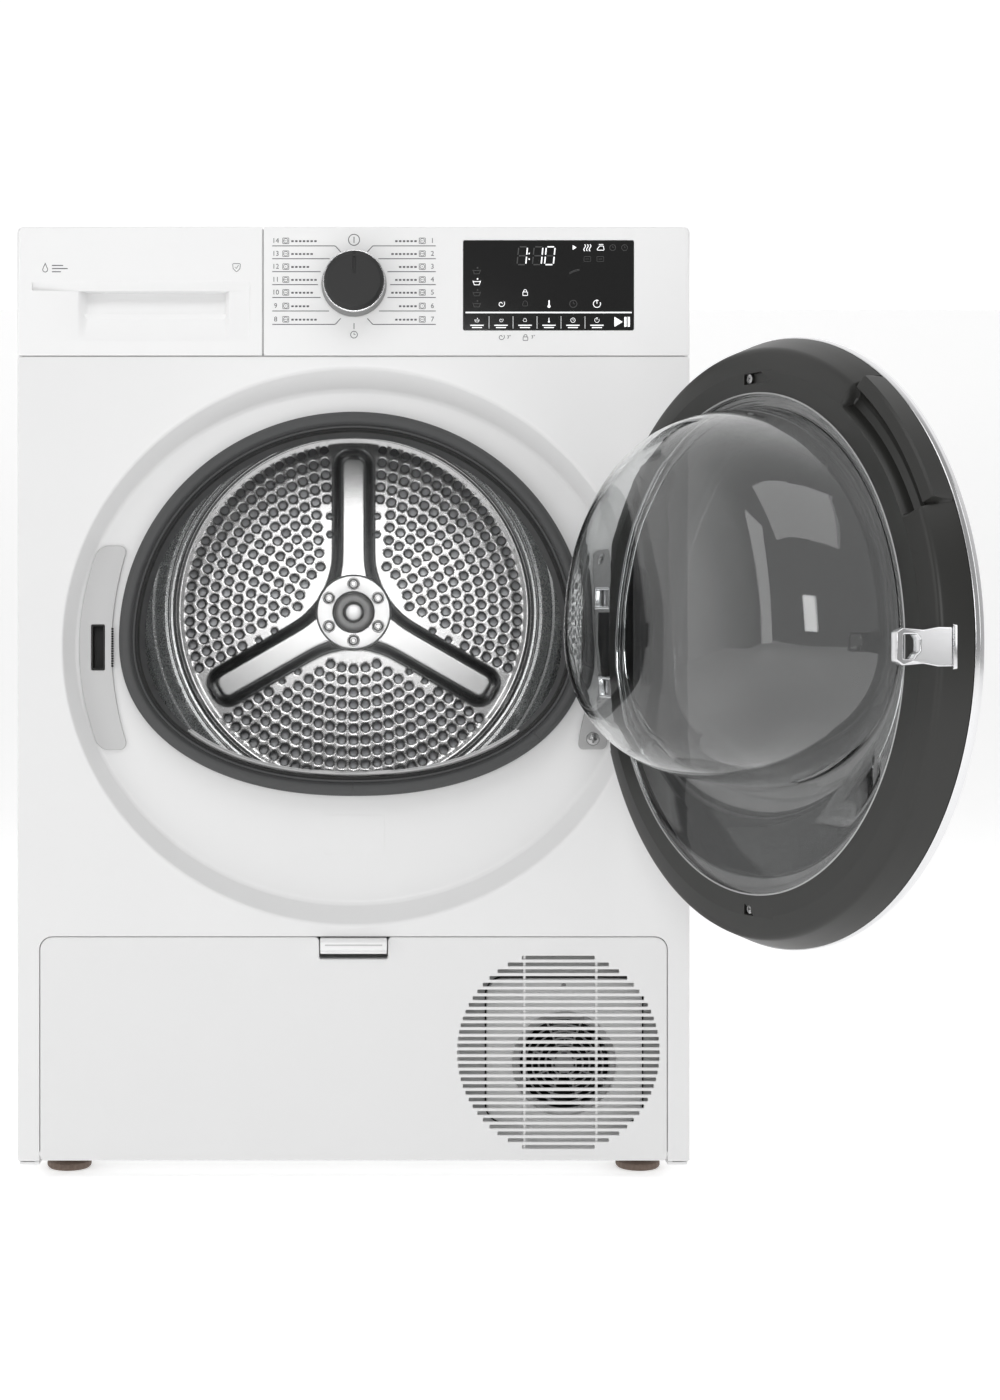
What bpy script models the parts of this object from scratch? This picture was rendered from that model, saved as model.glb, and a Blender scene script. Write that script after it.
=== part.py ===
# Front-loading clothes dryer with a round door, drawer tank and heat pump base.
# Metres, +Z up, front towards -Y; the origin is the centre of the base tray's underside.
import bpy
import numpy as np
from math import atan2, cos, pi, radians, sin, sqrt
from mathutils import Matrix, Vector

# ---- driving dimensions -------------------------------------------------------------------
BODY_WIDTH = 0.597
BODY_DEPTH = 0.530
BODY_HEIGHT = 0.834
SHEET = 0.0015            # sheet steel of the cabinet
GAP = 0.0004              # clearance between pieces that rest on each other
RUN = 0.0003              # radial clearance of a shaft in its bore
PANEL_BASE = 0.7195       # underside of the fascia and of the drawer front
FASCIA_SPLIT = -0.0804    # where the drawer front meets the fascia
PLASTIC = 0.0025          # wall of moulded pieces
WORKTOP_THICK = 0.018
WORKTOP_SETBACK = 0.010

RECESS_Z = 0.4607         # centre height of the dished recess round the door
RECESS_DEPTH = 0.020
RECESS_MOUTH = (0.2585, 0.2473)
RECESS_FLOOR = (0.249, 0.2305)

OPENING_Z = 0.467         # height where the loading opening is widest
OPENING_HALF_WIDTH = 0.2097
OPENING_UP = 0.204
OPENING_DOWN = 0.1396
OPENING_POWER = 2.2       # lower half is a superellipse of this power
SEAL_WIDTH = 0.0147
SEAL_NOSE = 0.0165        # how far the seal stands proud of the recess floor
SEAL_NECK = 0.0066        # from the seal's outline in to the edge of the sheet

DOOR_RADIUS = 0.240
DOOR_Z = 0.4627
DOOR_PROUD = 0.0300       # middle of the rim in front of the cabinet's front
DOOR_RING_OUT = 0.2270    # flat black ring round the glass
DOOR_RING_IN = 0.1956
DOOR_RING_PLANE = -0.0006 # that ring's face when closed, from the cabinet's front
DOOR_ANGLE_OPEN = 114.4   # degrees, as it stands at rest
HINGE_X = 0.2286
HINGE_OUT = 0.0187        # hinge axis in front of the cabinet's front
PIN_RADIUS = 0.003
KNUCKLE_RADIUS = 0.006
KNUCKLE_OFFSET = 0.0415   # each hinge arm above or below the door's centre
KNUCKLE_LENGTH = 0.014
LUG = 0.0025
BOWL_DEPTH = 0.096
BOWL_MARGIN = 0.0235      # from the seal's outline in to the foot of the bowl
GLASS = 0.003
HOOK_REACH = 0.0350       # how far the latch hook's tip goes in behind the cabinet's front

DRUM_RADIUS = 0.285
DRUM_Z = 0.4995
DRUM_FRONT = 0.078        # depths are behind the cabinet's front
DRUM_BACK = 0.470
DRUM_MOUTH = 0.215
DRUM_WALL = 0.0012
DISH_RADIUS = 0.270
DISH_DEPTH = 0.070
BACK_PLATE_RADIUS = 0.2045
HUB_RADIUS = 0.042
SPOKE_WIDTH = 0.047
SPOKE_REACH = 0.186
SPOKE_HEIGHT = 0.009
PADDLE_HEIGHT = 0.046
AXLE_RADIUS = 0.012
BULKHEAD_DEPTH = 0.070
TUNNEL_WALL = 0.003
ROLLER_RADIUS = 0.030
ROLLER_WIDTH = 0.018
ROLLER_ANGLE = 38.0       # degrees either side of straight down
BELT_THICK = 0.002
BELT_WIDTH = 0.012
BELT_DEPTH = 0.420
MOTOR_X = -0.205
MOTOR_Z = 0.105
MOTOR_RADIUS = 0.055
PULLEY_RADIUS = 0.0082
SHAFT_RADIUS = 0.006
IDLER_X = -0.120
IDLER_Z = 0.090
IDLER_RADIUS = 0.018
FAN_RADIUS = 0.070

TRAY_WALL = 0.003
TRAY_HEIGHT = 0.045
TRAY_PAD = (0.225, 0.185)    # half sizes of the pressed pad under the tray that it rests on
TRAY_PAD_DROP = 0.0008
FOOT_RADIUS = 0.020
FOOT_HEIGHT = 0.012
FOOT_INSET_X = 0.040
FOOT_INSET_Y = 0.050
STEM_RADIUS = 0.004

KICK_HALF_WIDTH = 0.2784
KICK_LOW = 0.0045
KICK_TOP = 0.203
KICK_CORNER = 0.011
KICK_RETURN = 0.0155
KICK_PIN = 0.0022
GRILLE_X = 0.1819
GRILLE_Z = 0.1008
GRILLE_RADIUS = 0.090
SLIT_PITCH = 0.006
SLIT_HEIGHT = 0.003
SLIT_COUNT = 29
SERVICE_DEPTH = 0.026
COVER_X = (-0.262, 0.095)
COVER_Z = (0.052, 0.176)
GUARD_X = 0.1889
GUARD_Z = 0.0866
GUARD_RADIUS = 0.047
GUARD_PLATE_X = (0.1195, 0.259)
GUARD_PLATE_Z = (0.0343, 0.1632)

KNOB_X = 0.0004
KNOB_Z = 0.7826
KNOB_RADIUS = 0.029
KNOB_HEIGHT = 0.025
WINDOW_X = (0.0972, 0.2491)
WINDOW_Z = (0.7417, 0.8220)
SCOOP_X = (-0.2438, -0.1115)
SCOOP_Z = (0.7324, 0.7777)
SCOOP_DEPTH = 0.020
TANK_LENGTH = 0.440
TANK_X = (-0.284, -0.092)
TANK_Z = (0.729, 0.811)
FILTER_HALF_WIDTH = 0.150
FILTER_Y = (0.034, 0.064)
FILTER_LOW = 0.213

FRONT = -BODY_DEPTH / 2
BACK = BODY_DEPTH / 2
SIDE = BODY_WIDTH / 2
ROUND_BIG = 40
SEAL_STEPS = ROUND_BIG
ROUND_MID = 20
ROUND_SMALL = 12


# ---- scene and materials --------------------------------------------------------------------
def clear_scene():
    for item in list(bpy.data.objects):
        bpy.data.objects.remove(item, do_unlink=True)


def material(name, colour, roughness, metallic=0.0, alpha=1.0):
    made = bpy.data.materials.new(name)
    made.use_nodes = True
    shader = made.node_tree.nodes["Principled BSDF"]
    shader.inputs["Base Color"].default_value = (*colour, 1.0)
    shader.inputs["Roughness"].default_value = roughness
    shader.inputs["Metallic"].default_value = metallic
    shader.inputs["Alpha"].default_value = alpha
    made.diffuse_color = (*colour, alpha)
    return made


clear_scene()
WHITE_PAINT = material("white_paint", (0.80, 0.80, 0.80), 0.35)
WHITE_PLASTIC = material("white_plastic", (0.82, 0.82, 0.82), 0.4)
LIGHT_GREY = material("light_grey_plastic", (0.55, 0.56, 0.57), 0.5)
MID_GREY = material("grey_paint", (0.38, 0.39, 0.40), 0.45)
DARK_RUBBER = material("dark_rubber", (0.06, 0.06, 0.065), 0.7)
BLACK_PLASTIC = material("black_plastic", (0.015, 0.015, 0.015), 0.4)
BLACK_GLOSS = material("black_gloss", (0.01, 0.01, 0.01), 0.1)
STEEL = material("stainless_steel", (0.55, 0.56, 0.57), 0.3, 1.0)
ZINC = material("zinc_steel", (0.50, 0.51, 0.52), 0.4, 1.0)
CHROME = material("chrome", (0.75, 0.75, 0.76), 0.12, 1.0)
GLASS_CLEAR = material("clear_glass", (0.85, 0.87, 0.88), 0.03, 0.0, 0.3)
COPPER_MOTOR = material("motor_casing", (0.25, 0.26, 0.28), 0.5, 0.6)
BOARD_GREEN = material("board_green", (0.03, 0.18, 0.07), 0.5)
ALUMINIUM = material("aluminium", (0.70, 0.71, 0.72), 0.35, 1.0)


# ---- mesh helpers ---------------------------------------------------------------------------
def make(name, points, faces, finish, smooth=False):
    mesh = bpy.data.meshes.new(name)
    mesh.from_pydata([tuple(point) for point in points], [], faces)
    mesh.update()
    piece = bpy.data.objects.new(name, mesh)
    bpy.context.collection.objects.link(piece)
    if finish is not None:
        mesh.materials.append(finish)
    if smooth:
        mesh.shade_smooth()
        mesh.set_sharp_from_angle(angle=radians(35))
    return piece


def signed_volume(points, faces):
    total = 0.0
    for face in faces:
        first = Vector(points[face[0]])
        for k in range(1, len(face) - 1):
            total += first.dot(Vector(points[face[k]]).cross(Vector(points[face[k + 1]])))
    return total


def solid(name, points, faces, finish=None, smooth=False):
    """A closed body, turned so that its faces point outwards."""
    if signed_volume(points, faces) < 0:
        faces = [tuple(reversed(face)) for face in faces]
    return make(name, points, faces, finish, smooth)


def box(name, x, y, z, finish=None):
    points = [(a, b, c) for a in x for b in y for c in z]
    faces = [(0, 1, 3, 2), (4, 6, 7, 5), (0, 4, 5, 1), (2, 3, 7, 6), (0, 2, 6, 4), (1, 5, 7, 3)]
    return solid(name, points, faces, finish)


def place(pair, along, axis):
    """A point of a flat outline, set at a distance along the axis across it."""
    u, v = pair
    return {"X": (along, u, v), "Y": (u, along, v), "Z": (u, v, along)}[axis]


def prism(name, outline, axis, low, high, finish=None, smooth=False):
    count = len(outline)
    points = [place(pair, low, axis) for pair in outline]
    points += [place(pair, high, axis) for pair in outline]
    faces = [tuple(range(count)), tuple(reversed(range(count, 2 * count)))]
    faces += [(k, k + count, (k + 1) % count + count, (k + 1) % count) for k in range(count)]
    return solid(name, points, faces, finish, smooth)


def loft(name, loops, finish=None, smooth=True, poles=None):
    """Joins rings of equal length one to the next: round on itself, or closed by two poles."""
    count = len(loops[0])
    points = [tuple(point) for loop in loops for point in loop]
    rows = len(loops)
    faces = []
    last = rows if poles is None else rows - 1
    for row in range(last):
        below = row * count
        above = ((row + 1) % rows) * count
        for k in range(count):
            right = (k + 1) % count
            faces.append((below + k, below + right, above + right, above + k))
    if poles is not None:
        points += [tuple(poles[0]), tuple(poles[1])]
        start, end = rows * count, rows * count + 1
        top = (rows - 1) * count
        faces += [(start, (k + 1) % count, k) for k in range(count)]
        faces += [(end, top + k, top + (k + 1) % count) for k in range(count)]
    return solid(name, points, faces, finish, smooth)


def turned(name, centre, profile, steps, finish=None, axis="Y", solid_core=False):
    """A profile of (radius, place along the axis) turned about an axis through centre."""
    turns = [2 * pi * k / steps for k in range(steps)]
    loops = [[place((centre[0] + r * cos(t), centre[1] + r * sin(t)), a, axis) for t in turns]
             for r, a in profile]
    poles = None
    if solid_core:
        poles = [place(centre, profile[0][1], axis), place(centre, profile[-1][1], axis)]
    return loft(name, loops, finish, True, poles)


def cylinder(name, centre, radius, low, high, steps, finish=None, axis="Y"):
    turns = [2 * pi * k / steps for k in range(steps)]
    outline = [(centre[0] + radius * cos(t), centre[1] + radius * sin(t)) for t in turns]
    return prism(name, outline, axis, low, high, finish, True)


def rounded_rectangle(x, z, radius, steps=4):
    """Corner arcs of a rectangle, counter-clockwise from the upper right."""
    points = []
    corners = [(x[1], z[1], 0), (x[0], z[1], 1), (x[0], z[0], 2), (x[1], z[0], 3)]
    for cx, cz, quarter in corners:
        mx = cx - radius if cx == x[1] else cx + radius
        mz = cz - radius if cz == z[1] else cz + radius
        for k in range(steps + 1):
            turn = pi / 2 * (quarter + k / steps)
            points.append((mx + radius * cos(turn), mz + radius * sin(turn)))
    return points


def combine(base, tool, operation):
    """Bakes a Boolean of two solids into the first and removes the second."""
    step = base.modifiers.new("step", "BOOLEAN")
    step.operation = operation
    step.object = tool
    step.solver = "EXACT"
    bpy.context.view_layer.update()
    view = bpy.context.evaluated_depsgraph_get()
    mesh = bpy.data.meshes.new_from_object(base.evaluated_get(view))
    base.modifiers.clear()
    base.data = mesh
    bpy.data.objects.remove(tool, do_unlink=True)
    return base


def cut(base, *tools):
    for tool in tools:
        combine(base, tool, "DIFFERENCE")
    return base


def join(base, *tools):
    for tool in tools:
        combine(base, tool, "UNION")
    return base


def move_mesh(piece, x, y, z):
    piece.data.transform(Matrix.Translation((x, y, z)))
    return piece


def set_origin(piece, x, y, z):
    """Puts the object's origin on its joint axis and leaves the shape where it is."""
    piece.data.transform(Matrix.Translation((-x, -y, -z)))
    piece.location = (x, y, z)
    return piece


# ---- outlines shared by several pieces --------------------------------------------------------
def opening_outline(margin, steps, power=OPENING_POWER):
    """The loading opening: half an ellipse above, a squarer half below, both set in by margin."""
    points = []
    wide = OPENING_HALF_WIDTH - margin
    for k in range(steps):
        turn = 2 * pi * k / steps
        c, s = cos(turn), sin(turn)
        if s >= 0:
            points.append((wide * c, OPENING_Z + (OPENING_UP - margin) * s))
        else:
            reach = OPENING_DOWN - margin
            x = wide * abs(c) ** (2 / power) * (1 if c > 0 else -1)
            points.append((x, OPENING_Z - reach * abs(s) ** (2 / power)))
    return points


def ellipse_outline(half_x, half_z, centre_z, steps):
    turns = [2 * pi * k / steps for k in range(steps)]
    return [(half_x * cos(t), centre_z + half_z * sin(t)) for t in turns]


def rectangle_outline(x, z, centre_z, steps):
    """A rectangle sampled by rays from (0, centre_z), with the ray nearest each corner on it."""
    points = []
    for k in range(steps):
        turn = 2 * pi * k / steps
        c, s = cos(turn), sin(turn)
        reach_x = (x[1] if c > 0 else x[0]) / c if abs(c) > 1e-9 else 1e9
        reach_z = ((z[1] if s > 0 else z[0]) - centre_z) / s if abs(s) > 1e-9 else 1e9
        reach = min(reach_x, reach_z)
        points.append((reach * c, centre_z + reach * s))
    for corner in ((x[1], z[1]), (x[0], z[1]), (x[0], z[0]), (x[1], z[0])):
        turn = atan2(corner[1] - centre_z, corner[0]) % (2 * pi)
        points[round(turn / (2 * pi) * steps) % steps] = corner
    return points


def at_depth(outline, depth):
    return [(u, FRONT + depth, v) for u, v in outline]


# ---- cabinet ----------------------------------------------------------------------------------
def foot_places():
    x = SIDE - FOOT_INSET_X
    y = BODY_DEPTH / 2 - FOOT_INSET_Y
    return {"front_left": (-x, -y), "front_right": (x, -y), "rear_left": (-x, y), "rear_right": (x, y)}


def kick_pivot():
    return FRONT + 0.0025, KICK_LOW + 0.006


def make_base_tray():
    half_x = SIDE - SHEET - GAP
    rear = BACK - SHEET - GAP
    wall_front = FRONT + SERVICE_DEPTH
    tray = box("base_tray", (-half_x, half_x), (FRONT + SHEET, rear), (TRAY_PAD_DROP, TRAY_WALL),
               WHITE_PLASTIC)
    sweep = KICK_HALF_WIDTH + 0.0008
    cut(tray, box("kick_sweep", (-sweep, sweep), (FRONT, FRONT + 0.0185), (-0.01, 0.01)))
    rim = box("rim", (-half_x, half_x), (wall_front, rear), (TRAY_WALL / 2, TRAY_HEIGHT))
    cut(rim, box("hollow", (TRAY_WALL - half_x, half_x - TRAY_WALL),
                 (wall_front + TRAY_WALL, rear - TRAY_WALL), (0, TRAY_HEIGHT * 2)))
    pad_x, pad_y = TRAY_PAD
    pad = box("pad", (-pad_x, pad_x), (-pad_y, pad_y), (0, TRAY_WALL / 2))
    join(tray, rim, pad)
    for x, y in foot_places().values():
        join(tray, cylinder("boss", (x, y), STEM_RADIUS * 3, TRAY_WALL / 2, 0.024, ROUND_SMALL, axis="Z"))
        cut(tray, cylinder("hole", (x, y), STEM_RADIUS + RUN, -0.01, 0.05, ROUND_SMALL, axis="Z"))
    pivot_y, pivot_z = kick_pivot()
    for side in (-1, 1):
        near = side * (KICK_HALF_WIDTH + 0.0012)
        far = side * (KICK_HALF_WIDTH + 0.0052)
        ear = box("ear", sorted((near, far)), (FRONT + SHEET + 0.001, FRONT + 0.014),
                  (TRAY_WALL / 2, pivot_z + 0.007))
        join(tray, ear)
        cut(tray, cylinder("pin_hole", (pivot_y, pivot_z), KICK_PIN + RUN,
                           min(near, far) - 0.001, max(near, far) + 0.001, ROUND_SMALL, axis="X"))
    return tray


def make_side_panel(name, side):
    """A folded sheet: the side with a return flange at the front and at the rear."""
    front = FRONT + 0.0153
    rear = BACK - SHEET - GAP
    lip = 0.012
    outer, inner = SIDE, SIDE - SHEET
    outline = [(outer, front), (outer, rear), (inner - lip, rear), (inner - lip, rear - SHEET),
               (inner, rear - SHEET), (inner, front + SHEET), (inner - lip, front + SHEET),
               (inner - lip, front)]
    outline = [(side * u, v) for u, v in outline]
    panel = prism(name, outline, "Z", 0.003, BODY_HEIGHT - WORKTOP_THICK - GAP, WHITE_PAINT)
    corner = 0.046
    clear = box("tray_clear", sorted((side * (inner - lip - 0.01), side * inner)),
                (FRONT + 0.01, BACK), (0, corner))
    return cut(panel, clear)


def make_back_panel():
    half_x = SIDE - 0.002
    top = BODY_HEIGHT - WORKTOP_THICK - GAP
    panel = box("back_panel", (-half_x, half_x), (BACK - SHEET, BACK), (0.003, top), WHITE_PAINT)
    for k in range(8):
        low = 0.075 + 0.016 * k
        cut(panel, box("slot", (-0.20, -0.06), (BACK - 0.01, BACK + 0.01), (low, low + 0.0036)))
    cut(panel, box("inlet", (0.18, 0.23), (BACK - 0.01, BACK + 0.01), (0.09, 0.13)))
    return panel


def make_mains_inlet():
    """A plastic gland box that sits flush in the back panel, with a bore for the lead."""
    inlet = box("mains_inlet", (0.18 + GAP, 0.23 - GAP), (BACK - 0.026, BACK - 0.0002),
                (0.09 + GAP, 0.13 - GAP), BLACK_PLASTIC)
    return cut(inlet, cylinder("bore", (0.205, 0.11), 0.0042, BACK - 0.02, BACK + 0.01, ROUND_SMALL))


def make_worktop():
    low = BODY_HEIGHT - WORKTOP_THICK
    top = box("worktop", (-SIDE, SIDE), (FRONT + WORKTOP_SETBACK, BACK), (low, BODY_HEIGHT), WHITE_PAINT)
    return cut(top, box("hollow", (PLASTIC - SIDE, SIDE - PLASTIC),
                        (FRONT + WORKTOP_SETBACK + PLASTIC, BACK - PLASTIC),
                        (low - 0.01, BODY_HEIGHT - PLASTIC)))


def make_front_panel():
    """Pressed sheet: flat front, side flanges, dished recess and the rim of the loading opening."""
    steps = ROUND_BIG
    low, top = 0.0040, PANEL_BASE - 0.0010
    edge = ((-SIDE, SIDE), (low, top))
    face = rectangle_outline(*edge, RECESS_Z, steps)
    inside = rectangle_outline((SHEET - SIDE, SIDE - SHEET), (low + SHEET, top - SHEET), RECESS_Z, steps)
    flange = 0.015
    mouth = ellipse_outline(*RECESS_MOUTH, RECESS_Z, steps)
    floor = ellipse_outline(*RECESS_FLOOR, RECESS_Z, steps)
    wide_floor = ellipse_outline(RECESS_FLOOR[0] + 0.001, RECESS_FLOOR[1] + 0.001, RECESS_Z, steps)
    hole = opening_outline(SEAL_NECK - 0.0006, steps)
    loops = [at_depth(face, flange), at_depth(face, 0), at_depth(mouth, 0),
             at_depth(floor, RECESS_DEPTH), at_depth(hole, RECESS_DEPTH),
             at_depth(hole, RECESS_DEPTH + SHEET), at_depth(wide_floor, RECESS_DEPTH + SHEET),
             at_depth([(u * 1.006, RECESS_Z + (v - RECESS_Z) * 1.006) for u, v in mouth], SHEET),
             at_depth(inside, SHEET), at_depth(inside, flange)]
    panel = loft("front_panel", loops, WHITE_PAINT)
    clear = 0.0006
    ear = KICK_HALF_WIDTH + 0.0060
    cut(panel, box("ear_clear", (-ear, ear), (FRONT + SHEET + 0.0005, FRONT + 0.019), (-0.02, 0.019)))
    pivot_z = kick_pivot()[1]
    pin_room = KICK_PIN + 0.0006
    cut(panel, box("pin_clear", (-ear, ear), (FRONT - 0.001, FRONT + 0.005),
                   (pivot_z - pin_room, pivot_z + pin_room)))
    kick = rounded_rectangle((-KICK_HALF_WIDTH - clear, KICK_HALF_WIDTH + clear),
                             (-KICK_CORNER * 2, KICK_TOP + clear), KICK_CORNER + clear)
    cut(panel, prism("kick_opening", kick, "Y", FRONT - 0.01, FRONT + 0.019))
    slot_x, slot_z = latch_slot()
    cut(panel, box("latch_slot", slot_x, (FRONT + 0.010, FRONT + 0.030), slot_z))
    for z in hinge_screw_heights():
        cut(panel, cylinder("screw_hole", (hinge_screw_x(), z), 0.0028, FRONT + 0.01, FRONT + 0.03, 12))
    cut(panel, box("hinge_window", (0.2165, 0.2285), (FRONT + 0.010, FRONT + 0.030),
                   (DOOR_Z - 0.022, DOOR_Z + 0.022)))
    return panel


def latch_slot():
    return (-0.2352, -0.2228), (0.4397, 0.4809)


def hinge_screw_x():
    return 0.2145


def hinge_screw_heights():
    return (DOOR_Z + 0.0792, DOOR_Z - 0.0843)


def make_latch_cover():
    """A crescent plate whose outer side follows the recess and whose inner side is concave."""
    face = FRONT + RECESS_DEPTH - 0.0024
    rows = 12
    centre, half = 0.4600, 0.0915
    left, right = [], []
    for k in range(rows + 1):
        height = -1 + 2 * k / rows
        z = centre + half * height
        bend = height * height
        pinch = 0.0095 * max(0.0, (abs(height) - 0.88) / 0.12) ** 2
        left.append((-0.2462 + 0.0180 * bend + pinch, z))
        right.append((-0.2165 + 0.0150 * bend - pinch, z))
    outline = left + right[::-1]
    cover = prism("latch_cover", outline, "Y", face, FRONT + RECESS_DEPTH - GAP, LIGHT_GREY)
    slot_x, slot_z = latch_slot()
    return cut(cover, box("slot", slot_x, (face - 0.01, face + 0.02), slot_z))


def make_door_lock():
    """The lock case behind the slot: a pocket for the hook with a window for the catch."""
    slot_x, slot_z = latch_slot()
    start = FRONT + RECESS_DEPTH + SHEET + GAP
    case = box("door_lock", (slot_x[0] - 0.007, slot_x[1] + 0.009), (start, start + 0.030),
               (slot_z[0] - 0.012, slot_z[1] + 0.012), BLACK_PLASTIC)
    cut(case, box("pocket", slot_x, (start - 0.01, start + 0.024), slot_z))
    middle = (slot_z[0] + slot_z[1]) / 2
    return cut(case, box("window", (slot_x[1] - 0.002, slot_x[1] + 0.02),
                         (start + 0.004, start + 0.016), (middle - 0.007, middle + 0.007)))


def make_door_catch():
    """The sprung tongue that holds the hook; it moves out of the pocket along +X."""
    slot_x, slot_z = latch_slot()
    start = FRONT + RECESS_DEPTH + SHEET + GAP
    middle = (slot_z[0] + slot_z[1]) / 2
    tip = slot_x[1] - 0.0008
    outline = [(tip, start + 0.0100), (tip + 0.003, start + 0.0045), (tip + 0.009, start + 0.0045),
               (tip + 0.009, start + 0.0155), (tip + 0.003, start + 0.0155)]
    return prism("door_catch", outline, "Z", middle - 0.0065, middle + 0.0065, ZINC)


def arm_heights():
    return (DOOR_Z + KNUCKLE_OFFSET, DOOR_Z - KNUCKLE_OFFSET)


def lug_outline():
    """Seen from above: a shank from the plate forward, then a round eye about the pin."""
    axis_y = FRONT - HINGE_OUT
    eye = KNUCKLE_RADIUS + 0.0003
    points = [(0.2100, FRONT + RECESS_DEPTH - 0.0015), (0.2220, FRONT + RECESS_DEPTH - 0.0015),
              (0.2222, axis_y + 0.0105)]
    for k in range(9):
        turn = radians(60 - 270 * k / 8)
        points.append((HINGE_X + eye * cos(turn), axis_y + eye * sin(turn)))
    points.append((0.2100, axis_y + 0.0080))
    return points


def make_hinge_plate():
    """The plate screwed into the recess, with a pair of lugs for each arm of the door."""
    face = FRONT + RECESS_DEPTH - 0.0024
    rows = 6
    middle, half = 0.4602, 0.0912
    left, right = [], []
    for k in range(rows + 1):
        height = -1 + 2 * k / rows
        z = middle + half * height
        bend = height ** 2
        left.append((0.2140 - 0.0115 * bend + (0.004 if abs(height) == 1 else 0.0), z))
        right.append((0.2300 - 0.0010 * bend - (0.004 if abs(height) == 1 else 0.0), z))
    plate = prism("hinge_plate", right + left[::-1], "Y", face, FRONT + RECESS_DEPTH - GAP, MID_GREY)
    cut(plate, box("window", (0.2165, 0.2285), (face - 0.01, face + 0.01),
                   (DOOR_Z - 0.022, DOOR_Z + 0.022)))
    for z in hinge_screw_heights():
        cut(plate, cylinder("screw_hole", (hinge_screw_x(), z), 0.0028, face - 0.01, face + 0.01, 8))
    for centre in arm_heights():
        for side in (-1, 1):
            near = centre + side * (KNUCKLE_LENGTH / 2 + 0.0005)
            far = near + side * LUG
            join(plate, prism("lug", lug_outline(), "Z", min(near, far), max(near, far)))
            cut(plate, cylinder("eye", (HINGE_X, FRONT - HINGE_OUT), PIN_RADIUS + RUN,
                                min(near, far) - 0.001, max(near, far) + 0.001, ROUND_SMALL, axis="Z"))
    return plate


def make_hinge_screw(name, z):
    face = FRONT + RECESS_DEPTH - 0.0024 - GAP
    profile = [(0.0030, face - 0.0030), (0.0050, face - 0.0022), (0.0056, face),
               (0.0022, face), (0.0022, face + 0.014)]
    return turned(name, (hinge_screw_x(), z), profile, 8, ZINC, solid_core=True)


def make_door_seal():
    """Rubber ring: a round nose that the door presses, and a neck through the panel's hole."""
    floor = RECESS_DEPTH - GAP
    nose = RECESS_DEPTH - SEAL_NOSE
    section = [(0.0, floor), (0.0006, nose + 0.008), (0.0030, nose + 0.0025), (0.0070, nose),
               (0.0110, nose + 0.0012), (0.0138, nose + 0.0050), (SEAL_WIDTH, nose + 0.0100),
               (SEAL_WIDTH, 0.0285), (SEAL_NECK, 0.0285), (SEAL_NECK, floor)]
    loops = [at_depth(opening_outline(margin, SEAL_STEPS), depth) for margin, depth in section]
    return loft("door_seal", loops, DARK_RUBBER)


def make_front_bulkhead():
    """The wall behind the front: tunnel to the drum, filter chute and the two roller axles."""
    steps = SEAL_STEPS
    margin = SEAL_WIDTH - 0.0010
    wall = margin + TUNNEL_WALL
    start, end = 0.0300, DRUM_FRONT + 0.010
    plate = rectangle_outline((-SIDE + 0.0022, SIDE - 0.0022), (0.205, 0.716), OPENING_Z, steps)
    outside, inside = opening_outline(margin, steps), opening_outline(wall, steps)
    loops = [at_depth(outside, start), at_depth(outside, BULKHEAD_DEPTH), at_depth(plate, BULKHEAD_DEPTH),
             at_depth(plate, BULKHEAD_DEPTH + SHEET), at_depth(outside, BULKHEAD_DEPTH + SHEET),
             at_depth(outside, end), at_depth(inside, end), at_depth(inside, start)]
    wall_piece = loft("front_bulkhead", loops, ZINC)
    chute = box("chute", (-FILTER_HALF_WIDTH - 0.003, FILTER_HALF_WIDTH + 0.003),
                (FRONT + FILTER_Y[0] - 0.003, FRONT + FILTER_Y[1] + 0.003), (FILTER_LOW - 0.003, 0.392))
    cut(chute, prism("tunnel", opening_outline(wall - 0.0001, steps), "Y", FRONT + 0.02, FRONT + 0.10))
    join(wall_piece, chute)
    cut(wall_piece, box("slot", (-FILTER_HALF_WIDTH, FILTER_HALF_WIDTH),
                        (FRONT + FILTER_Y[0], FRONT + FILTER_Y[1]), (FILTER_LOW, 0.43)))
    for x, z in roller_places():
        join(wall_piece, cylinder("axle", (x, z), 0.005, FRONT + BULKHEAD_DEPTH + SHEET / 2,
                                  FRONT + DRUM_FRONT + ROLLER_WIDTH + 0.014, ROUND_SMALL))
    return wall_piece


def roller_places():
    reach = DRUM_RADIUS + ROLLER_RADIUS + GAP
    turn = radians(ROLLER_ANGLE)
    return [(side * reach * sin(turn), DRUM_Z - reach * cos(turn)) for side in (-1, 1)]


def make_lint_filter():
    """A hollow cassette whose top carries on the curve of the tunnel, with two finger slots."""
    fit = 0.0005
    y = (FRONT + FILTER_Y[0] + fit, FRONT + FILTER_Y[1] - fit)
    half = FILTER_HALF_WIDTH - fit
    body = box("lint_filter", (-half, half), y, (FILTER_LOW + fit, 0.41), WHITE_PLASTIC)
    top_margin = SEAL_WIDTH + 0.0040
    cut(body, prism("over", opening_outline(top_margin, SEAL_STEPS), "Y", FRONT + 0.02, FRONT + 0.10))
    hollow = box("hollow", (0.003 - half, half - 0.003), (y[0] + 0.0025, y[1] - 0.0025),
                 (FILTER_LOW + 0.004, 0.338))
    cut(body, hollow)
    for side in (-1, 1):
        slot = sorted((side * 0.0115, side * 0.038))
        cut(body, box("finger", slot, (y[0] + 0.005, y[0] + 0.013), (0.30, 0.43)))
    return body


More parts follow.
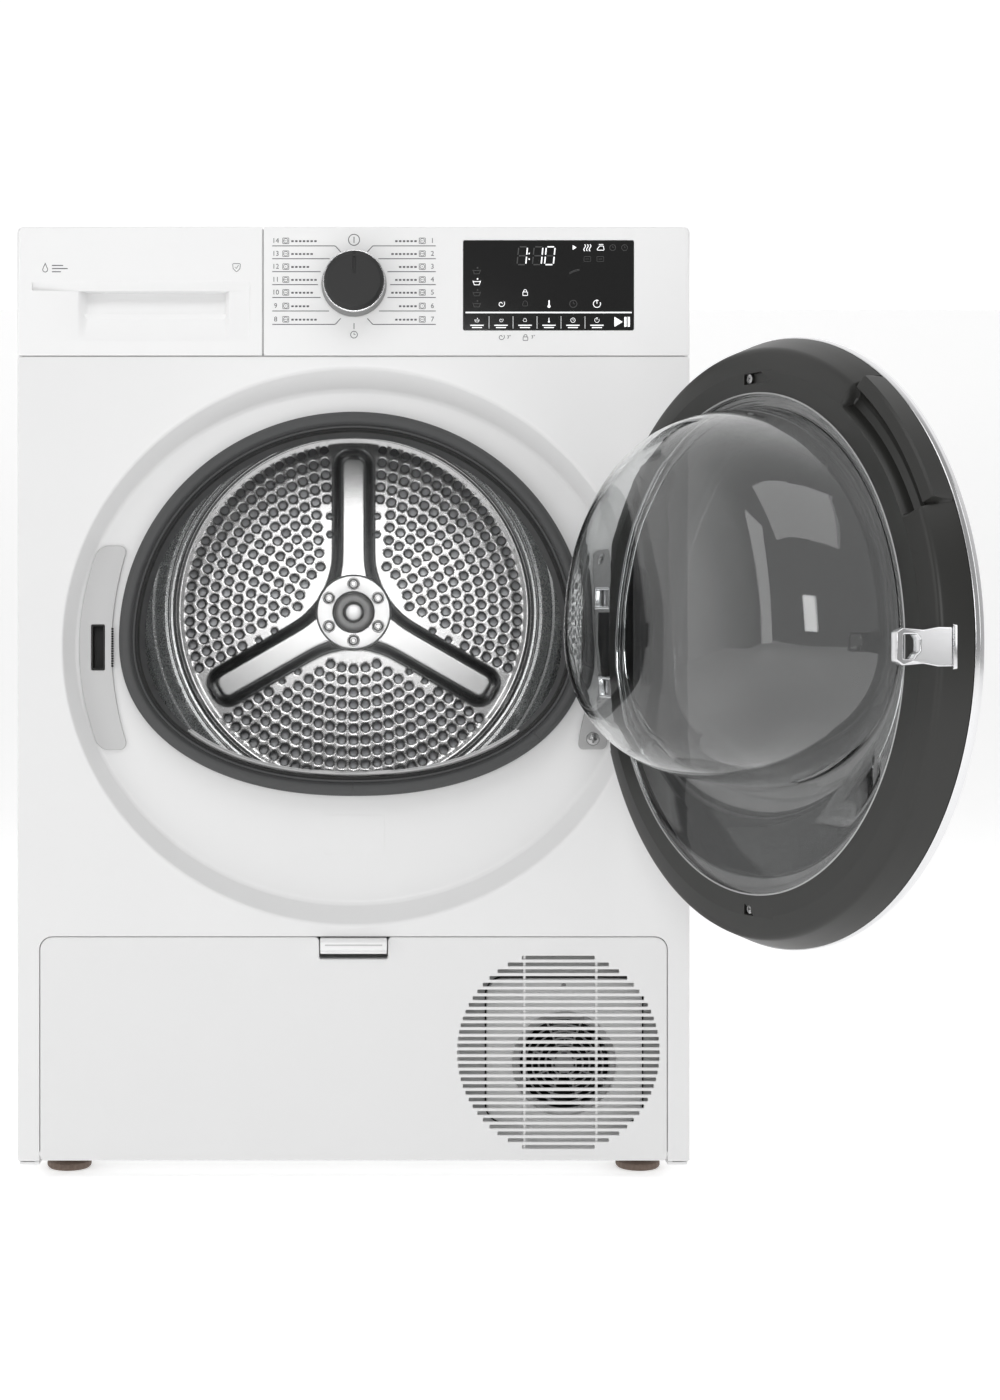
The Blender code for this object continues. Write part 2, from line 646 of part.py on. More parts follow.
# ---- control panel ----------------------------------------------------------------------------
def make_control_fascia():
    x = (FASCIA_SPLIT + 0.0006, SIDE)
    back = FRONT + WORKTOP_SETBACK - 0.0006
    fascia = box("control_fascia", x, (FRONT, back), (PANEL_BASE, BODY_HEIGHT), WHITE_PLASTIC)
    cut(fascia, box("hollow", (x[0] + PLASTIC, x[1] - PLASTIC), (FRONT + PLASTIC, back + 0.01),
                    (PANEL_BASE + PLASTIC, BODY_HEIGHT - PLASTIC)))
    cut(fascia, cylinder("knob_hole", (KNOB_X, KNOB_Z), 0.0045, FRONT - 0.01, FRONT + 0.01, ROUND_SMALL))
    return cut(fascia, box("window", WINDOW_X, (FRONT - 0.01, FRONT + 0.01), WINDOW_Z))


def make_display_window():
    x = (WINDOW_X[0] + GAP, WINDOW_X[1] - GAP)
    z = (WINDOW_Z[0] + GAP, WINDOW_Z[1] - GAP)
    return box("display_window", x, (FRONT + 0.0003, FRONT + 0.0035), z, BLACK_GLOSS)


def make_control_board():
    """The circuit board with the encoder that the knob turns and the display's block."""
    face = FRONT + 0.028
    board = box("control_board", (-0.060, 0.275), (face, face + 0.0016), (0.735, 0.811), BOARD_GREEN)
    encoder = cylinder("encoder", (KNOB_X, KNOB_Z), 0.012, FRONT + 0.012, face + 0.0008, ROUND_SMALL)
    display = box("display", (WINDOW_X[0] + 0.012, WINDOW_X[1] - 0.012), (FRONT + 0.006, face + 0.0008),
                  (WINDOW_Z[0] + 0.010, WINDOW_Z[1] - 0.014))
    join(board, encoder, display)
    return cut(board, cylinder("bore", (KNOB_X, KNOB_Z), 0.003 + RUN, FRONT, face + 0.01, ROUND_SMALL))


def make_selector_knob():
    """A tapered knob with a pointer groove across half its face, and its shaft."""
    face = FRONT - KNOB_HEIGHT
    base = FRONT - 0.0006
    profile = [(KNOB_RADIUS - 0.0062, face), (KNOB_RADIUS - 0.0030, face + 0.0012),
               (KNOB_RADIUS - 0.0022, face + 0.0040), (KNOB_RADIUS - 0.0004, base - 0.0030),
               (KNOB_RADIUS, base), (0.003, base), (0.003, FRONT + 0.024)]
    knob = turned("selector_knob", (KNOB_X, KNOB_Z), profile, ROUND_MID, BLACK_PLASTIC, solid_core=True)
    groove = box("groove", (KNOB_X - 0.0015, KNOB_X + 0.0015), (face - 0.01, face + 0.0012),
                 (KNOB_Z + 0.006, KNOB_Z + 0.05))
    cut(knob, groove)
    return set_origin(knob, KNOB_X, FRONT, KNOB_Z)


def make_tank_front():
    """The drawer's front: a shell with a scoop that deepens upwards under a grip edge."""
    x = (-SIDE, FASCIA_SPLIT - 0.0006)
    back = FRONT + WORKTOP_SETBACK - 0.0006
    front = box("tank_front", x, (FRONT, back), (PANEL_BASE, BODY_HEIGHT), WHITE_PLASTIC)
    cut(front, box("hollow", (x[0] + PLASTIC, x[1] - PLASTIC), (FRONT + PLASTIC, back + 0.01),
                   (PANEL_BASE + PLASTIC, BODY_HEIGHT - PLASTIC)))
    wall = 0.002
    shell = [(FRONT + 0.0002, SCOOP_Z[0] - wall), (FRONT + SCOOP_DEPTH + wall, SCOOP_Z[1] - 0.012),
             (FRONT + SCOOP_DEPTH + wall, SCOOP_Z[1] + wall), (FRONT + 0.0002, SCOOP_Z[1] + wall)]
    join(front, prism("scoop_shell", shell, "X", SCOOP_X[0] - wall, SCOOP_X[1] + wall))
    scoop = [(FRONT - 0.01, SCOOP_Z[0]), (FRONT, SCOOP_Z[0]), (FRONT + SCOOP_DEPTH, SCOOP_Z[1] - 0.010),
             (FRONT + SCOOP_DEPTH, SCOOP_Z[1]), (FRONT - 0.01, SCOOP_Z[1])]
    return cut(front, prism("scoop", scoop, "X", *SCOOP_X))


def make_water_tank():
    """The flat tank over the drum's shoulder; its underside slants to clear the drum."""
    start = FRONT + SCOOP_DEPTH + 0.0045
    outline = [(TANK_X[0], TANK_Z[0]), (-0.190, TANK_Z[0]), (TANK_X[1], 0.785), (TANK_X[1], TANK_Z[1]),
               (TANK_X[0], TANK_Z[1])]
    tank = prism("water_tank", outline, "Y", start, start + TANK_LENGTH, LIGHT_GREY)
    neck = box("neck", (TANK_X[0] + 0.008, TANK_X[0] + 0.032), (FRONT + 0.0032, start + 0.001),
               (TANK_Z[1] - 0.028, TANK_Z[1] - 0.008))
    join(tank, neck)
    return cut(tank, cylinder("filler", (TANK_X[0] + 0.040, FRONT + 0.40), 0.014,
                              TANK_Z[1] - 0.02, TANK_Z[1] + 0.01, ROUND_SMALL, axis="Z"))


# ---- kick plate and service bay -----------------------------------------------------------------
def make_kick_plate():
    """The tilting plate: rounded upper corners, a round field of slits and two pivot pins."""
    outline = rounded_rectangle((-KICK_HALF_WIDTH, KICK_HALF_WIDTH), (-0.02, KICK_TOP), KICK_CORNER)
    plate = prism("kick_plate", outline, "Y", FRONT, FRONT + KICK_RETURN, WHITE_PLASTIC)
    inner = rounded_rectangle((PLASTIC - KICK_HALF_WIDTH, KICK_HALF_WIDTH - PLASTIC),
                              (-0.03, KICK_TOP - PLASTIC), KICK_CORNER - PLASTIC)
    cut(plate, prism("hollow", inner, "Y", FRONT + PLASTIC, FRONT + 0.03))
    cut(plate, box("below", (-0.3, 0.3), (FRONT - 0.01, FRONT + 0.05), (-0.05, KICK_LOW)))
    for z in (KICK_LOW + 0.0015, 0.195 - PLASTIC, 0.178):
        join(plate, box("rib", (0.001 - KICK_HALF_WIDTH, KICK_HALF_WIDTH - 0.001),
                        (FRONT + PLASTIC / 2, FRONT + KICK_RETURN - 0.0002), (z, z + PLASTIC)))
    for k in range(SLIT_COUNT):
        z = GRILLE_Z + (k - (SLIT_COUNT - 1) / 2) * SLIT_PITCH
        half = sqrt(GRILLE_RADIUS ** 2 - (z - GRILLE_Z) ** 2)
        cut(plate, box("slit", (GRILLE_X - half, GRILLE_X + half), (FRONT - 0.01, FRONT + 0.01),
                       (z - SLIT_HEIGHT / 2, z + SLIT_HEIGHT / 2)))
    cut(plate, box("tab_notch", (-0.0305, 0.0305), (FRONT - 0.01, FRONT + 0.02), (0.1835, 0.21)))
    pivot_y, pivot_z = kick_pivot()
    for side in (-1, 1):
        reach = sorted((side * (KICK_HALF_WIDTH - 0.001), side * (KICK_HALF_WIDTH + 0.0048)))
        join(plate, cylinder("pin", (pivot_y, pivot_z), KICK_PIN, *reach, ROUND_SMALL, axis="X"))
    return set_origin(plate, 0, pivot_y, pivot_z)


def make_kick_latch():
    """The push tab: a lip that the finger presses down and a guide behind the plate."""
    top = KICK_TOP - 0.0006
    outline = [(FRONT - 0.0080, top - 0.0105), (FRONT - 0.0080, top - 0.0030), (FRONT - 0.0050, top),
               (FRONT + 0.0080, top), (FRONT + 0.0080, top - 0.0145), (FRONT + 0.0005, top - 0.0145),
               (FRONT + 0.0005, top - 0.0105)]
    return prism("kick_plate_latch", outline, "X", -0.0295, 0.0295, WHITE_PLASTIC)


def make_service_front():
    """The front wall of the heat pump base, with the openings for the cover and the fan guard."""
    y = (FRONT + SERVICE_DEPTH, FRONT + SERVICE_DEPTH + PLASTIC)
    half = SIDE - SHEET - 0.001
    wall = box("service_front", (-half, half), y, (TRAY_HEIGHT + GAP, 0.2035), WHITE_PLASTIC)
    cut(wall, box("cover_hole", (COVER_X[0] + 0.012, COVER_X[1] - 0.012), (y[0] - 0.01, y[1] + 0.01),
                  (COVER_Z[0] + 0.010, COVER_Z[1] - 0.010)))
    return cut(wall, cylinder("fan_hole", (GUARD_X, GUARD_Z), 0.0410, y[0] - 0.01, y[1] + 0.01, ROUND_MID))


def lever_places():
    middle = (COVER_Z[0] + COVER_Z[1]) / 2
    return {"left": (COVER_X[0] + 0.024, middle), "right": (COVER_X[1] - 0.024, middle)}


def make_exchanger_cover():
    y = (FRONT + SERVICE_DEPTH - 0.0042, FRONT + SERVICE_DEPTH - GAP)
    outline = rounded_rectangle(COVER_X, COVER_Z, 0.012)
    cover = prism("exchanger_cover", outline, "Y", *y, WHITE_PLASTIC)
    for x, z in lever_places().values():
        cut(cover, cylinder("bore", (x, z), 0.0045, y[0] - 0.01, y[1] + 0.01, ROUND_SMALL))
    return cover


def make_cover_lever(name, x, z):
    """A bar with a short spindle that turns a quarter to free the cover."""
    face = FRONT + SERVICE_DEPTH - 0.0042 - GAP
    lever = box(name, (x - 0.006, x + 0.006), (face - 0.005, face), (z - 0.026, z + 0.026), BLACK_PLASTIC)
    join(lever, cylinder("spindle", (x, z), 0.0042, face - 0.001, face + 0.0038, ROUND_SMALL))
    return set_origin(lever, x, face, z)


def make_fan_guard():
    """A rounded plate whose round mouth is crossed by two guard bars."""
    y = (FRONT + SERVICE_DEPTH - 0.0042, FRONT + SERVICE_DEPTH - GAP)
    guard = prism("fan_guard", rounded_rectangle(GUARD_PLATE_X, GUARD_PLATE_Z, 0.015), "Y", *y, WHITE_PLASTIC)
    cut(guard, cylinder("mouth", (GUARD_X, GUARD_Z), GUARD_RADIUS, y[0] - 0.01, y[1] + 0.01, ROUND_MID))
    rod = 0.0012
    inner = (y[0] + 0.0006, y[1] - 0.0006)
    for k in range(2):
        turn = pi * k / 2 + pi / 4
        along, across = Vector((cos(turn), sin(turn))), Vector((-sin(turn), cos(turn)))
        reach = GUARD_RADIUS + 0.001
        corners = [along * a * reach + across * b * rod for a, b in ((-1, -1), (1, -1), (1, 1), (-1, 1))]
        bar = [(GUARD_X + c.x, GUARD_Z + c.y) for c in corners]
        join(guard, prism("spoke", bar, "Y", inner[0] + 0.0002, inner[1] - 0.0002))
    return guard


def make_cooling_fan():
    """An axial fan: hub and seven pitched blades."""
    start = FRONT + SERVICE_DEPTH + PLASTIC + 0.006
    fan = cylinder("cooling_fan", (GUARD_X, GUARD_Z), 0.014, start, start + 0.016, ROUND_SMALL, BLACK_PLASTIC)
    for k in range(7):
        turn = 2 * pi * k / 7
        blade = box("blade", (0.010, 0.039), (-0.0008, 0.0008), (-0.009, 0.009))
        blade.data.transform(Matrix.Rotation(radians(38), 4, "X"))
        blade.data.transform(Matrix.Rotation(turn, 4, "Y"))
        move_mesh(blade, GUARD_X, start + 0.008, GUARD_Z)
        join(fan, blade)
    return set_origin(fan, GUARD_X, start, GUARD_Z)


def make_compressor():
    """A welded capsule on a base plate."""
    x, y, radius = 0.150, FRONT + 0.345, 0.058
    low = TRAY_WALL + GAP
    profile = [(radius + 0.012, low), (radius + 0.012, low + 0.004), (radius - 0.010, low + 0.012),
               (radius, low + 0.028), (radius, low + 0.135), (radius - 0.012, low + 0.155),
               (radius - 0.035, low + 0.166)]
    return turned("compressor", (x, y), profile, ROUND_MID, BLACK_PLASTIC, axis="Z", solid_core=True)


def make_heat_exchanger():
    """The finned block of the heat pump: upright fins on a common base with two cross legs."""
    x, y, z = (-0.100, 0.085), (FRONT + 0.060, FRONT + 0.250), (0.050, 0.180)
    block = box("heat_exchanger", x, y, z, ALUMINIUM)
    for k in range(9):
        low = x[0] + 0.010 + 0.019 * k
        cut(block, box("gap", (low, low + 0.014), (y[0] - 0.01, y[1] + 0.01), (z[0] + 0.015, z[1] + 0.01)))
    for depth in (y[0] + 0.010, y[1] - 0.020):
        join(block, box("leg", (x[0] + 0.005, x[1] - 0.005), (depth, depth + 0.010),
                        (TRAY_WALL + GAP, z[0] + 0.01)))
    return block


# ---- drum and drive -------------------------------------------------------------------------------
def make_drum_shell():
    """Turned shell: front lip, cylinder with a bead, and the dished ring at the back."""
    wall = DRUM_WALL
    front, back = FRONT + DRUM_FRONT, FRONT + DRUM_BACK
    cone = back - DISH_DEPTH
    r = DRUM_RADIUS
    flange = BACK_PLATE_RADIUS - 0.006
    profile = [(DRUM_MOUTH, front), (r - 0.006, front), (r, front + 0.008), (r, cone),
               (DISH_RADIUS + 0.0035, cone + 0.0010), (BACK_PLATE_RADIUS + 0.0045, back),
               (flange, back), (flange, back - wall), (BACK_PLATE_RADIUS + 0.0035, back - wall),
               (DISH_RADIUS + 0.002, cone - wall), (r - wall, cone - wall), (r - wall, front + 0.0088),
               (r - 0.0066, front + wall), (DRUM_MOUTH, front + wall)]
    shell = turned("drum_shell", (0, DRUM_Z), profile, ROUND_BIG, STEEL)
    return set_origin(shell, 0, front, DRUM_Z)


def make_back_plate():
    """The steel disc that closes the drum, with three raised spokes."""
    face = FRONT + DRUM_BACK + GAP
    bore = AXLE_RADIUS + 0.001
    profile = [(bore, face), (BACK_PLATE_RADIUS, face), (BACK_PLATE_RADIUS, face + DRUM_WALL),
               (bore, face + DRUM_WALL)]
    plate = turned("drum_back_plate", (0, DRUM_Z), profile, ROUND_BIG, STEEL)
    for turn in (90, 210, 330):
        half, tip = SPOKE_WIDTH / 2, SPOKE_WIDTH * 0.30
        top = -SPOKE_HEIGHT
        start = HUB_RADIUS * 0.5
        base = [(start, -half), (SPOKE_REACH, -half), (SPOKE_REACH, half), (start, half)]
        crest = [(start, -tip), (SPOKE_REACH - 0.017, -tip), (SPOKE_REACH - 0.017, tip), (start, tip)]
        points = [(u, 0.0005, v) for u, v in base] + [(u, top, v) for u, v in crest]
        faces = [(0, 1, 2, 3), (7, 6, 5, 4)] + [(k, k + 4, (k + 1) % 4 + 4, (k + 1) % 4) for k in range(4)]
        spoke = solid("spoke", points, faces)
        spoke.data.transform(Matrix.Rotation(-radians(turn), 4, "Y"))
        join(plate, move_mesh(spoke, 0, face, DRUM_Z))
    cut(plate, cylinder("hub_seat", (0, DRUM_Z), HUB_RADIUS + 0.001, face - 0.02, face - 0.0001, ROUND_MID))
    return set_origin(plate, 0, face, DRUM_Z)


def make_drum_hub():
    """The hub cap with its ring recess and boss, in one piece with the rear axle."""
    face = FRONT + DRUM_BACK - 0.010
    seat = FRONT + DRUM_BACK
    profile = [(0.0094, face - 0.001), (0.0110, face), (0.0110, face + 0.003), (0.0215, face + 0.003),
               (0.0227, face), (HUB_RADIUS - 0.003, face), (HUB_RADIUS, face + 0.002), (HUB_RADIUS, seat),
               (AXLE_RADIUS, seat), (AXLE_RADIUS, FRONT + DRUM_BACK + 0.046)]
    hub = turned("drum_hub", (0, DRUM_Z), profile, ROUND_MID, ALUMINIUM, solid_core=True)
    return set_origin(hub, 0, seat, DRUM_Z)


def make_paddle(name, turn):
    """A lifter: a ridge along the inside of the shell with slanted sides."""
    foot_radius = DRUM_RADIUS - DRUM_WALL - 0.0015
    half, crest = 0.030, 0.010
    foot = sqrt(foot_radius ** 2 - half ** 2)
    top = foot_radius - PADDLE_HEIGHT
    outline = [(foot, -half), (foot_radius - 0.0005, 0), (foot, half), (top, crest), (top, -crest)]
    c, s = cos(radians(turn)), sin(radians(turn))
    outline = [(u * c - v * s, DRUM_Z + u * s + v * c) for u, v in outline]
    paddle = prism(name, outline, "Y", FRONT + DRUM_FRONT + 0.030, FRONT + DRUM_BACK - DISH_DEPTH - 0.03,
                   LIGHT_GREY)
    return set_origin(paddle, 0, FRONT, DRUM_Z)


def make_rear_bulkhead():
    """The pressed rear wall that carries the drum's axle bearing."""
    y = (FRONT + DRUM_BACK + 0.030, FRONT + DRUM_BACK + 0.032)
    half = SIDE - SHEET - 0.0006
    wall = box("rear_bulkhead", (-half, half), y, (TRAY_HEIGHT + GAP, 0.727), ZINC)
    cut(wall, cylinder("seat", (0, DRUM_Z), 0.026 + GAP, y[0] - 0.02, y[1] + 0.02, ROUND_MID))
    return cut(wall, box("fan_duct", (MOTOR_X - 0.030, MOTOR_X + 0.030), (y[0] - 0.02, y[1] + 0.02),
                         (0.20, 0.28)))


def make_drum_bearing():
    """The bearing block in the rear bulkhead."""
    y = (FRONT + DRUM_BACK + 0.0235, FRONT + DRUM_BACK + 0.044)
    bore = AXLE_RADIUS + RUN
    flange_at = FRONT + DRUM_BACK + 0.030 - GAP
    profile = [(bore, y[0]), (0.034, y[0]), (0.034, flange_at), (0.026, flange_at), (0.026, y[1]),
               (bore, y[1])]
    return turned("drum_bearing", (0, DRUM_Z), profile, ROUND_MID, BLACK_PLASTIC)


def make_motor():
    """The motor on its cradle, with a through bore for the shaft."""
    y = (FRONT + 0.300, FRONT + 0.400)
    motor = cylinder("motor", (MOTOR_X, MOTOR_Z), MOTOR_RADIUS, *y, ROUND_MID, COPPER_MOTOR)
    join(motor, box("cradle", (MOTOR_X - 0.035, MOTOR_X + 0.035), (y[0] + 0.01, y[1] - 0.01),
                    (TRAY_WALL + GAP, MOTOR_Z - 0.030)))
    return cut(motor, cylinder("bore", (MOTOR_X, MOTOR_Z), SHAFT_RADIUS + RUN, y[0] - 0.01, y[1] + 0.01,
                               ROUND_SMALL))


def make_motor_shaft():
    """Shaft with the small belt pulley between its flanges."""
    mid = FRONT + BELT_DEPTH
    half = BELT_WIDTH / 2 + 0.001
    profile = [(SHAFT_RADIUS, FRONT + 0.222), (SHAFT_RADIUS, mid - half - 0.002),
               (PULLEY_RADIUS + 0.004, mid - half - 0.002), (PULLEY_RADIUS + 0.004, mid - half),
               (PULLEY_RADIUS, mid - half), (PULLEY_RADIUS, mid + half),
               (PULLEY_RADIUS + 0.004, mid + half), (PULLEY_RADIUS + 0.004, mid + half + 0.002)]
    shaft = turned("motor_shaft", (MOTOR_X, MOTOR_Z), profile, ROUND_SMALL, ZINC, solid_core=True)
    return set_origin(shaft, MOTOR_X, FRONT, MOTOR_Z)


def make_process_fan():
    """Blower wheel: back disc, hub and eight straight blades."""
    y = (FRONT + 0.232, FRONT + 0.268)
    bore = SHAFT_RADIUS + 0.0003
    profile = [(bore, y[0] + 0.006), (0.014, y[0] + 0.006), (0.014, y[1] - 0.002), (FAN_RADIUS, y[1] - 0.002),
               (FAN_RADIUS, y[1]), (bore, y[1])]
    fan = turned("process_fan", (MOTOR_X, MOTOR_Z), profile, ROUND_MID, BLACK_PLASTIC)
    for k in range(8):
        blade = box("blade", (0.040, FAN_RADIUS - 0.001), (-0.016, 0.0165), (-0.001, 0.001))
        blade.data.transform(Matrix.Rotation(2 * pi * k / 8, 4, "Y"))
        join(fan, move_mesh(blade, MOTOR_X, y[0] + 0.0178, MOTOR_Z))
    return set_origin(fan, MOTOR_X, FRONT, MOTOR_Z)


def make_fan_scroll():
    """Open-fronted housing round the blower wheel."""
    y = (FRONT + 0.222, FRONT + 0.276)
    outer, wall = 0.086, 0.0025
    profile = [(outer, y[0]), (outer, y[1]), (SHAFT_RADIUS + 0.003, y[1]),
               (SHAFT_RADIUS + 0.003, y[1] - wall),
               (outer - wall, y[1] - wall), (outer - wall, y[0] + wall), (0.048, y[0] + wall), (0.048, y[0])]
    scroll = turned("fan_scroll", (MOTOR_X, MOTOR_Z), profile, ROUND_MID, LIGHT_GREY)
    stand = box("stand", (MOTOR_X - 0.045, MOTOR_X + 0.045), (y[0] + 0.004, y[1] - 0.004),
                (TRAY_WALL + GAP, MOTOR_Z - outer + 0.020))
    cut(stand, cylinder("inside", (MOTOR_X, MOTOR_Z), outer - wall / 2, y[0] - 0.01, y[1] + 0.01, ROUND_MID))
    return join(scroll, stand)


def belt_outline(extra, steps):
    """Furthest reach of drum, motor pulley and idler in each direction, walked round the loop."""
    lift = 0.0003
    wheels = [((0, DRUM_Z), DRUM_RADIUS + lift), ((MOTOR_X, MOTOR_Z), PULLEY_RADIUS + lift),
              ((IDLER_X, IDLER_Z), IDLER_RADIUS + lift)]
    points = []
    for k in range(steps):
        turn = 2 * pi * k / steps
        normal = (cos(turn), sin(turn))
        reach = [c[0] * normal[0] + c[1] * normal[1] + r for c, r in wheels]
        centre, radius = wheels[reach.index(max(reach))]
        points.append((centre[0] + (radius + extra) * normal[0], centre[1] + (radius + extra) * normal[1]))
    return points


def make_drive_belt():
    steps = ROUND_BIG
    y = (FRONT + BELT_DEPTH - BELT_WIDTH / 2, FRONT + BELT_DEPTH + BELT_WIDTH / 2)
    inner, outer = belt_outline(0.0, steps), belt_outline(BELT_THICK, steps)
    loops = [[(u, y[0], v) for u, v in inner], [(u, y[0], v) for u, v in outer],
             [(u, y[1], v) for u, v in outer], [(u, y[1], v) for u, v in inner]]
    return loft("drive_belt", loops, DARK_RUBBER)


def idler_pivot():
    return IDLER_X + 0.055, 0.052


def make_idler_arm():
    """The sprung arm behind the belt: pivot eye, bar and the stub that carries the pulley."""
    depth = FRONT + BELT_DEPTH + BELT_WIDTH / 2 + 0.006
    px, pz = idler_pivot()
    arm = cylinder("idler_arm", (px, pz), 0.009, depth, depth + 0.004, ROUND_SMALL, ZINC)
    across = Vector((pz - IDLER_Z, IDLER_X - px)).normalized() * 0.006
    bar = [(px + across.x, pz + across.y), (IDLER_X + across.x, IDLER_Z + across.y),
           (IDLER_X - across.x, IDLER_Z - across.y), (px - across.x, pz - across.y)]
    join(arm, prism("bar", bar, "Y", depth + 0.0003, depth + 0.0037))
    join(arm, cylinder("stub", (IDLER_X, IDLER_Z), 0.004, FRONT + BELT_DEPTH - 0.010, depth + 0.0035,
                       ROUND_SMALL))
    cut(arm, cylinder("eye", (px, pz), 0.004 + RUN, depth - 0.01, depth + 0.01, ROUND_SMALL))
    return set_origin(arm, px, depth, pz)


def make_idler_pulley():
    half = BELT_WIDTH / 2 + 0.001
    mid = FRONT + BELT_DEPTH
    bore = 0.004 + RUN
    profile = [(bore, mid - half - 0.0015), (IDLER_RADIUS + 0.003, mid - half - 0.0015),
               (IDLER_RADIUS + 0.003, mid - half), (IDLER_RADIUS, mid - half), (IDLER_RADIUS, mid + half),
               (IDLER_RADIUS + 0.003, mid + half), (IDLER_RADIUS + 0.003, mid + half + 0.0015),
               (bore, mid + half + 0.0015)]
    pulley = turned("idler_pulley", (IDLER_X, IDLER_Z), profile, ROUND_SMALL, BLACK_PLASTIC)
    return set_origin(pulley, IDLER_X, mid, IDLER_Z)


def add_idler_post(tray):
    """A post on the tray that the idler arm turns on."""
    px, pz = idler_pivot()
    depth = FRONT + BELT_DEPTH + BELT_WIDTH / 2 + 0.006
    post = box("post", (px - 0.010, px + 0.010), (depth + 0.0046, depth + 0.0126),
               (TRAY_WALL / 2, pz + 0.010))
    join(tray, post)
    return join(tray, cylinder("pivot", (px, pz), 0.004, depth - 0.002, depth + 0.006, ROUND_SMALL))


def make_support_roller(name, x, z):
    start = FRONT + DRUM_FRONT + 0.009
    bore = 0.005 + RUN
    profile = [(bore, start), (ROLLER_RADIUS - 0.004, start), (ROLLER_RADIUS, start + 0.002),
               (ROLLER_RADIUS, start + ROLLER_WIDTH - 0.002), (ROLLER_RADIUS - 0.004, start + ROLLER_WIDTH),
               (bore, start + ROLLER_WIDTH)]
    roller = turned(name, (x, z), profile, ROUND_MID, DARK_RUBBER)
    return set_origin(roller, x, start, z)


def make_foot(name, x, y):
    """A levelling foot: pad and the stem that screws into the tray."""
    profile = [(FOOT_RADIUS - 0.002, -FOOT_HEIGHT), (FOOT_RADIUS, -FOOT_HEIGHT + 0.002),
               (FOOT_RADIUS, -0.0045), (0.010, -0.0010), (STEM_RADIUS, -0.0010), (STEM_RADIUS, 0.034)]
    foot = turned(name, (x, y), profile, ROUND_SMALL, BLACK_PLASTIC, axis="Z", solid_core=True)
    return set_origin(foot, x, y, 0)


# ---- door -------------------------------------------------------------------------------------------
# The door is drawn closed, then turned about its hinge pin to the angle that it rests at.
def hang_on_door(piece):
    axis_y = FRONT - HINGE_OUT
    set_origin(piece, HINGE_X, axis_y, 0)
    piece.rotation_euler = (0, 0, radians(DOOR_ANGLE_OPEN))
    return piece


def door_turned(name, profile, steps, finish, solid_core=False):
    """A profile of (radius, depth from the cabinet's front) about the door's own centre."""
    return turned(name, (0, DOOR_Z), [(r, FRONT + d) for r, d in profile], steps, finish,
                  solid_core=solid_core)


def rim_back():
    return -DOOR_PROUD + 0.0035


def rim_front():
    return -DOOR_PROUD - 0.0060


def make_door_rim():
    r = DOOR_RADIUS
    profile = [(r - 0.007, rim_front() + 0.0005), (r - 0.0035, rim_front() - 0.0005),
               (r - 0.0010, rim_front() + 0.002),
               (r, -DOOR_PROUD), (r - 0.0008, rim_back()), (r - 0.007, rim_back())]
    return hang_on_door(door_turned("door_rim", profile, ROUND_BIG, CHROME))


def make_outer_panel():
    """The crowned outer skin inside the rim."""
    r = DOOR_RADIUS - 0.007 - GAP
    front = rim_front() + 0.0010
    profile = [(r * 0.35, front - 0.0045), (r * 0.72, front - 0.0028), (r, front), (r, front + 0.004),
               (r * 0.72, front + 0.0002), (r * 0.35, front - 0.0015)]
    return hang_on_door(door_turned("door_outer_panel", profile, ROUND_BIG, BLACK_GLOSS, solid_core=True))


def make_inner_frame():
    """The black moulding: sloping shoulder, flat ring and the seat of the glass, cut back at the hinge."""
    plane, wall = DOOR_RING_PLANE, 0.0025
    back = rim_back() + GAP
    outer = DOOR_RADIUS - 0.0012
    profile = [(outer, back), (DOOR_RING_OUT + 0.0035, plane - 0.0020), (DOOR_RING_OUT, plane),
               (DOOR_RING_IN, plane), (DOOR_RING_IN, plane - 0.0105), (DOOR_RING_IN + wall, plane - 0.0105),
               (DOOR_RING_IN + wall, plane - wall), (DOOR_RING_OUT - 0.001, plane - wall),
               (outer - wall - 0.001, back)]
    frame = door_turned("door_inner_frame", profile, ROUND_BIG, BLACK_PLASTIC)
    back_y = FRONT + back
    cut(frame, box("hinge_cut", (0.2080, 0.26), (back_y - 0.001, FRONT + 0.02),
                   (DOOR_Z - 0.092, DOOR_Z + 0.092)))
    hook_x, hook_z = hook_centre()
    cut(frame, box("hook_slot", (hook_x - 0.0062, hook_x + 0.0062), (FRONT - 0.02, FRONT + 0.02),
                   (hook_z - 0.0170, hook_z + 0.0170)))
    grip = prism("grip", grip_outline(), "Y", FRONT - 0.0205, FRONT + 0.02)
    cut(frame, grip)
    pocket = prism("grip_pocket", grip_outline(0.002), "Y", FRONT - 0.0225, FRONT - 0.0030)
    cut(pocket, prism("grip_hollow", grip_outline(), "Y", FRONT - 0.0205, FRONT + 0.02))
    trim = turned("trim", (0, DOOR_Z), [(DOOR_RING_OUT + 0.0005, FRONT - 0.03), (0.30, FRONT - 0.03),
                                        (0.30, FRONT + 0.03), (DOOR_RING_OUT + 0.0005, FRONT + 0.03)],
                  ROUND_BIG)
    cut(pocket, trim)
    join(frame, pocket)
    return hang_on_door(frame)


def grip_outline(grow=0.0):
    """A pocket in the flat ring, upper left of the door, where the fingers pull."""
    low, high = 125.0, 155.0
    inner, outer = DOOR_RING_IN + 0.010 - grow, DOOR_RING_OUT - 0.003 + grow
    step = 7
    spread = grow / DOOR_RING_IN * 180 / pi
    turns = [radians(low - spread + (high - low + 2 * spread) * k / step) for k in range(step + 1)]
    outside = [(outer * cos(t), DOOR_Z + outer * sin(t)) for t in turns]
    inside = [(inner * cos(t), DOOR_Z + inner * sin(t)) for t in reversed(turns)]
    return outside + inside


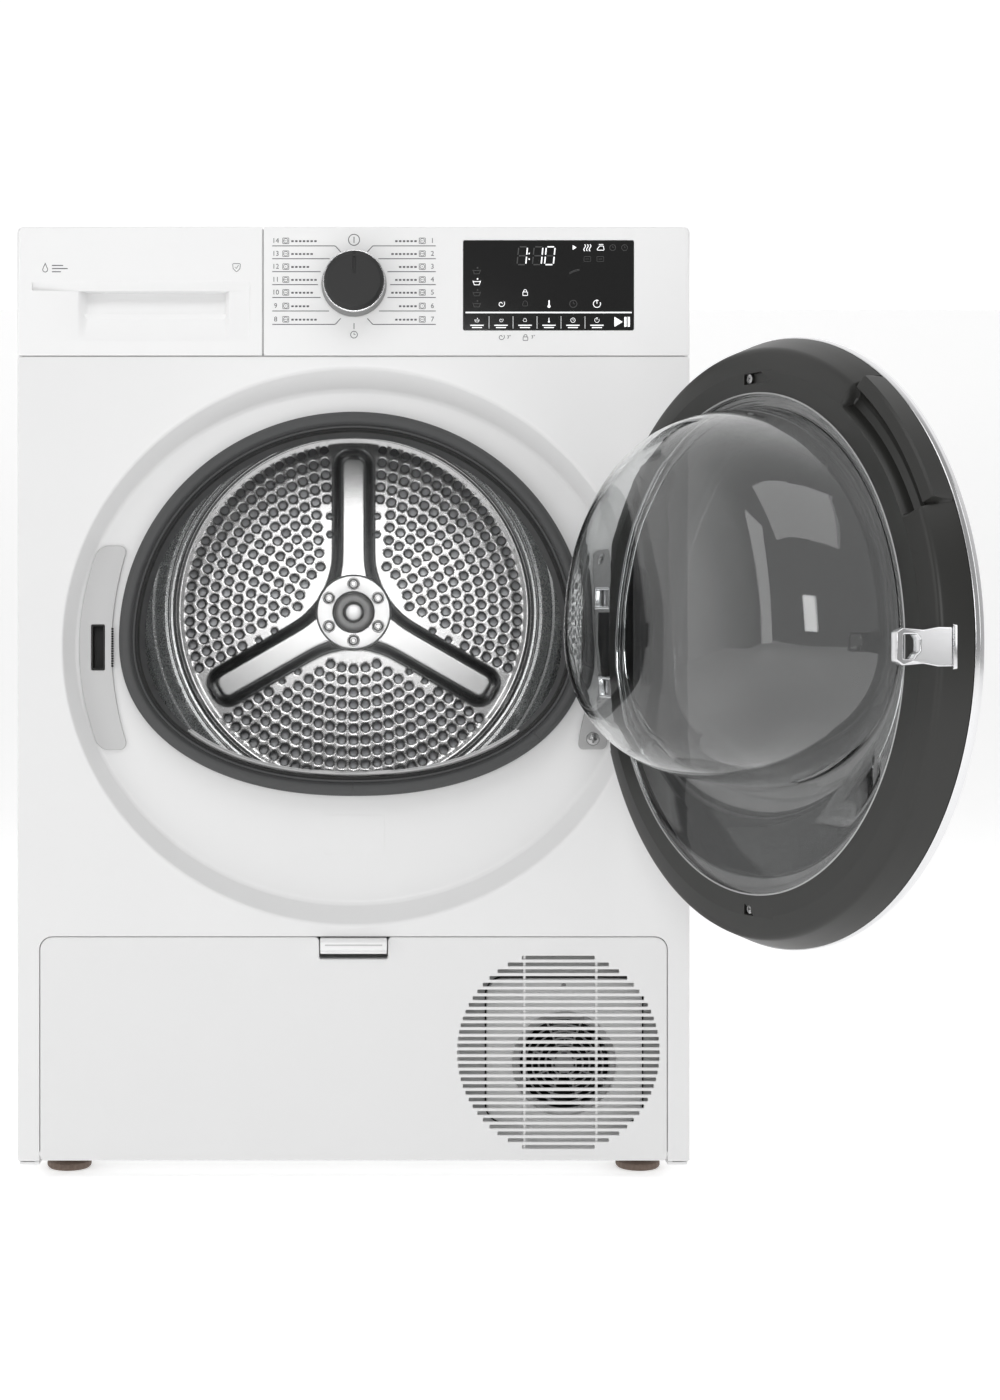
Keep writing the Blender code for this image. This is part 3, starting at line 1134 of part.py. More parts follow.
def hook_centre():
    slot_x, slot_z = latch_slot()
    return (slot_x[0] + slot_x[1]) / 2, (slot_z[0] + slot_z[1]) / 2


def make_latch_hook():
    """The hook: a stem with a window that the catch falls into, on a foot inside the frame."""
    x, z = hook_centre()
    half_x, half_z = 0.0042, 0.0130
    foot = box("door_latch_hook", (x - 0.0055, x + 0.0055), (FRONT - 0.0150, FRONT - 0.0120),
               (z - 0.0160, z + 0.0160), CHROME)
    root, tip, slant = FRONT - 0.0130, FRONT + HOOK_REACH, 0.0012
    side = [(x - half_x, root), (x + half_x, root), (x + half_x, tip), (x - half_x + slant, tip),
            (x - half_x, tip - 0.0100)]
    stem = prism("stem", side, "Z", z - half_z, z + half_z)
    cut(stem, box("window", (x - 0.02, x + 0.02), (tip - 0.0170, tip - 0.0045), (z - 0.0080, z + 0.0080)))
    return hang_on_door(join(foot, stem))


def make_door_bowl():
    """Clear bowl on a round flange: the opening's outline shrinking towards the drum."""
    steps = SEAL_STEPS
    plane = DOOR_RING_PLANE - 0.0010
    centre = (0, OPENING_Z + 0.028)
    base = opening_outline(BOWL_MARGIN, steps)
    rim = DOOR_RING_IN - 0.0006

    def ring(share, depth):
        outline = [(centre[0] + (u - centre[0]) * share, centre[1] + (v - centre[1]) * share)
                   for u, v in base]
        return at_depth(outline, depth)

    curve = [(1.0, 0.0), (0.985, 0.22), (0.955, 0.46), (0.895, 0.68), (0.78, 0.86), (0.56, 0.965),
             (0.28, 1.0)]
    outside = [ring(share, plane + depth * BOWL_DEPTH) for share, depth in curve]
    wall = GLASS / OPENING_HALF_WIDTH
    inside = [ring(share - wall, plane - GLASS + depth * BOWL_DEPTH) for share, depth in reversed(curve)]
    flange = ellipse_outline(rim, rim, DOOR_Z, steps)
    loops = outside[::-1] + [at_depth(flange, plane), at_depth(flange, plane - GLASS)] + inside[::-1]
    poles = [(centre[0], FRONT + plane + BOWL_DEPTH * 1.003, centre[1]),
             (centre[0], FRONT + plane - GLASS + BOWL_DEPTH * 1.003, centre[1])]
    return hang_on_door(loft("door_bowl", loops, GLASS_CLEAR, poles=poles))


def make_hinge_bracket():
    """The door's half of the hinge: a plate inside the frame and a knuckle at each arm."""
    axis_y = FRONT - HINGE_OUT
    plate = box("hinge_bracket", (0.1990, 0.2065), (axis_y + 0.0045, axis_y + 0.0120),
                (DOOR_Z - 0.060, DOOR_Z + 0.060), ZINC)
    for centre in arm_heights():
        low, high = centre - KNUCKLE_LENGTH / 2, centre + KNUCKLE_LENGTH / 2
        knuckle = cylinder("knuckle", (HINGE_X, axis_y), KNUCKLE_RADIUS, low, high, ROUND_SMALL, axis="Z")
        web = prism("web", [(0.2055, axis_y + 0.0050), (0.2055, axis_y + 0.0110), (HINGE_X, axis_y + 0.0052),
                            (HINGE_X, axis_y - 0.0010)], "Z", low + 0.0005, high - 0.0005)
        join(plate, knuckle, web)
    cut(plate, cylinder("bore", (HINGE_X, axis_y), PIN_RADIUS + RUN, DOOR_Z - 0.1, DOOR_Z + 0.1,
                        ROUND_SMALL, axis="Z"))
    return hang_on_door(plate)


def make_hinge_pin():
    reach = KNUCKLE_OFFSET + KNUCKLE_LENGTH / 2 + LUG + 0.004
    pin = cylinder("hinge_pin", (HINGE_X, FRONT - HINGE_OUT), PIN_RADIUS, DOOR_Z - reach, DOOR_Z + reach,
                   ROUND_SMALL, ZINC, axis="Z")
    return hang_on_door(pin)


# ---- assembly ---------------------------------------------------------------------------------------
def build_cabinet():
    add_idler_post(make_base_tray())
    make_side_panel("left_side_panel", -1)
    make_side_panel("right_side_panel", 1)
    make_back_panel()
    make_mains_inlet()
    make_worktop()
    make_front_panel()
    make_latch_cover()
    make_door_lock()
    make_door_catch()
    make_hinge_plate()
    upper, lower = hinge_screw_heights()
    make_hinge_screw("hinge_screw_upper", upper)
    make_hinge_screw("hinge_screw_lower", lower)
    make_door_seal()
    make_front_bulkhead()
    make_lint_filter()
    make_rear_bulkhead()
    make_drum_bearing()
    for where, (x, y) in foot_places().items():
        make_foot("foot_" + where, x, y)


def build_controls():
    make_control_fascia()
    make_display_window()
    make_control_board()
    make_selector_knob()
    make_tank_front()
    make_water_tank()


def build_service_bay():
    make_kick_plate()
    make_kick_latch()
    make_service_front()
    make_exchanger_cover()
    for side, (x, z) in lever_places().items():
        make_cover_lever("cover_lever_" + side, x, z)
    make_fan_guard()
    make_cooling_fan()
    make_compressor()
    make_heat_exchanger()


def build_drum():
    make_drum_shell()
    make_back_plate()
    make_drum_hub()
    for k, turn in enumerate((90, 210, 330)):
        make_paddle("drum_paddle_%d" % (k + 1), turn)
    make_motor()
    make_motor_shaft()
    make_process_fan()
    make_fan_scroll()
    make_drive_belt()
    make_idler_arm()
    make_idler_pulley()
    for side, (x, z) in zip(("left", "right"), roller_places()):
        make_support_roller("support_roller_" + side, x, z)


def build_door():
    make_door_rim()
    make_outer_panel()
    make_inner_frame()
    make_latch_hook()
    make_door_bowl()
    make_hinge_bracket()
    make_hinge_pin()


build_cabinet()
build_controls()
build_service_bay()
build_drum()
build_door()
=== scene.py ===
# Clothes dryer with its round door open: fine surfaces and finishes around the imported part.
import bmesh
import bpy
import numpy as np
from math import atan2, cos, pi, radians, sin, sqrt
from mathutils import Matrix, Vector
from mathutils.geometry import delaunay_2d_cdt


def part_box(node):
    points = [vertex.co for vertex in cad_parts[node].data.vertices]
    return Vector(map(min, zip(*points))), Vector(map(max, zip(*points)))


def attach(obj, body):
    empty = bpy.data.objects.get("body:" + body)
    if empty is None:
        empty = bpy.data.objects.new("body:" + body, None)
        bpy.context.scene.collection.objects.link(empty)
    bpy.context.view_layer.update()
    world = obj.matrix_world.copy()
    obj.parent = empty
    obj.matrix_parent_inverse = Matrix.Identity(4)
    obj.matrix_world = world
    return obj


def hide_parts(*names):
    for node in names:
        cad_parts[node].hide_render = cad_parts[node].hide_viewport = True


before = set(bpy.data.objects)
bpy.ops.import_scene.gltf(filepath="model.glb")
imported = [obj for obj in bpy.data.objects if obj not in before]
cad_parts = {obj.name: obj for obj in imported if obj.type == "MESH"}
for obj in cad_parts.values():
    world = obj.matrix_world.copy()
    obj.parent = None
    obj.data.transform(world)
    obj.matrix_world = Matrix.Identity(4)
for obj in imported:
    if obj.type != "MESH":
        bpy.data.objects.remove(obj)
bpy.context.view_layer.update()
print("stage: the packed part is loaded")

mm = 0.001
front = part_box("front_panel")[0].y        # plane of the cabinet's front
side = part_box("front_panel")[1].x         # half the cabinet's width
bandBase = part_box("control_fascia")[0].z  # underside of the fascia and of the drawer's front
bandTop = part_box("control_fascia")[1].z


# camera and light
cameraSizes = {"eye": (0.0, -2.240, 0.458), "lens": 57.2, "shift": (0.1046, -0.0357)}
lightSizes = {
    "overhead": {"place": (0.0, -1.9, 2.9), "size": (3.2, 1.6), "power": 26.0},
    "left": {"place": (-2.5, -1.7, 1.3), "size": (0.9, 2.4), "power": 13.0},
    "right": {"place": (2.7, -1.5, 1.5), "size": (0.8, 2.2), "power": 8.0},
    "drumFill": {"place": (0.0, -2.3, 0.75), "size": (0.5, 0.5), "power": 5.0},
}


def setCamera():
    # a level long lens, shifted sideways so that uprights stay upright
    lens = bpy.data.cameras.new("camera")
    lens.lens, lens.sensor_width = cameraSizes["lens"], 36.0
    lens.shift_x, lens.shift_y = cameraSizes["shift"]
    camera = bpy.data.objects.new("camera", lens)
    camera.location = cameraSizes["eye"]
    camera.rotation_euler = (pi / 2, 0, 0)
    bpy.context.collection.objects.link(camera)
    bpy.context.scene.camera = camera


def setLights():
    # each lamp is a rectangle turned towards the middle of the front
    target = Vector((0, front, 0.42))
    for name, sizes in lightSizes.items():
        light = bpy.data.lights.new(name, "AREA")
        light.shape = "RECTANGLE"
        light.size, light.size_y = sizes["size"]
        light.energy = sizes["power"]
        lamp = bpy.data.objects.new(name, light)
        lamp.location = sizes["place"]
        lamp.rotation_euler = (target - Vector(sizes["place"])).to_track_quat("-Z", "Y").to_euler()
        bpy.context.collection.objects.link(lamp)


def setRoom():
    # bright backdrop behind the object, a dimmer room in front of it, dimmer still below
    world = bpy.data.worlds.new("room")
    bpy.context.scene.world = world
    world.use_nodes = True
    tree = world.node_tree
    place = tree.nodes.new("ShaderNodeTexCoord")
    split = tree.nodes.new("ShaderNodeSeparateXYZ")
    ramp = tree.nodes.new("ShaderNodeMapRange")
    ramp.interpolation_type = "SMOOTHSTEP"
    ramp.inputs["From Min"].default_value, ramp.inputs["From Max"].default_value = -0.2, 0.55
    ramp.inputs["To Min"].default_value, ramp.inputs["To Max"].default_value = 0.36, 1.06
    tree.links.new(place.outputs["Generated"], split.inputs[0])
    tree.links.new(split.outputs["Y"], ramp.inputs["Value"])
    tree.links.new(ramp.outputs["Result"], tree.nodes["Background"].inputs["Strength"])
    tree.nodes["Background"].inputs["Color"].default_value = (1, 1, 1, 1)
    bpy.context.scene.view_settings.view_transform = "Standard"


def makeFinish(name, colour, roughness, metallic=0.0, grain=900.0, dent=0.010, tint=0.03,
               roughSpread=0.06, stretch=(1, 1, 1), sockets=None):
    # a broad cloud tints the colour, a fine grain moves the roughness and dents the surface
    made = bpy.data.materials.new(name)
    made.use_nodes = True
    tree = made.node_tree
    shader = tree.nodes["Principled BSDF"]
    shader.inputs["Metallic"].default_value = metallic
    for socket, value in (sockets or {}).items():
        shader.inputs[socket].default_value = value
    place = tree.nodes.new("ShaderNodeTexCoord")
    mapping = tree.nodes.new("ShaderNodeMapping")
    mapping.inputs["Scale"].default_value = stretch
    cloud = tree.nodes.new("ShaderNodeTexNoise")
    cloud.inputs["Scale"].default_value = 9.0
    cloud.inputs["Detail"].default_value = 4.0
    fine = tree.nodes.new("ShaderNodeTexNoise")
    fine.inputs["Scale"].default_value = grain
    fine.inputs["Detail"].default_value = 3.0
    blend = tree.nodes.new("ShaderNodeMix")
    blend.data_type = "RGBA"
    low, high = [tuple(min(1.0, c * (1 + s * tint)) for c in colour) + (1.0,) for s in (-1, 1)]
    blend.inputs["A"].default_value, blend.inputs["B"].default_value = low, high
    rough = tree.nodes.new("ShaderNodeMapRange")
    rough.inputs["To Min"].default_value = max(0.0, roughness - roughSpread)
    rough.inputs["To Max"].default_value = min(1.0, roughness + roughSpread)
    bump = tree.nodes.new("ShaderNodeBump")
    bump.inputs["Strength"].default_value = 0.6
    bump.inputs["Distance"].default_value = dent * mm
    link = tree.links.new
    link(place.outputs["Object"], mapping.inputs["Vector"])
    link(mapping.outputs["Vector"], cloud.inputs["Vector"])
    link(mapping.outputs["Vector"], fine.inputs["Vector"])
    link(cloud.outputs["Fac"], blend.inputs["Factor"])
    link(blend.outputs["Result"], shader.inputs["Base Color"])
    link(fine.outputs["Fac"], rough.inputs["Value"])
    link(rough.outputs["Result"], shader.inputs["Roughness"])
    link(fine.outputs["Fac"], bump.inputs["Height"])
    link(bump.outputs["Normal"], shader.inputs["Normal"])
    return made


def glow(colour, strength):
    # the emission sockets of a finish that gives light
    return {"Emission Color": (*colour, 1.0), "Emission Strength": strength}


whitePaint = makeFinish("whitePaint", (0.80, 0.80, 0.80), 0.34, grain=420, dent=0.012,
                        tint=0.012, sockets={"Coat Weight": 0.25, "Coat Roughness": 0.18})
fasciaWhite = makeFinish("fasciaWhite", (0.86, 0.86, 0.86), 0.38, grain=700,
                         dent=0.008, tint=0.01)
mouldedWhite = makeFinish("mouldedWhite", (0.80, 0.80, 0.80), 0.42, grain=1100,
                          dent=0.014, tint=0.015)
filterWhite = makeFinish("filterWhite", (0.80, 0.80, 0.80), 0.5, grain=1400, tint=0.03)
coverGrey = makeFinish("coverGrey", (0.56, 0.56, 0.56), 0.46, grain=1300,
                       dent=0.016, tint=0.02)
hingeGrey = makeFinish("hingeGrey", (0.40, 0.40, 0.40), 0.42, grain=800, tint=0.03)
sealRubber = makeFinish("sealRubber", (0.062, 0.063, 0.064), 0.62, grain=1500,
                        dent=0.02, tint=0.10)
blackMould = makeFinish("blackMould", (0.013, 0.013, 0.012), 0.42, grain=1600,
                        dent=0.012, tint=0.10, roughSpread=0.05)
knobBlack = makeFinish("knobBlack", (0.011, 0.011, 0.011), 0.48, grain=1800,
                       dent=0.01, tint=0.08)
# gapBlack is near black; in the seal's inner band, the worktop seam, the fan guard's ring and the filter's
# finger slots it is painted shade
gapBlack = makeFinish("gapBlack", (0.004, 0.004, 0.004), 0.6, tint=0.2)
windowBlack = makeFinish("windowBlack", (0.006, 0.006, 0.006), 0.10, grain=300,
                         dent=0.001, tint=0.1, roughSpread=0.02)
smokedGlass = makeFinish("smokedGlass", (0.02, 0.02, 0.02), 0.06, grain=200, dent=0.001,
                         tint=0.1, roughSpread=0.02, sockets={"Alpha": 0.70})
drumSteel = makeFinish("drumSteel", (0.56, 0.57, 0.57), 0.27, 1.0, grain=650,
                       dent=0.012, tint=0.05, roughSpread=0.07)
plateSteel = makeFinish("plateSteel", (0.50, 0.50, 0.50), 0.25, 1.0, grain=900,
                        dent=0.008, tint=0.05, roughSpread=0.06)
zincSteel = makeFinish("zincSteel", (0.52, 0.53, 0.54), 0.38, 1.0, grain=60, dent=0.01,
                       tint=0.16, roughSpread=0.12)
brightMetal = makeFinish("brightMetal", (0.74, 0.74, 0.75), 0.16, 1.0, grain=400,
                         dent=0.003, tint=0.03, roughSpread=0.04)
clearGlass = makeFinish("clearGlass", (0.93, 0.94, 0.94), 0.015, grain=60, dent=0.002,
                        tint=0.01, roughSpread=0.01, sockets={"Transmission Weight": 1.0, "IOR": 1.47})
motorGrey = makeFinish("motorGrey", (0.25, 0.26, 0.28), 0.5, 0.6, grain=300, tint=0.10)
compressorBlack = makeFinish("compressorBlack", (0.02, 0.02, 0.02), 0.35,
                             grain=350, dent=0.03, tint=0.15)
boardGreen = makeFinish("boardGreen", (0.03, 0.18, 0.07), 0.45, grain=500, tint=0.2,
                        stretch=(1, 1, 3))
hubAluminium = makeFinish("hubAluminium", (0.70, 0.70, 0.70), 0.34, 1.0, grain=800,
                          dent=0.012, tint=0.04, roughSpread=0.08)
finAluminium = makeFinish("finAluminium", (0.70, 0.71, 0.72), 0.35, 1.0, grain=500,
                          tint=0.08, stretch=(6, 1, 1))
inkGrey = makeFinish("inkGrey", (0.10, 0.10, 0.105), 0.55, grain=1200, tint=0.05)
litWhite = makeFinish("litWhite", (0.85, 0.85, 0.85), 0.5, grain=1200, tint=0.02,
                      sockets=glow((0.95, 0.97, 1.0), 0.55))
dimGrey = makeFinish("dimGrey", (0.05, 0.05, 0.05), 0.5, grain=1200, tint=0.05)
footBrown = makeFinish("footBrown", (0.16, 0.115, 0.09), 0.6, grain=900, dent=0.02,
                       tint=0.10)


# outlines
def roundCorners(points, radii, steps=6, closed=True):
    # each corner becomes an arc that is tangent to both of its sides
    points = np.asarray(points, float)
    count = len(points)
    radii = np.broadcast_to(np.asarray(radii, float), count)
    turned = []
    for k in range(count):
        if not closed and k in (0, count - 1):
            turned.append(points[k][None])
            continue
        before = points[k - 1] - points[k]
        after = points[(k + 1) % count] - points[k]
        near, far = np.linalg.norm(before), np.linalg.norm(after)
        before, after = before / near, after / far
        half = np.arccos(np.clip(before @ after, -1, 1)) / 2
        if radii[k] <= 0 or half > pi / 2 - 0.01:
            turned.append(points[k][None])
            continue
        reach = min(radii[k] / np.tan(half), near * 0.499, far * 0.499)
        radius = reach * np.tan(half)
        middle = before + after
        centre = points[k] + middle / np.linalg.norm(middle) * radius / np.sin(half)
        start, end = points[k] + before * reach - centre, points[k] + after * reach - centre
        span = np.arccos(np.clip(start @ end / radius ** 2, -1, 1))
        share = np.linspace(0, 1, steps + 1)[:, None]
        arc = (np.sin((1 - share) * span) * start + np.sin(share * span) * end) / np.sin(span)
        turned.append(centre + arc)
    return np.vstack(turned)


def boxOutline(x, z, radius=0.0, steps=6):
    # a rectangle between two pairs of sides, with every corner an arc
    return roundCorners([(x[0], z[0]), (x[1], z[0]), (x[1], z[1]), (x[0], z[1])], radius, steps)


def circleOutline(centre, radius, steps=64, start=0.0):
    # points at equal angles round a centre
    turn = start + np.arange(steps) * 2 * pi / steps
    return np.stack([centre[0] + radius * np.cos(turn), centre[1] + radius * np.sin(turn)], 1)


def ellipseOutline(half, centreZ, turn):
    # half the width times the cosine and half the height times the sine of each angle
    return np.stack([half[0] * np.cos(turn), centreZ + half[1] * np.sin(turn)], 1)


def isCounterClockwise(loop):
    # the sum of the cross products of neighbouring points is positive
    nextOnes = np.roll(loop, -1, 0)
    return np.sum(loop[:, 0] * nextOnes[:, 1] - nextOnes[:, 0] * loop[:, 1]) > 0


def grown(loop, distance):
    # each point moves along the outline's outward normal, mitred at corners
    ahead = np.roll(loop, -1, 0) - loop
    ahead /= np.maximum(np.linalg.norm(ahead, axis=1), 1e-12)[:, None]
    behind = np.roll(ahead, 1, 0)
    normal = np.stack([ahead[:, 1] + behind[:, 1], -ahead[:, 0] - behind[:, 0]], 1)
    length = np.maximum(np.sum(normal ** 2, 1), 0.5)
    normal = normal * (2 / length)[:, None]
    if not isCounterClockwise(loop):
        normal = -normal
    return loop + normal * np.asarray(distance, float).reshape(-1, 1)


openingSizes = {"z": 0.467, "half": 0.2097, "up": 0.204, "down": 0.1396, "power": 2.2}


def openingOutline(margin, turn):
    # half an ellipse above, half a superellipse below, both set in by margin
    half, up, down, power = [openingSizes[key] for key in ("half", "up", "down", "power")]
    c, s = np.cos(turn), np.sin(turn)
    above = s >= 0
    width = half - margin
    x = np.where(above, width * c, width * np.sign(c) * np.abs(c) ** (2 / power))
    z = np.where(above, (up - margin) * s, -(down - margin) * np.abs(s) ** (2 / power))
    return np.stack([x, openingSizes["z"] + z], 1)


# surfaces: each patch is (points, faces, smooth)
def lift(flat, along, axis="Y"):
    # a flat outline gets its place along one axis as a third coordinate
    flat = np.asarray(flat, float)
    along = np.broadcast_to(np.asarray(along, float), flat.shape[:-1])
    u, v = flat[..., 0], flat[..., 1]
    return np.stack({"X": (along, u, v), "Y": (u, along, v), "Z": (u, v, along)}[axis], -1)


def gridPatch(points, wrapRows=False, wrapColumns=True, smooth=True):
    # quads between neighbouring points of a grid of rows and columns
    rows, columns = points.shape[:2]
    ids = np.arange(rows * columns).reshape(rows, columns)
    if wrapRows:
        ids = np.vstack([ids, ids[:1]])
    if wrapColumns:
        ids = np.hstack([ids, ids[:, :1]])
    quads = np.stack([ids[:-1, :-1], ids[1:, :-1], ids[1:, 1:], ids[:-1, 1:]], -1).reshape(-1, 4)
    return points.reshape(-1, 3), quads, smooth


def turnedPatch(profile, centre, axis="Y", steps=192, wrap=True, turns=None):
    # each (radius, place along the axis) of the profile goes round the axis through centre
    turn = np.arange(steps) * 2 * pi / steps if turns is None else turns
    profile = np.asarray(profile, float)
    u = centre[0] + profile[:, :1] * np.cos(turn)
    v = centre[1] + profile[:, :1] * np.sin(turn)
    along = np.repeat(profile[:, 1:], len(turn), 1)
    return gridPatch(lift(np.stack([u, v], -1), along, axis), wrapRows=wrap, wrapColumns=turns is None)


def cappedTurn(profile, centre, axis="Y", steps=128):
    # a solid of revolution whose profile starts and ends on the axis
    profile = np.asarray(profile, float)
    ends = [(0.0, profile[0][1])], [(0.0, profile[-1][1])]
    return turnedPatch(np.vstack([ends[0], profile, ends[1]]), centre, axis, steps, wrap=False)


def isInside(points, loop):
    # even-odd count of the outline's edges to the right of each point
    ahead = np.roll(loop, -1, 0)
    px, pz = points[:, :1], points[:, 1:]
    rises = (loop[:, 1] > pz) != (ahead[:, 1] > pz)
    slope = np.where(ahead[:, 1] == loop[:, 1], 1e-12, ahead[:, 1] - loop[:, 1])
    crossing = loop[:, 0] + (pz - loop[:, 1]) * (ahead[:, 0] - loop[:, 0]) / slope
    return np.sum(rises & (px < crossing), 1) % 2 == 1


def fillTriangles(loops, extra=None):
    # Delaunay triangles inside the first outline and outside the others
    points = np.vstack(list(loops) + ([extra] if extra is not None else []))
    owner = np.concatenate([np.full(len(loop), k) for k, loop in enumerate(loops)]
                           + ([np.full(len(extra), -1)] if extra is not None else []))
    edges, first = [], 0
    for loop in loops:
        ids = np.arange(len(loop)) + first
        edges += np.stack([ids, np.roll(ids, -1)], 1).tolist()
        first += len(loop)
    found = delaunay_2d_cdt([Vector(p) for p in points.tolist()], edges, [], 1, 1e-8)
    flat = np.array([tuple(p) for p in found[0]])
    faces = np.array([tuple(f) for f in found[2]])
    owner = np.array([owner[ids[0]] if ids else -1 for ids in found[3]])
    loopOf = owner[faces]
    keep = np.ones(len(faces), bool)
    middles = flat[faces].mean(1)
    for k in range(1, len(loops)):
        tested = np.flatnonzero(np.all((loopOf == k) | (loopOf == -1), 1))
        keep[tested] &= ~isInside(middles[tested], loops[k])
    return flat, faces[keep]


def fillPatch(loops, along, axis="Y", smooth=False):
    # an outline, less its holes, filled with triangles at one depth
    flat, faces = fillTriangles(loops)
    return lift(flat, along, axis), faces, smooth


def lipRings(loop, lip, frontAt, backAt, isHole=False, steps=4, axis="Y"):
    # a quarter round from the flat face over to the side wall, then straight back
    toward = 1.0 if isHole else -1.0
    lip = np.broadcast_to(np.asarray(lip, float), len(loop))
    away = 1.0 if backAt > frontAt else -1.0
    rows = [lift(grown(loop, toward * lip * 1.3), frontAt, axis)]
    for k in range(steps + 1):
        turn = pi / 2 * k / steps
        rows.append(lift(grown(loop, toward * lip * (1 - sin(turn))), frontAt + away * lip
                         * (1 - cos(turn)), axis))
    rows.append(lift(loop, backAt, axis))
    return np.array(rows)


def platePatches(loops, frontAt, backAt, lip=0.0006, axis="Y", steps=4, backOpen=False):
    # a flat plate with holes; every edge of its front face is rounded
    patches, faceLoops = [], []
    for k, loop in enumerate(loops):
        lips = lip[k] if isinstance(lip, (list, tuple)) else lip
        rings = lipRings(loop, lips, frontAt, backAt, k > 0, steps, axis)
        patches.append(gridPatch(rings))
        keep = {"X": (1, 2), "Y": (0, 2), "Z": (0, 1)}[axis]
        faceLoops.append(rings[0][:, keep])
    patches.append(fillPatch(faceLoops, frontAt, axis))
    if not backOpen:
        patches.append(fillPatch(loops, backAt, axis))
    return patches


def pillowPatches(outline, frontAt, backAt, axis="Y", lip=0.0008, steps=4):
    # a solid plate with both of its faces' edges rounded
    middle = (frontAt + backAt) / 2
    patches = []
    for face in (frontAt, backAt):
        rings = lipRings(outline, lip, face, middle, False, steps, axis)
        keep = {"X": (1, 2), "Y": (0, 2), "Z": (0, 1)}[axis]
        patches += [gridPatch(rings), fillPatch([rings[0][:, keep]], face, axis)]
    return patches


def inkSpot(outline, frontAt, backAt):
    # a printed patch, with its edges barely rounded
    return pillowPatches(outline, frontAt, backAt, lip=0.00002, steps=1)


def middleOf(name):
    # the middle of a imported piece, seen from the front
    low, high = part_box(name)
    return (low.x + high.x) / 2, (low.z + high.z) / 2


def tubePatch(path, radius, sides=10, closed=False):
    # a ring of points square to the path at each of its points
    path = np.asarray(path, float)
    ahead = np.roll(path, -1, 0) - np.roll(path, 1, 0) if closed else np.gradient(path, axis=0)
    ahead /= np.linalg.norm(ahead, axis=1)[:, None]
    helper = np.array([0.0, 1.0, 0.0]) if abs(ahead[:, 1]).max() < 0.9 else np.array([0.0, 0.0, 1.0])
    across = np.cross(ahead, helper)
    across /= np.linalg.norm(across, axis=1)[:, None]
    upward = np.cross(across, ahead)
    turn = np.arange(sides) * 2 * pi / sides
    ring = across[:, None] * np.cos(turn)[None, :, None] + upward[:, None] * np.sin(turn)[None, :, None]
    rings = path[:, None] + ring * radius
    if not closed:
        rings = np.concatenate([path[:1, None].repeat(sides, 1), rings, path[-1:, None].repeat(sides, 1)])
    return gridPatch(rings, wrapRows=closed)


def strokePatches(path, width, frontAt, backAt, closed=False):
    # a thin flat ribbon along a path in the plane of the front
    path = np.asarray(path, float)
    if closed:
        return platePatches([grown(path, width / 2), grown(path, -width / 2)], frontAt, backAt, 0.00002,
                            steps=1)
    ahead = np.gradient(path, axis=0)
    ahead /= np.linalg.norm(ahead, axis=1)[:, None]
    across = np.stack([-ahead[:, 1], ahead[:, 0]], 1) * width / 2
    loop = np.vstack([path + across, (path - across)[::-1]])
    return [gridPatch(np.array([lift(loop, frontAt), lift(loop, backAt)]), smooth=False),
            fillPatch([loop], frontAt), fillPatch([loop], backAt)]


def moved(patches, matrix):
    # every point of the patches under one matrix
    matrix = np.array(matrix)
    return [(points @ matrix[:3, :3].T + matrix[:3, 3], faces, smooth) for points, faces, smooth in patches]


def addPiece(name, patches, finish, body="root", replaces=(), angle=32, near=2e-6):
    # the patches welded into one mesh that rides a body; edges over the angle stay sharp
    counts = np.cumsum([0] + [len(patch[0]) for patch in patches])
    points = np.vstack([patch[0] for patch in patches])
    faces, smooth = [], []
    for start, (_, ids, isSmooth) in zip(counts, patches):
        faces += (ids + start).tolist()
        smooth += [isSmooth] * len(ids)
    mesh = bpy.data.meshes.new(name)
    mesh.from_pydata(points.tolist(), [], faces)
    mesh.polygons.foreach_set("use_smooth", smooth)
    shape = bmesh.new()
    shape.from_mesh(mesh)
    bmesh.ops.remove_doubles(shape, verts=shape.verts, dist=near)
    bmesh.ops.dissolve_degenerate(shape, edges=shape.edges, dist=1e-7)
    bmesh.ops.recalc_face_normals(shape, faces=shape.faces)
    shape.to_mesh(mesh)
    shape.free()
    flags = np.zeros(len(mesh.polygons), bool)
    mesh.polygons.foreach_get("use_smooth", flags)
    mesh.set_sharp_from_angle(angle=radians(angle))
    mesh.polygons.foreach_set("use_smooth", flags)
    mesh.materials.append(finish)
    piece = bpy.data.objects.new(name, mesh)
    bpy.context.collection.objects.link(piece)
    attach(piece, body)
    if replaces:
        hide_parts(*replaces)
    return piece


# cabinet
panelSizes = {
    "sideRound": 0.0036, "seamRound": 0.0011, "kickRound": 0.0007, "flange": 0.0150,
    "recessZ": 0.4607, "mouth": (0.2585, 0.2473), "floor": (0.2490, 0.2305), "depth": 0.0200,
    "shoulder": 0.0060, "slopeWide": 0.0130, "sheet": 0.0015, "hole": 0.0060,
    "kickHalf": 0.2790, "kickTop": 0.2036, "kickCorner": 0.0116, "steps": 288,
}
slotSizes = {"x": (-0.2352, -0.2228), "z": (0.4397, 0.4809)}
windowSizes = {"x": (0.2165, 0.2285), "z": (0.4310, 0.4920)}
plateFace = front + panelSizes["depth"] - 0.0024       # face of the latch cover and of the hinge plate


def roundAtSides(loop, seam, wide, edge):
    # the edge's rounding grows from the seam's to the cabinet corner's over the last few millimetres
    share = np.clip((np.abs(loop[:, 0]) - (edge - 0.008)) / 0.006, 0, 1)
    inward = np.minimum(loop[:, 1] - loop[:, 1].min(), loop[:, 1].max() - loop[:, 1])
    share = share * np.clip((inward - 0.002) / 0.006, 0, 1)
    return seam + (wide - seam) * share


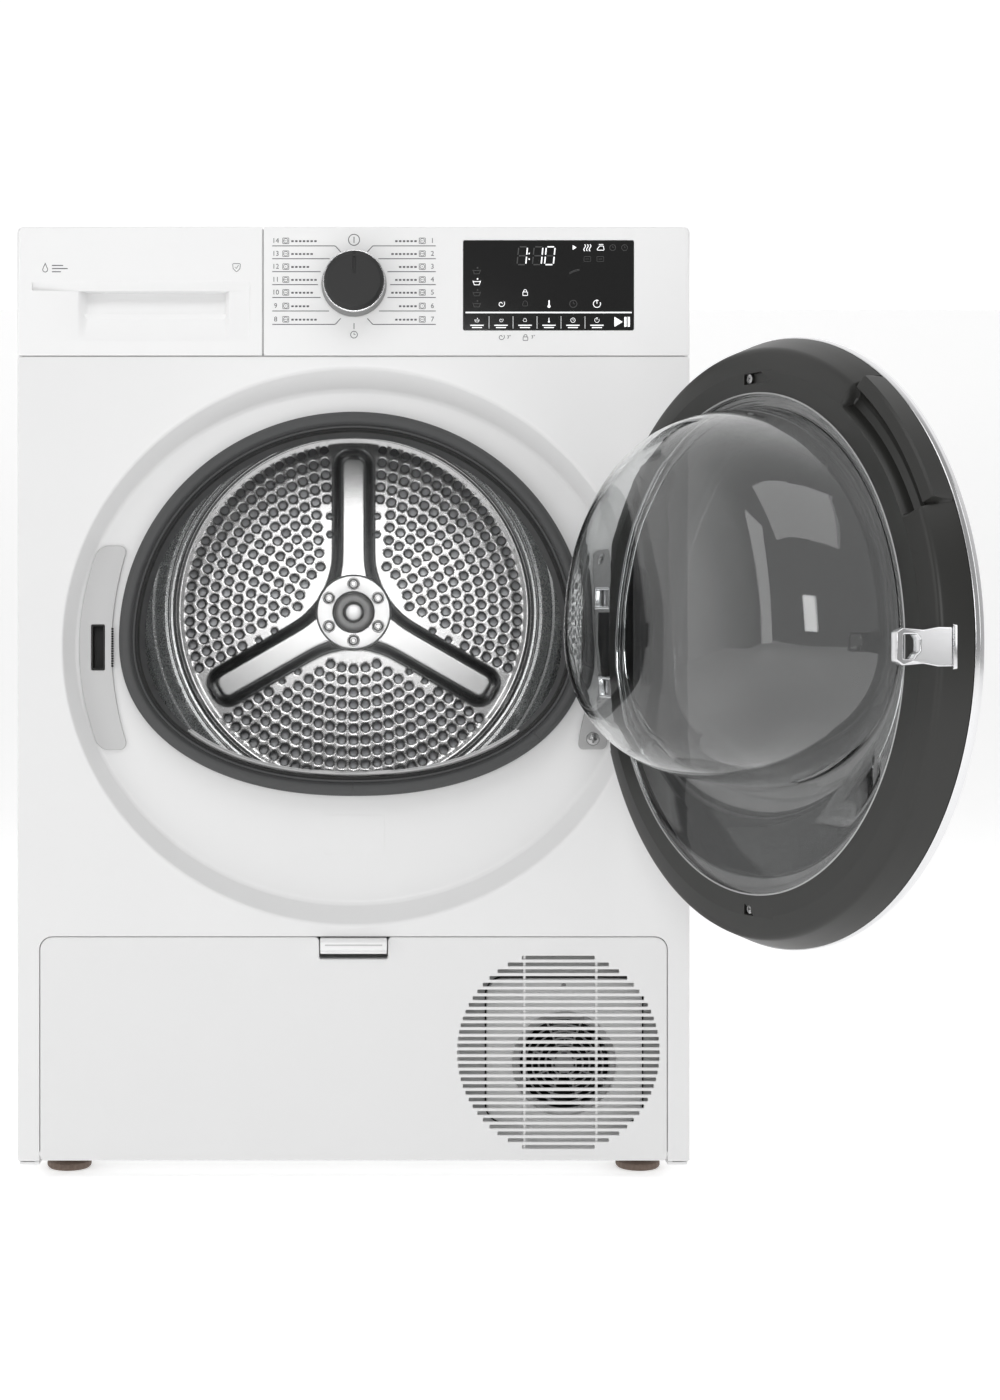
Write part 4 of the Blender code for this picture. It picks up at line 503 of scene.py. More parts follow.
def makeFrontPanel():
    # a sheet whose dished recess is the mouth ellipse drawn towards the floor ellipse down a curve
    sizes = panelSizes
    low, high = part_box("front_panel")[0].z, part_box("front_panel")[1].z
    kick, corner = sizes["kickHalf"], sizes["kickCorner"]
    outline = roundCorners([(-side, low), (-kick, low), (-kick, sizes["kickTop"]), (kick, sizes["kickTop"]),
                            (kick, low), (side, low), (side, high), (-side, high)],
                           [0.0018, 0.0018, corner, corner, 0.0018, 0.0018, 0.0018, 0.0018], 8)
    lip = roundAtSides(outline, sizes["seamRound"], sizes["sideRound"], side)
    inKick = (np.abs(outline[:, 0]) < kick + 0.0005) & (outline[:, 1] < sizes["kickTop"] + 0.0005)
    lip = np.where(inKick, sizes["kickRound"], lip)
    edge = lipRings(outline, lip, front, front + sizes["flange"], steps=6)
    edge[-1][inKick, 1] = front + 0.0150
    patches = [gridPatch(edge)]
    turn = np.arange(sizes["steps"]) * 2 * pi / sizes["steps"]
    wide, deep, bend = sizes["slopeWide"], sizes["depth"], sizes["shoulder"]
    slope = roundCorners([(-0.0045, 0), (0, 0), (wide, deep), (wide + 0.006, deep)], bend, 9, closed=False)
    slope = np.vstack([slope, [wide + 0.0075, deep]])
    share = slope[:, :1, None] / wide
    mouth, floor = [ellipseOutline(sizes[key], sizes["recessZ"], turn) for key in ("mouth", "floor")]
    rings = mouth + (floor - mouth) * share
    patches.append(gridPatch(lift(rings, front + slope[:, 1:])))
    patches.append(fillPatch([edge[0][:, (0, 2)], rings[0]], front))
    hole = openingOutline(sizes["hole"], turn)
    holes = [rings[-1], hole, boxOutline(slotSizes["x"], slotSizes["z"], 0.0012),
             boxOutline(windowSizes["x"], windowSizes["z"], 0.001)]
    patches.append(fillPatch(holes, front + deep))
    for loop in holes[1:]:
        wall = [lift(loop, front + deep), lift(loop, front + deep + sizes["sheet"])]
        patches.append(gridPatch(np.array(wall), smooth=False))
    # the back of the sheet follows the front at the sheet's thickness
    inner = grown(outline, -sizes["sheet"])
    behind = mouth + (floor - mouth) * share * 0.98
    bendAt = front + sizes["sheet"] + 0.003
    patches.append(gridPatch(np.array([edge[-1], lift(inner, edge[-1][:, 1]), lift(inner, bendAt)])))
    patches += [gridPatch(lift(behind, front + slope[:, 1:] + sizes["sheet"])),
                fillPatch([behind[-1]] + holes[1:], front + deep + sizes["sheet"])]
    innermost = grown(inner, -0.002)
    patches.append(gridPatch(np.array([lift(inner, bendAt), lift(innermost, front + sizes["sheet"])])))
    patches.append(fillPatch([innermost, behind[0]], front + sizes["sheet"]))
    addPiece("front_panel_skin", patches, whitePaint, replaces=["front_panel"])
    plate = boxOutline((-0.0268, 0.0277), (0.2747, 0.3100), 0.0012)
    addPiece("blank_plate", pillowPatches(plate, front + deep - 0.00022, front + deep, lip=0.0001),
             whitePaint)


sealSizes = {"floor": 0.0196, "nose": 0.0035, "wide": 0.0147, "neck": 0.0066, "tail": 0.0285,
             "seams": (-90.0, -9.0, -38.0), "steps": 320}


def makeSeal():
    # a soft round nose with a thin inner lip, carried round the opening; seams are shallow radial nicks
    sizes = sealSizes
    turn = np.arange(sizes["steps"]) * 2 * pi / sizes["steps"]
    nicks = [radians(a) % (2 * pi) + np.linspace(-0.006, 0.006, 9) for a in sizes["seams"]]
    turn = np.unique(np.concatenate([turn] + nicks))
    depth = np.zeros_like(turn)
    for angle in sizes["seams"]:
        depth += 0.00045 * np.exp(-((turn - radians(angle) % (2 * pi)) / 0.0016) ** 2)
    nose, floor = sizes["nose"], sizes["floor"]
    section = roundCorners([(0.0, floor), (0.0004, nose + 0.0050), (0.0045, nose), (0.0098, nose + 0.0004),
                            (0.0118, nose + 0.0042), (0.0124, nose + 0.0052), (0.0130, nose + 0.0036),
                            (sizes["wide"], nose + 0.0044), (sizes["wide"], sizes["tail"]),
                            (sizes["neck"], sizes["tail"]), (sizes["neck"], floor)],
                           [0.0004, 0.0040, 0.0045, 0.0040, 0.0005, 0.0003, 0.0006, 0.0006, 0.0006,
                            0.0006, 0.0002], 7)
    rings = []
    for margin, along in section:
        isFace = along < nose + 0.012
        rings.append(lift(openingOutline(margin, turn), front + along + depth * isFace))
    addPiece("door_seal_ring", [gridPatch(np.array(rings), wrapRows=True)], sealRubber,
             replaces=["door_seal"], angle=60)
    # a black band just inside the seal is painted shade for the dark line in the groove at the seal's inner
    # edge
    lining = [lift(openingOutline(m, turn), front + y)
              for m, y in ((0.0149, 0.0095), (0.0170, 0.0095), (0.0170, 0.0280), (0.0149, 0.0280))]
    addPiece("seal_inner_band", [gridPatch(np.array(lining), wrapRows=True)], gapBlack)


coverSizes = {"middle": 0.4600, "half": 0.0915, "left": (-0.2462, 0.0180), "right": (-0.2165, 0.0150),
              "corner": 0.0085}


def endRounded(left, right, corner):
    # the ends of a crescent: the sides draw together over the last few millimetres as a quarter circle
    top, bottom = left[-1, 1], left[0, 1]
    loops = []
    for line, toward in ((left, 1), (right, -1)):
        gap = np.minimum(top - line[:, 1], line[:, 1] - bottom)
        near = np.clip(1 - gap / corner, 0, 1)
        pull = corner * (1 - np.sqrt(1 - near ** 2))
        loops.append(np.stack([line[:, 0] + toward * pull, line[:, 1]], 1))
    return np.vstack([loops[1], loops[0][::-1]])


def sidesOf(sizes, steps=90):
    # both long sides of a crescent are parabolas in height
    height = np.sin(np.linspace(-pi / 2, pi / 2, steps))
    z = sizes["middle"] + sizes["half"] * height
    left = np.stack([sizes["left"][0] + sizes["left"][1] * height ** 2, z], 1)
    right = np.stack([sizes["right"][0] + sizes["right"][1] * height ** 2, z], 1)
    return left, right


def makeLatchCover():
    # a crescent plate with the latch slot, its ribs and the slot's lining
    left, right = sidesOf(coverSizes)
    outline = endRounded(left, right, coverSizes["corner"])
    slot = boxOutline(slotSizes["x"], slotSizes["z"], 0.0014)
    addPiece("latch_cover_plate", platePatches([outline, slot], plateFace,
                                               front + panelSizes["depth"] - 0.0003,
                                               0.0009), coverGrey, replaces=["latch_cover"])
    ribs = []
    count, low, high = 16, slotSizes["z"][0] + 0.004, slotSizes["z"][1] - 0.004
    for k in range(count):
        z = low + (high - low) * k / (count - 1)
        ribs += pillowPatches(boxOutline((-0.2170, -0.2150), (z - 0.0008, z + 0.0008), 0.0003, 2),
                              plateFace - 0.0007, plateFace + 0.0006, lip=0.0002, steps=2)
    addPiece("latch_cover_ribs", ribs, gapBlack)
    lining = [boxOutline((slotSizes["x"][0] + inset, slotSizes["x"][1] - inset),
                         (slotSizes["z"][0] + inset, slotSizes["z"][1] - inset), 0.0010)
              for inset in (0.0004, 0.0016)]
    floorAt = front + panelSizes["depth"]
    addPiece("slot_lining", platePatches(lining, floorAt - 0.0006, floorAt + 0.0016, 0.0003), blackMould)


hingeSizes = {"middle": 0.4602, "half": 0.0912, "left": 0.2119, "right": 0.2303, "flare": 0.0106,
              "draw": 0.0040, "corner": 0.0046, "eye": 0.0063, "sheet": 0.0025, "knuckle": 0.0140,
              "reach": 0.0415, "screwHole": 0.0057}


def makeHingePlate():
    # a plate that flares towards its ends, two lugs for each arm, and the pocket behind
    sizes = hingeSizes
    height = np.sin(np.linspace(-pi / 2, pi / 2, 90))
    z = sizes["middle"] + sizes["half"] * height
    flare = np.clip((np.abs(height) - 0.32) / 0.68, 0, 1)
    flare = flare * flare * (3 - 2 * flare)
    left = np.stack([sizes["left"] - sizes["flare"] * flare, z], 1)
    right = np.stack([sizes["right"] - sizes["draw"] * np.clip((np.abs(height) - 0.62) / 0.38, 0, 1), z], 1)
    outline = endRounded(left, right, sizes["corner"])
    screws = [middleOf(name) for name in ("hinge_screw_upper", "hinge_screw_lower")]
    holes = [boxOutline((windowSizes["x"][0] + 0.0004, windowSizes["x"][1] - 0.0002), windowSizes["z"],
                        0.001)]
    holes += [circleOutline(c, sizes["screwHole"], 48) for c in screws]
    floorAt = front + panelSizes["depth"] - 0.0003
    patches = platePatches([outline] + holes, plateFace, floorAt, 0.0006)
    pinLow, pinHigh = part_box("hinge_pin")
    axis = ((pinLow.x + pinHigh.x) / 2, (pinLow.y + pinHigh.y) / 2)
    doorMid = (pinLow.z + pinHigh.z) / 2
    eye, sheet, knuckle, reach = [sizes[key] for key in ("eye", "sheet", "knuckle", "reach")]
    turn = np.radians(np.linspace(60, -210, 28))
    lug = np.vstack([[(0.2100, plateFace + 0.0006), (0.2222, plateFace + 0.0006),
                      (0.2222, axis[1] + 0.0105)],
                     np.stack([axis[0] + eye * np.cos(turn), axis[1] + eye * np.sin(turn)], 1),
                     [(0.2100, axis[1] + 0.0080)]])
    arms = []
    for direction in (1, -1):
        centre = doorMid + direction * reach
        for end in (1, -1):
            near = centre + end * (knuckle / 2 + 0.0005)
            arms += pillowPatches(lug, near, near + end * sheet, "Z", lip=0.0005, steps=3)
        web = boxOutline((0.2104, 0.2220), (axis[1] + 0.0128, axis[1] + 0.0150), 0.0008, 3)
        arms += pillowPatches(web, centre - knuckle / 2 - 0.002, centre + knuckle / 2 + 0.002, "Z",
                              lip=0.0002)
    addPiece("hinge_plate_body", patches, hingeGrey, replaces=["hinge_plate"])
    addPiece("hinge_arms", arms, brightMetal)
    # the pocket behind the window is lined in near-black dimGrey: painted shade in the deep recess
    pocket = boxOutline((windowSizes["x"][0] - 0.0006, windowSizes["x"][1] + 0.0006),
                        (windowSizes["z"][0] - 0.0006, windowSizes["z"][1] + 0.0006), 0.0012)
    start = front + panelSizes["depth"] + panelSizes["sheet"]
    rows = [lift(grown(pocket, g), start + y) for g, y in ((0.0, 0.0002), (0.0, 0.024), (0.0008, 0.0248),
                                                           (0.0008, 0.0002))]
    lining = [gridPatch(np.array(rows), wrapRows=True, smooth=False)]
    lining += pillowPatches(grown(pocket, 0.0003), start + 0.0236, start + 0.0250, lip=0.0002)
    addPiece("hinge_pocket", lining, dimGrey)
    for name, centre in zip(("hinge_screw_upper", "hinge_screw_lower"), screws):
        makeCrossScrew(name + "_head", centre, plateFace - 0.0003, 0.0054, hingeScrewMetal, [name])


def makeCrossScrew(name, centre, face, radius, finish, replaces=(), body="root", matrix=None, depth=0.0022):
    # a domed head with a cross recess: the dome is a grid that sinks where the cross lies
    turn = np.arange(96) * 2 * pi / 96
    share = np.concatenate([[0.0], np.linspace(0.08, 1, 14)])
    u = centre[0] + radius * share[:, None] * np.cos(turn)
    v = centre[1] + radius * share[:, None] * np.sin(turn)
    dome = -radius * 0.22 * (1 - share[:, None] ** 2) * np.ones_like(turn)
    across = np.minimum(np.abs(u - centre[0]), np.abs(v - centre[1]))
    along = np.maximum(np.abs(u - centre[0]), np.abs(v - centre[1]))
    cross = np.clip((radius * 0.16 - across) / (radius * 0.06), 0,
                    1) * np.clip((radius * 0.62 - along) / (radius * 0.1), 0, 1)
    y = face + dome + cross * radius * 0.42
    rows = lift(np.stack([u, v], -1), y)
    rim = np.array([lift(circleOutline(centre, radius * r, 96), face + d)
                    for r, d in ((1.0, 0.0), (1.0, depth * 0.3), (0.55, depth), (0.0, depth))])
    patches = [gridPatch(rows), gridPatch(rim)]
    if matrix is not None:
        patches = moved(patches, matrix)
    return addPiece(name, patches, finish, body, replaces, angle=40)


hingeScrewMetal = makeFinish("screwZinc", (0.42, 0.42, 0.42), 0.32, 1.0, grain=500, tint=0.08)


def makeSides():
    # a side sheet with rounded folds at front and rear
    for name, direction in (("left_side_panel", -1), ("right_side_panel", 1)):
        low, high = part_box(name)
        fold, lip, sheet = 0.0030, 0.0135, 0.0014
        outer = side
        y0, y1 = low.y, high.y
        profile = roundCorners([(outer - lip, y0), (outer, y0), (outer, y1), (outer - lip, y1),
                                (outer - lip, y1 - sheet), (outer - sheet, y1 - sheet),
                                (outer - sheet, y0 + sheet), (outer - lip, y0 + sheet)],
                               [0, fold, fold, 0, 0, fold - sheet, fold - sheet, 0], 6)
        z = np.linspace(low.z, high.z, 3)
        rows = np.array([lift(profile * (direction, 1), level, "Z") for level in z])
        patches = [gridPatch(rows), fillPatch([profile * (direction, 1)], z[0], "Z"),
                   fillPatch([profile * (direction, 1)], z[-1], "Z")]
        addPiece(name + "_sheet", patches, whitePaint, replaces=[name])


def makeWorktop():
    # a board whose top edge is a quarter round, over a black strip that is painted shade in the seam
    low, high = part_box("worktop")
    wall, rounding = 0.0025, 0.0045
    outline = boxOutline((low.x, high.x), (low.y, high.y), 0.008, 8)
    rings = [lift(grown(outline, -rounding * 1.5), high.z, "Z")]
    for k in range(9):
        turn = pi / 2 * k / 8
        rings.append(lift(grown(outline, -rounding * (1 - sin(turn))), high.z - rounding
                          * (1 - cos(turn)), "Z"))
    rings += [lift(outline, low.z + 0.0008, "Z"), lift(grown(outline, -0.0006), low.z, "Z"),
              lift(grown(outline, -wall), low.z, "Z"), lift(grown(outline, -wall), high.z - wall, "Z")]
    patches = [gridPatch(np.array(rings)), fillPatch([rings[0][:, :2]], high.z, "Z"),
               fillPatch([rings[-1][:, :2]], high.z - wall, "Z")]
    addPiece("worktop_board", patches, worktopWhite, replaces=["worktop"])
    # the black strip under the board's edge is painted shade in the seam between board and cabinet
    seam = grown(outline, -0.0012)
    strip = [lift(seam, low.z - 0.0010, "Z"), lift(seam, low.z + 0.0004, "Z"),
             lift(grown(seam, -0.002), low.z + 0.0004, "Z"), lift(grown(seam, -0.002), low.z - 0.0010, "Z")]
    addPiece("worktop_seam", [gridPatch(np.array(strip), wrapRows=True, smooth=False)], gapBlack)


worktopWhite = makeFinish("worktopWhite", (0.80, 0.80, 0.80), 0.40, grain=350, dent=0.03,
                          tint=0.02)

backSizes = {"beads": (0.40, 0.62), "beadHalf": 0.20, "beadDeep": 0.0040, "sheet": 0.0012,
             "vents": (-0.20, -0.06), "ventLow": 0.075, "ventPitch": 0.016, "ventHigh": 0.0036,
             "inlet": ((0.18, 0.23), (0.09, 0.13))}


def makeBackPanel():
    # a pressed sheet with two inward beads, vent slots, the inlet opening and screws round its edge
    sizes = backSizes
    low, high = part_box("back_panel")
    outline = boxOutline((low.x, high.x), (low.z, high.z), 0.002, 4)
    holes = [boxOutline(sizes["vents"], (sizes["ventLow"] + sizes["ventPitch"] * k,
                                         sizes["ventLow"] + sizes["ventPitch"] * k + sizes["ventHigh"]),
                        0.0017, 5)
             for k in range(8)]
    holes.append(boxOutline(*sizes["inlet"], 0.001, 3))
    beads = []
    for z in sizes["beads"]:
        beads.append(boxOutline((-sizes["beadHalf"], sizes["beadHalf"]), (z - 0.030, z + 0.030), 0.026, 10))
    patches = []
    for loop in beads:
        press = roundCorners([(0.0, 0.0), (-0.006, 0.0), (-0.011, -sizes["beadDeep"]),
                              (-0.018, -sizes["beadDeep"])],
                             0.003, 6, closed=False)
        outerFace = np.array([lift(grown(loop, g), high.y + y) for g, y in press])
        innerFace = outerFace - (0, sizes["sheet"], 0)
        patches += [gridPatch(outerFace), gridPatch(innerFace)]
        floorAt = high.y - sizes["beadDeep"]
        patches += [fillPatch([outerFace[-1][:, (0, 2)]], floorAt),
                    fillPatch([innerFace[-1][:, (0, 2)]], floorAt - sizes["sheet"])]
    patches += [fillPatch([outline] + holes + beads, y) for y in (high.y, high.y - sizes["sheet"])]
    for loop in [outline] + holes:
        wall = [lift(loop, high.y), lift(loop, high.y - sizes["sheet"])]
        patches.append(gridPatch(np.array(wall), smooth=False))
    addPiece("back_panel_sheet", patches, whitePaint, replaces=["back_panel"])
    spots = [(x, z) for x in (-0.288, 0.288) for z in (0.03, 0.21, 0.40, 0.59, 0.78)]
    spots += [(x, z) for z in (0.018, 0.80) for x in (-0.15, 0.0, 0.15)]
    flip = Matrix.Translation((0, 2 * high.y, 0)) @ Matrix.Diagonal((1, -1, 1, 1))
    for k, spot in enumerate(spots):
        makeCrossScrew("back_screw_%02d" % (k + 1), spot, high.y + 0.0012, 0.0040, hingeScrewMetal,
                       matrix=flip, depth=0.0030)


def makeFeet():
    # ribbed round pads with a round collar, each turned about its own stem
    for name in ("foot_front_left", "foot_front_right", "foot_rear_left", "foot_rear_right"):
        low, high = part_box(name)
        centre = ((low.x + high.x) / 2, (low.y + high.y) / 2)
        radius = (high.x - low.x) / 2
        z = low.z
        pad = roundCorners([(0.004, z), (radius - 0.002, z), (radius, z + 0.0020), (radius, z + 0.0060),
                            (radius - 0.006, z + 0.0075), (0.0100, z + 0.0085), (0.0095, z + 0.0110),
                            (0.004, z + 0.0110)],
                           [0, 0.001, 0.001, 0.0015, 0.001, 0.001, 0.0008, 0], 4, closed=False)
        patch = cappedTurn(pad, centre, "Z", 160)
        points = patch[0]
        away = points[:, :2] - centre
        reach = np.linalg.norm(away, axis=1)
        angle = np.arctan2(away[:, 1], away[:, 0])
        ribbed = (reach > radius * 0.93) & (points[:, 2] > z + 0.001)
        scale = np.where(ribbed, 1 - 0.035 * (0.5 + 0.5 * np.cos(24 * angle)), 1.0)
        points[:, :2] = centre + away * scale[:, None]
        stemFrom = z + 0.0108
        levels = np.arange(stemFrom, high.z - 0.001, 0.0004)
        screw = np.stack([0.0038 + 0.00022 * np.cos(levels * 2 * pi / 0.0016), levels], 1)
        patches = [patch, cappedTurn(np.vstack([screw, [(0.003, high.z)]]), centre, "Z", 48)]
        addPiece(name + "_pad", patches, footBrown, body=name, replaces=[name])


# control band
knobSizes = {"radius": 0.0290, "chamfer": 0.0229, "height": 0.0250, "steps": 192}
dialSizes = {"ink": 0.00010, "line": 0.0007, "rows": (0.8168, 0.8054, 0.7939, 0.7824, 0.7710, 0.7590,
                                                      0.7471),
             "outer": 0.0726, "inner": (0.0166, 0.0216, 0.0297, 0.0320, 0.0297, 0.0222, 0.0166)}


def bandEdge(x, seam):
    # the rounding is wide along the cabinet's side and top, narrow along the seams
    outline = roundCorners([(x[0], bandBase), (x[1], bandBase), (x[1], bandTop), (x[0], bandTop)],
                           [0.0012, 0.0012, 0.0050 if x[1] == side else 0.0012,
                            0.0050 if x[0] == -side else 0.0012], 8)
    beside = np.clip((np.abs(outline[:, 0]) - (side - 0.008)) / 0.006, 0,
                     1) * np.clip((outline[:, 1] - bandBase - 0.002) / 0.006, 0, 1)
    above = np.clip((outline[:, 1] - (bandTop - 0.003)) / 0.002, 0,
                    1) * np.clip((np.abs(outline[:, 0] - seam) - 0.0015) / 0.004, 0, 1)
    return outline, 0.0008 + np.maximum(beside * 0.0028, above * 0.0014)


def makeFascia():
    # a shell with the window and the knob's bore, rounded wide at the cabinet's side
    low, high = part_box("control_fascia")
    window = windowOutline(0.0004)
    knobCentre = middleOf("selector_knob")
    outline, lip = bandEdge((low.x, side), low.x)
    holes = [window, circleOutline(knobCentre, 0.0046, 48)]
    patches = platePatches([outline] + holes, front, front + 0.0025, [lip, 0.0002, 0.0004], backOpen=True)
    inner = grown(outline, -0.0025)
    rim = np.array([lift(outline, front + 0.0025), lift(outline, high.y), lift(inner, high.y),
                    lift(inner, front + 0.0025)])
    patches += [gridPatch(rim), fillPatch([inner] + holes, front + 0.0025)]
    addPiece("fascia_shell", patches, fasciaWhite, replaces=["control_fascia"])
    return knobCentre


def windowOutline(gap):
    # the display's rectangle, grown by the gap
    low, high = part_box("display_window")
    return boxOutline((low.x - gap, high.x + gap), (low.z - gap, high.z + gap), 0.0012 + gap, 6)


def makeKnob(centre):
    # a turned cap: flat face, dark bevel, thin bright ring and a ringed grey base; the pointer is a sunk groove
    sizes = knobSizes
    face, base = front - sizes["height"], front - 0.0006
    radius, flat = sizes["radius"], sizes["chamfer"]
    groove = roundCorners([(centre[0] - 0.0013, centre[1] + 0.0058), (centre[0] + 0.0013,
                                                                      centre[1] + 0.0058),
                           (centre[0] + 0.0013, centre[1] + flat - 0.0018),
                           (centre[0] - 0.0013, centre[1] + flat - 0.0018)],
                          0.0009, 5)
    profile = roundCorners([(flat - 0.0012, face), (flat, face), (0.0256, face + 0.0016),
                            (0.0262, face + 0.0034),
                            (0.0262, face + 0.0050)], [0, 0.0006, 0.0010, 0.0005, 0], 5, closed=False)
    cap = [turnedPatch(profile, centre, steps=sizes["steps"], wrap=False),
           fillPatch([circleOutline(centre, flat - 0.0012, sizes["steps"]), groove], face),
           gridPatch(np.array([lift(groove, face), lift(grown(groove, -0.0002), face + 0.0014)])),
           fillPatch([grown(groove, -0.0002)], face + 0.0014)]
    inside = [(0.0262, face + 0.0050), (0.0240, face + 0.0050), (0.0240, face + 0.0030),
              (0.0030, face + 0.0030),
              (0.0030, front + 0.0240)]
    cap.append(turnedPatch(inside, centre, steps=sizes["steps"], wrap=False))
    cap.append(gridPatch(np.array([lift(circleOutline(centre, 0.0030, sizes["steps"]), front + 0.0240),
                                   lift(circleOutline(centre, 0.0, sizes["steps"]), front + 0.0240)])))
    addPiece("knob_cap", cap, knobBlack, body="knob", replaces=["selector_knob"])
    notch = np.radians(90 + np.linspace(-3.6, 3.6, 7))
    shell = np.array([(r, y) for r, y in profile])
    outside, behind = shell + (0.00012, -0.00012), shell - (0.0004, -0.0004)
    strip = np.vstack([outside[6:], behind[6:][::-1]])
    grid = turnedPatch(strip, centre, wrap=True, turns=notch)
    ends = [np.stack([centre[0] + strip[:, 0] * np.cos(a), strip[:, 1],
                      centre[1] + strip[:, 0] * np.sin(a)], 1)
            for a in (notch[0], notch[-1])]
    addPiece("knob_pointer", [grid] + [fanPatch(end) for end in ends], gapBlack, body="knob")
    ring = roundCorners([(0.0260, face + 0.0038), (0.0272, face + 0.0040), (0.0276, face + 0.0056),
                         (0.0262, face + 0.0058)],
                        0.0005, 4)
    addPiece("knob_ring", [turnedPatch(ring, centre, steps=sizes["steps"])], brightMetal, body="knob")
    skirt = roundCorners([(0.0262, face + 0.0052), (0.0268, face + 0.0060), (0.0270, face + 0.0120),
                          (0.0276, face + 0.0130), (0.0276, face + 0.0160), (0.0281, face + 0.0168),
                          (0.0281, face + 0.0200), (0.0288, face + 0.0212), (radius, base), (0.0240, base),
                          (0.0240, face + 0.0052)], 0.0004, 3)
    addPiece("knob_skirt", [turnedPatch(skirt, centre, steps=sizes["steps"])], skirtGrey, body="knob")


def fanPatch(loop):
    # triangles from an outline's middle to its edge, for small end caps
    middle = loop.mean(0)
    count = len(loop)
    ids = np.arange(count)
    faces = np.stack([ids, (ids + 1) % count, np.full(count, count)], 1)
    return np.vstack([loop, middle]), faces, False


skirtGrey = makeFinish("skirtGrey", (0.30, 0.30, 0.30), 0.30, 0.7, grain=500, tint=0.05)


def textPatches(words, place, size, frontAt, thick, align="CENTER"):
    # a font curve made a flat mesh, stood up in the front's plane
    curve = bpy.data.curves.new("mark", "FONT")
    curve.body, curve.size, curve.align_x, curve.align_y = words, size, align, "CENTER"
    curve.extrude, curve.resolution_u = thick / 2, 3
    holder = bpy.data.objects.new("mark", curve)
    bpy.context.collection.objects.link(holder)
    view = bpy.context.evaluated_depsgraph_get()
    mesh = bpy.data.meshes.new_from_object(holder.evaluated_get(view))
    points = np.empty(len(mesh.vertices) * 3)
    mesh.vertices.foreach_get("co", points)
    points = points.reshape(-1, 3)
    stood = np.stack([points[:, 0] + place[0], frontAt + thick / 2 - points[:, 2],
                      points[:, 1] + place[1]], 1)
    patches = [(stood, np.array([list(face.vertices)]), False) for face in mesh.polygons]
    bpy.data.objects.remove(holder, do_unlink=True)
    bpy.data.meshes.remove(mesh)
    return patches


def joinedText(patches):
    # one patch for each face size, so that the letters stay one body of points
    points, groups = patches[0][0], {}
    for _, ids, _ in patches:
        groups.setdefault(ids.shape[1], []).append(ids[0])
    return [(points, np.array(ids), False) for ids in groups.values()]


def label(words, place, size, frontAt, thick=0.0001, align="CENTER"):
    # one line of printed signs
    return joinedText(textPatches(words, place, size, frontAt, thick, align))


def makeDialMarks(centre):
    # seven rows on each side of the knob: a line, a number, a care sign and a bar code of dots
    sizes = dialSizes
    ink, line = sizes["ink"], sizes["line"]
    frontAt, backAt = front - ink, front + 0.00005
    patches = []
    for k, (z, inner) in enumerate(zip(sizes["rows"], sizes["inner"])):
        for direction in (-1, 1):
            path = [(centre[0] + direction * sizes["outer"], z), (centre[0] + direction * inner, z)]
            if k in (0, 6):
                path.append((centre[0] + direction * (inner - 0.0048), z + (-0.0054 if k == 0 else 0.0054)))
            path = roundCorners(path, 0.0022, 5, closed=False)
            patches += strokePatches(path, line, frontAt, backAt)
            number = 14 - k if direction < 0 else k + 1
            outerX = centre[0] + direction * (sizes["outer"] - 0.0030)
            patches += label(str(number), (outerX, z + 0.0045), 0.0062, frontAt, ink)
            patches += careMark(centre[0] + direction * (sizes["outer"] - 0.0120), z + 0.0044, number,
                                frontAt, backAt)
            dots = 1 + number % 3
            for d in range(4 + dots):
                bar = centre[0] + direction * (sizes["outer"] - 0.0180 - d * 0.0034)
                patches += inkSpot(boxOutline((bar - 0.0011, bar + 0.0011), (z + 0.0034, z + 0.0050),
                                              0.0003, 2), frontAt, backAt)
    power = circleOutline((centre[0], 0.8222), 0.0049, 48)
    patches += strokePatches(power, 0.0007, frontAt, backAt, closed=True)
    patches += strokePatches([(centre[0], 0.8195), (centre[0], 0.8249)], line, frontAt, backAt)
    patches += strokePatches([(centre[0], 0.7430), (centre[0], 0.7482)], line, frontAt, backAt)
    patches += clockMark(centre[0], 0.7380, 0.0030, frontAt, backAt)
    addPiece("dial_marks", patches, inkGrey)


def careMark(x, z, number, frontAt, backAt):
    # the usual sign for tumble drying: a square round a circle, with one to three dots
    patches = strokePatches(boxOutline((x - 0.0027, x + 0.0027), (z - 0.0024, z + 0.0026), 0.0004, 2),
                            0.00045,
                            frontAt, backAt, closed=True)
    patches += strokePatches(circleOutline((x, z + 0.0001), 0.0020, 20), 0.0004, frontAt, backAt,
                             closed=True)
    dots = 1 + number % 3
    for d in range(dots):
        spot = circleOutline((x + (d - (dots - 1) / 2) * 0.0012, z + 0.0001), 0.00038, 8)
        patches += inkSpot(spot, frontAt, backAt)
    return patches


def clockMark(x, z, radius, frontAt, backAt):
    # a ring with two hands
    patches = strokePatches(circleOutline((x, z), radius, 24), radius * 0.2, frontAt, backAt, closed=True)
    return patches + strokePatches(np.array([(x, z + radius * 0.6), (x, z), (x + radius * 0.45, z)]),
                                   radius * 0.18,
                                   frontAt, backAt)


displaySizes = {"ink": 0.00008, "digitHigh": 0.0158, "digitWide": 0.0078, "slant": 0.10}


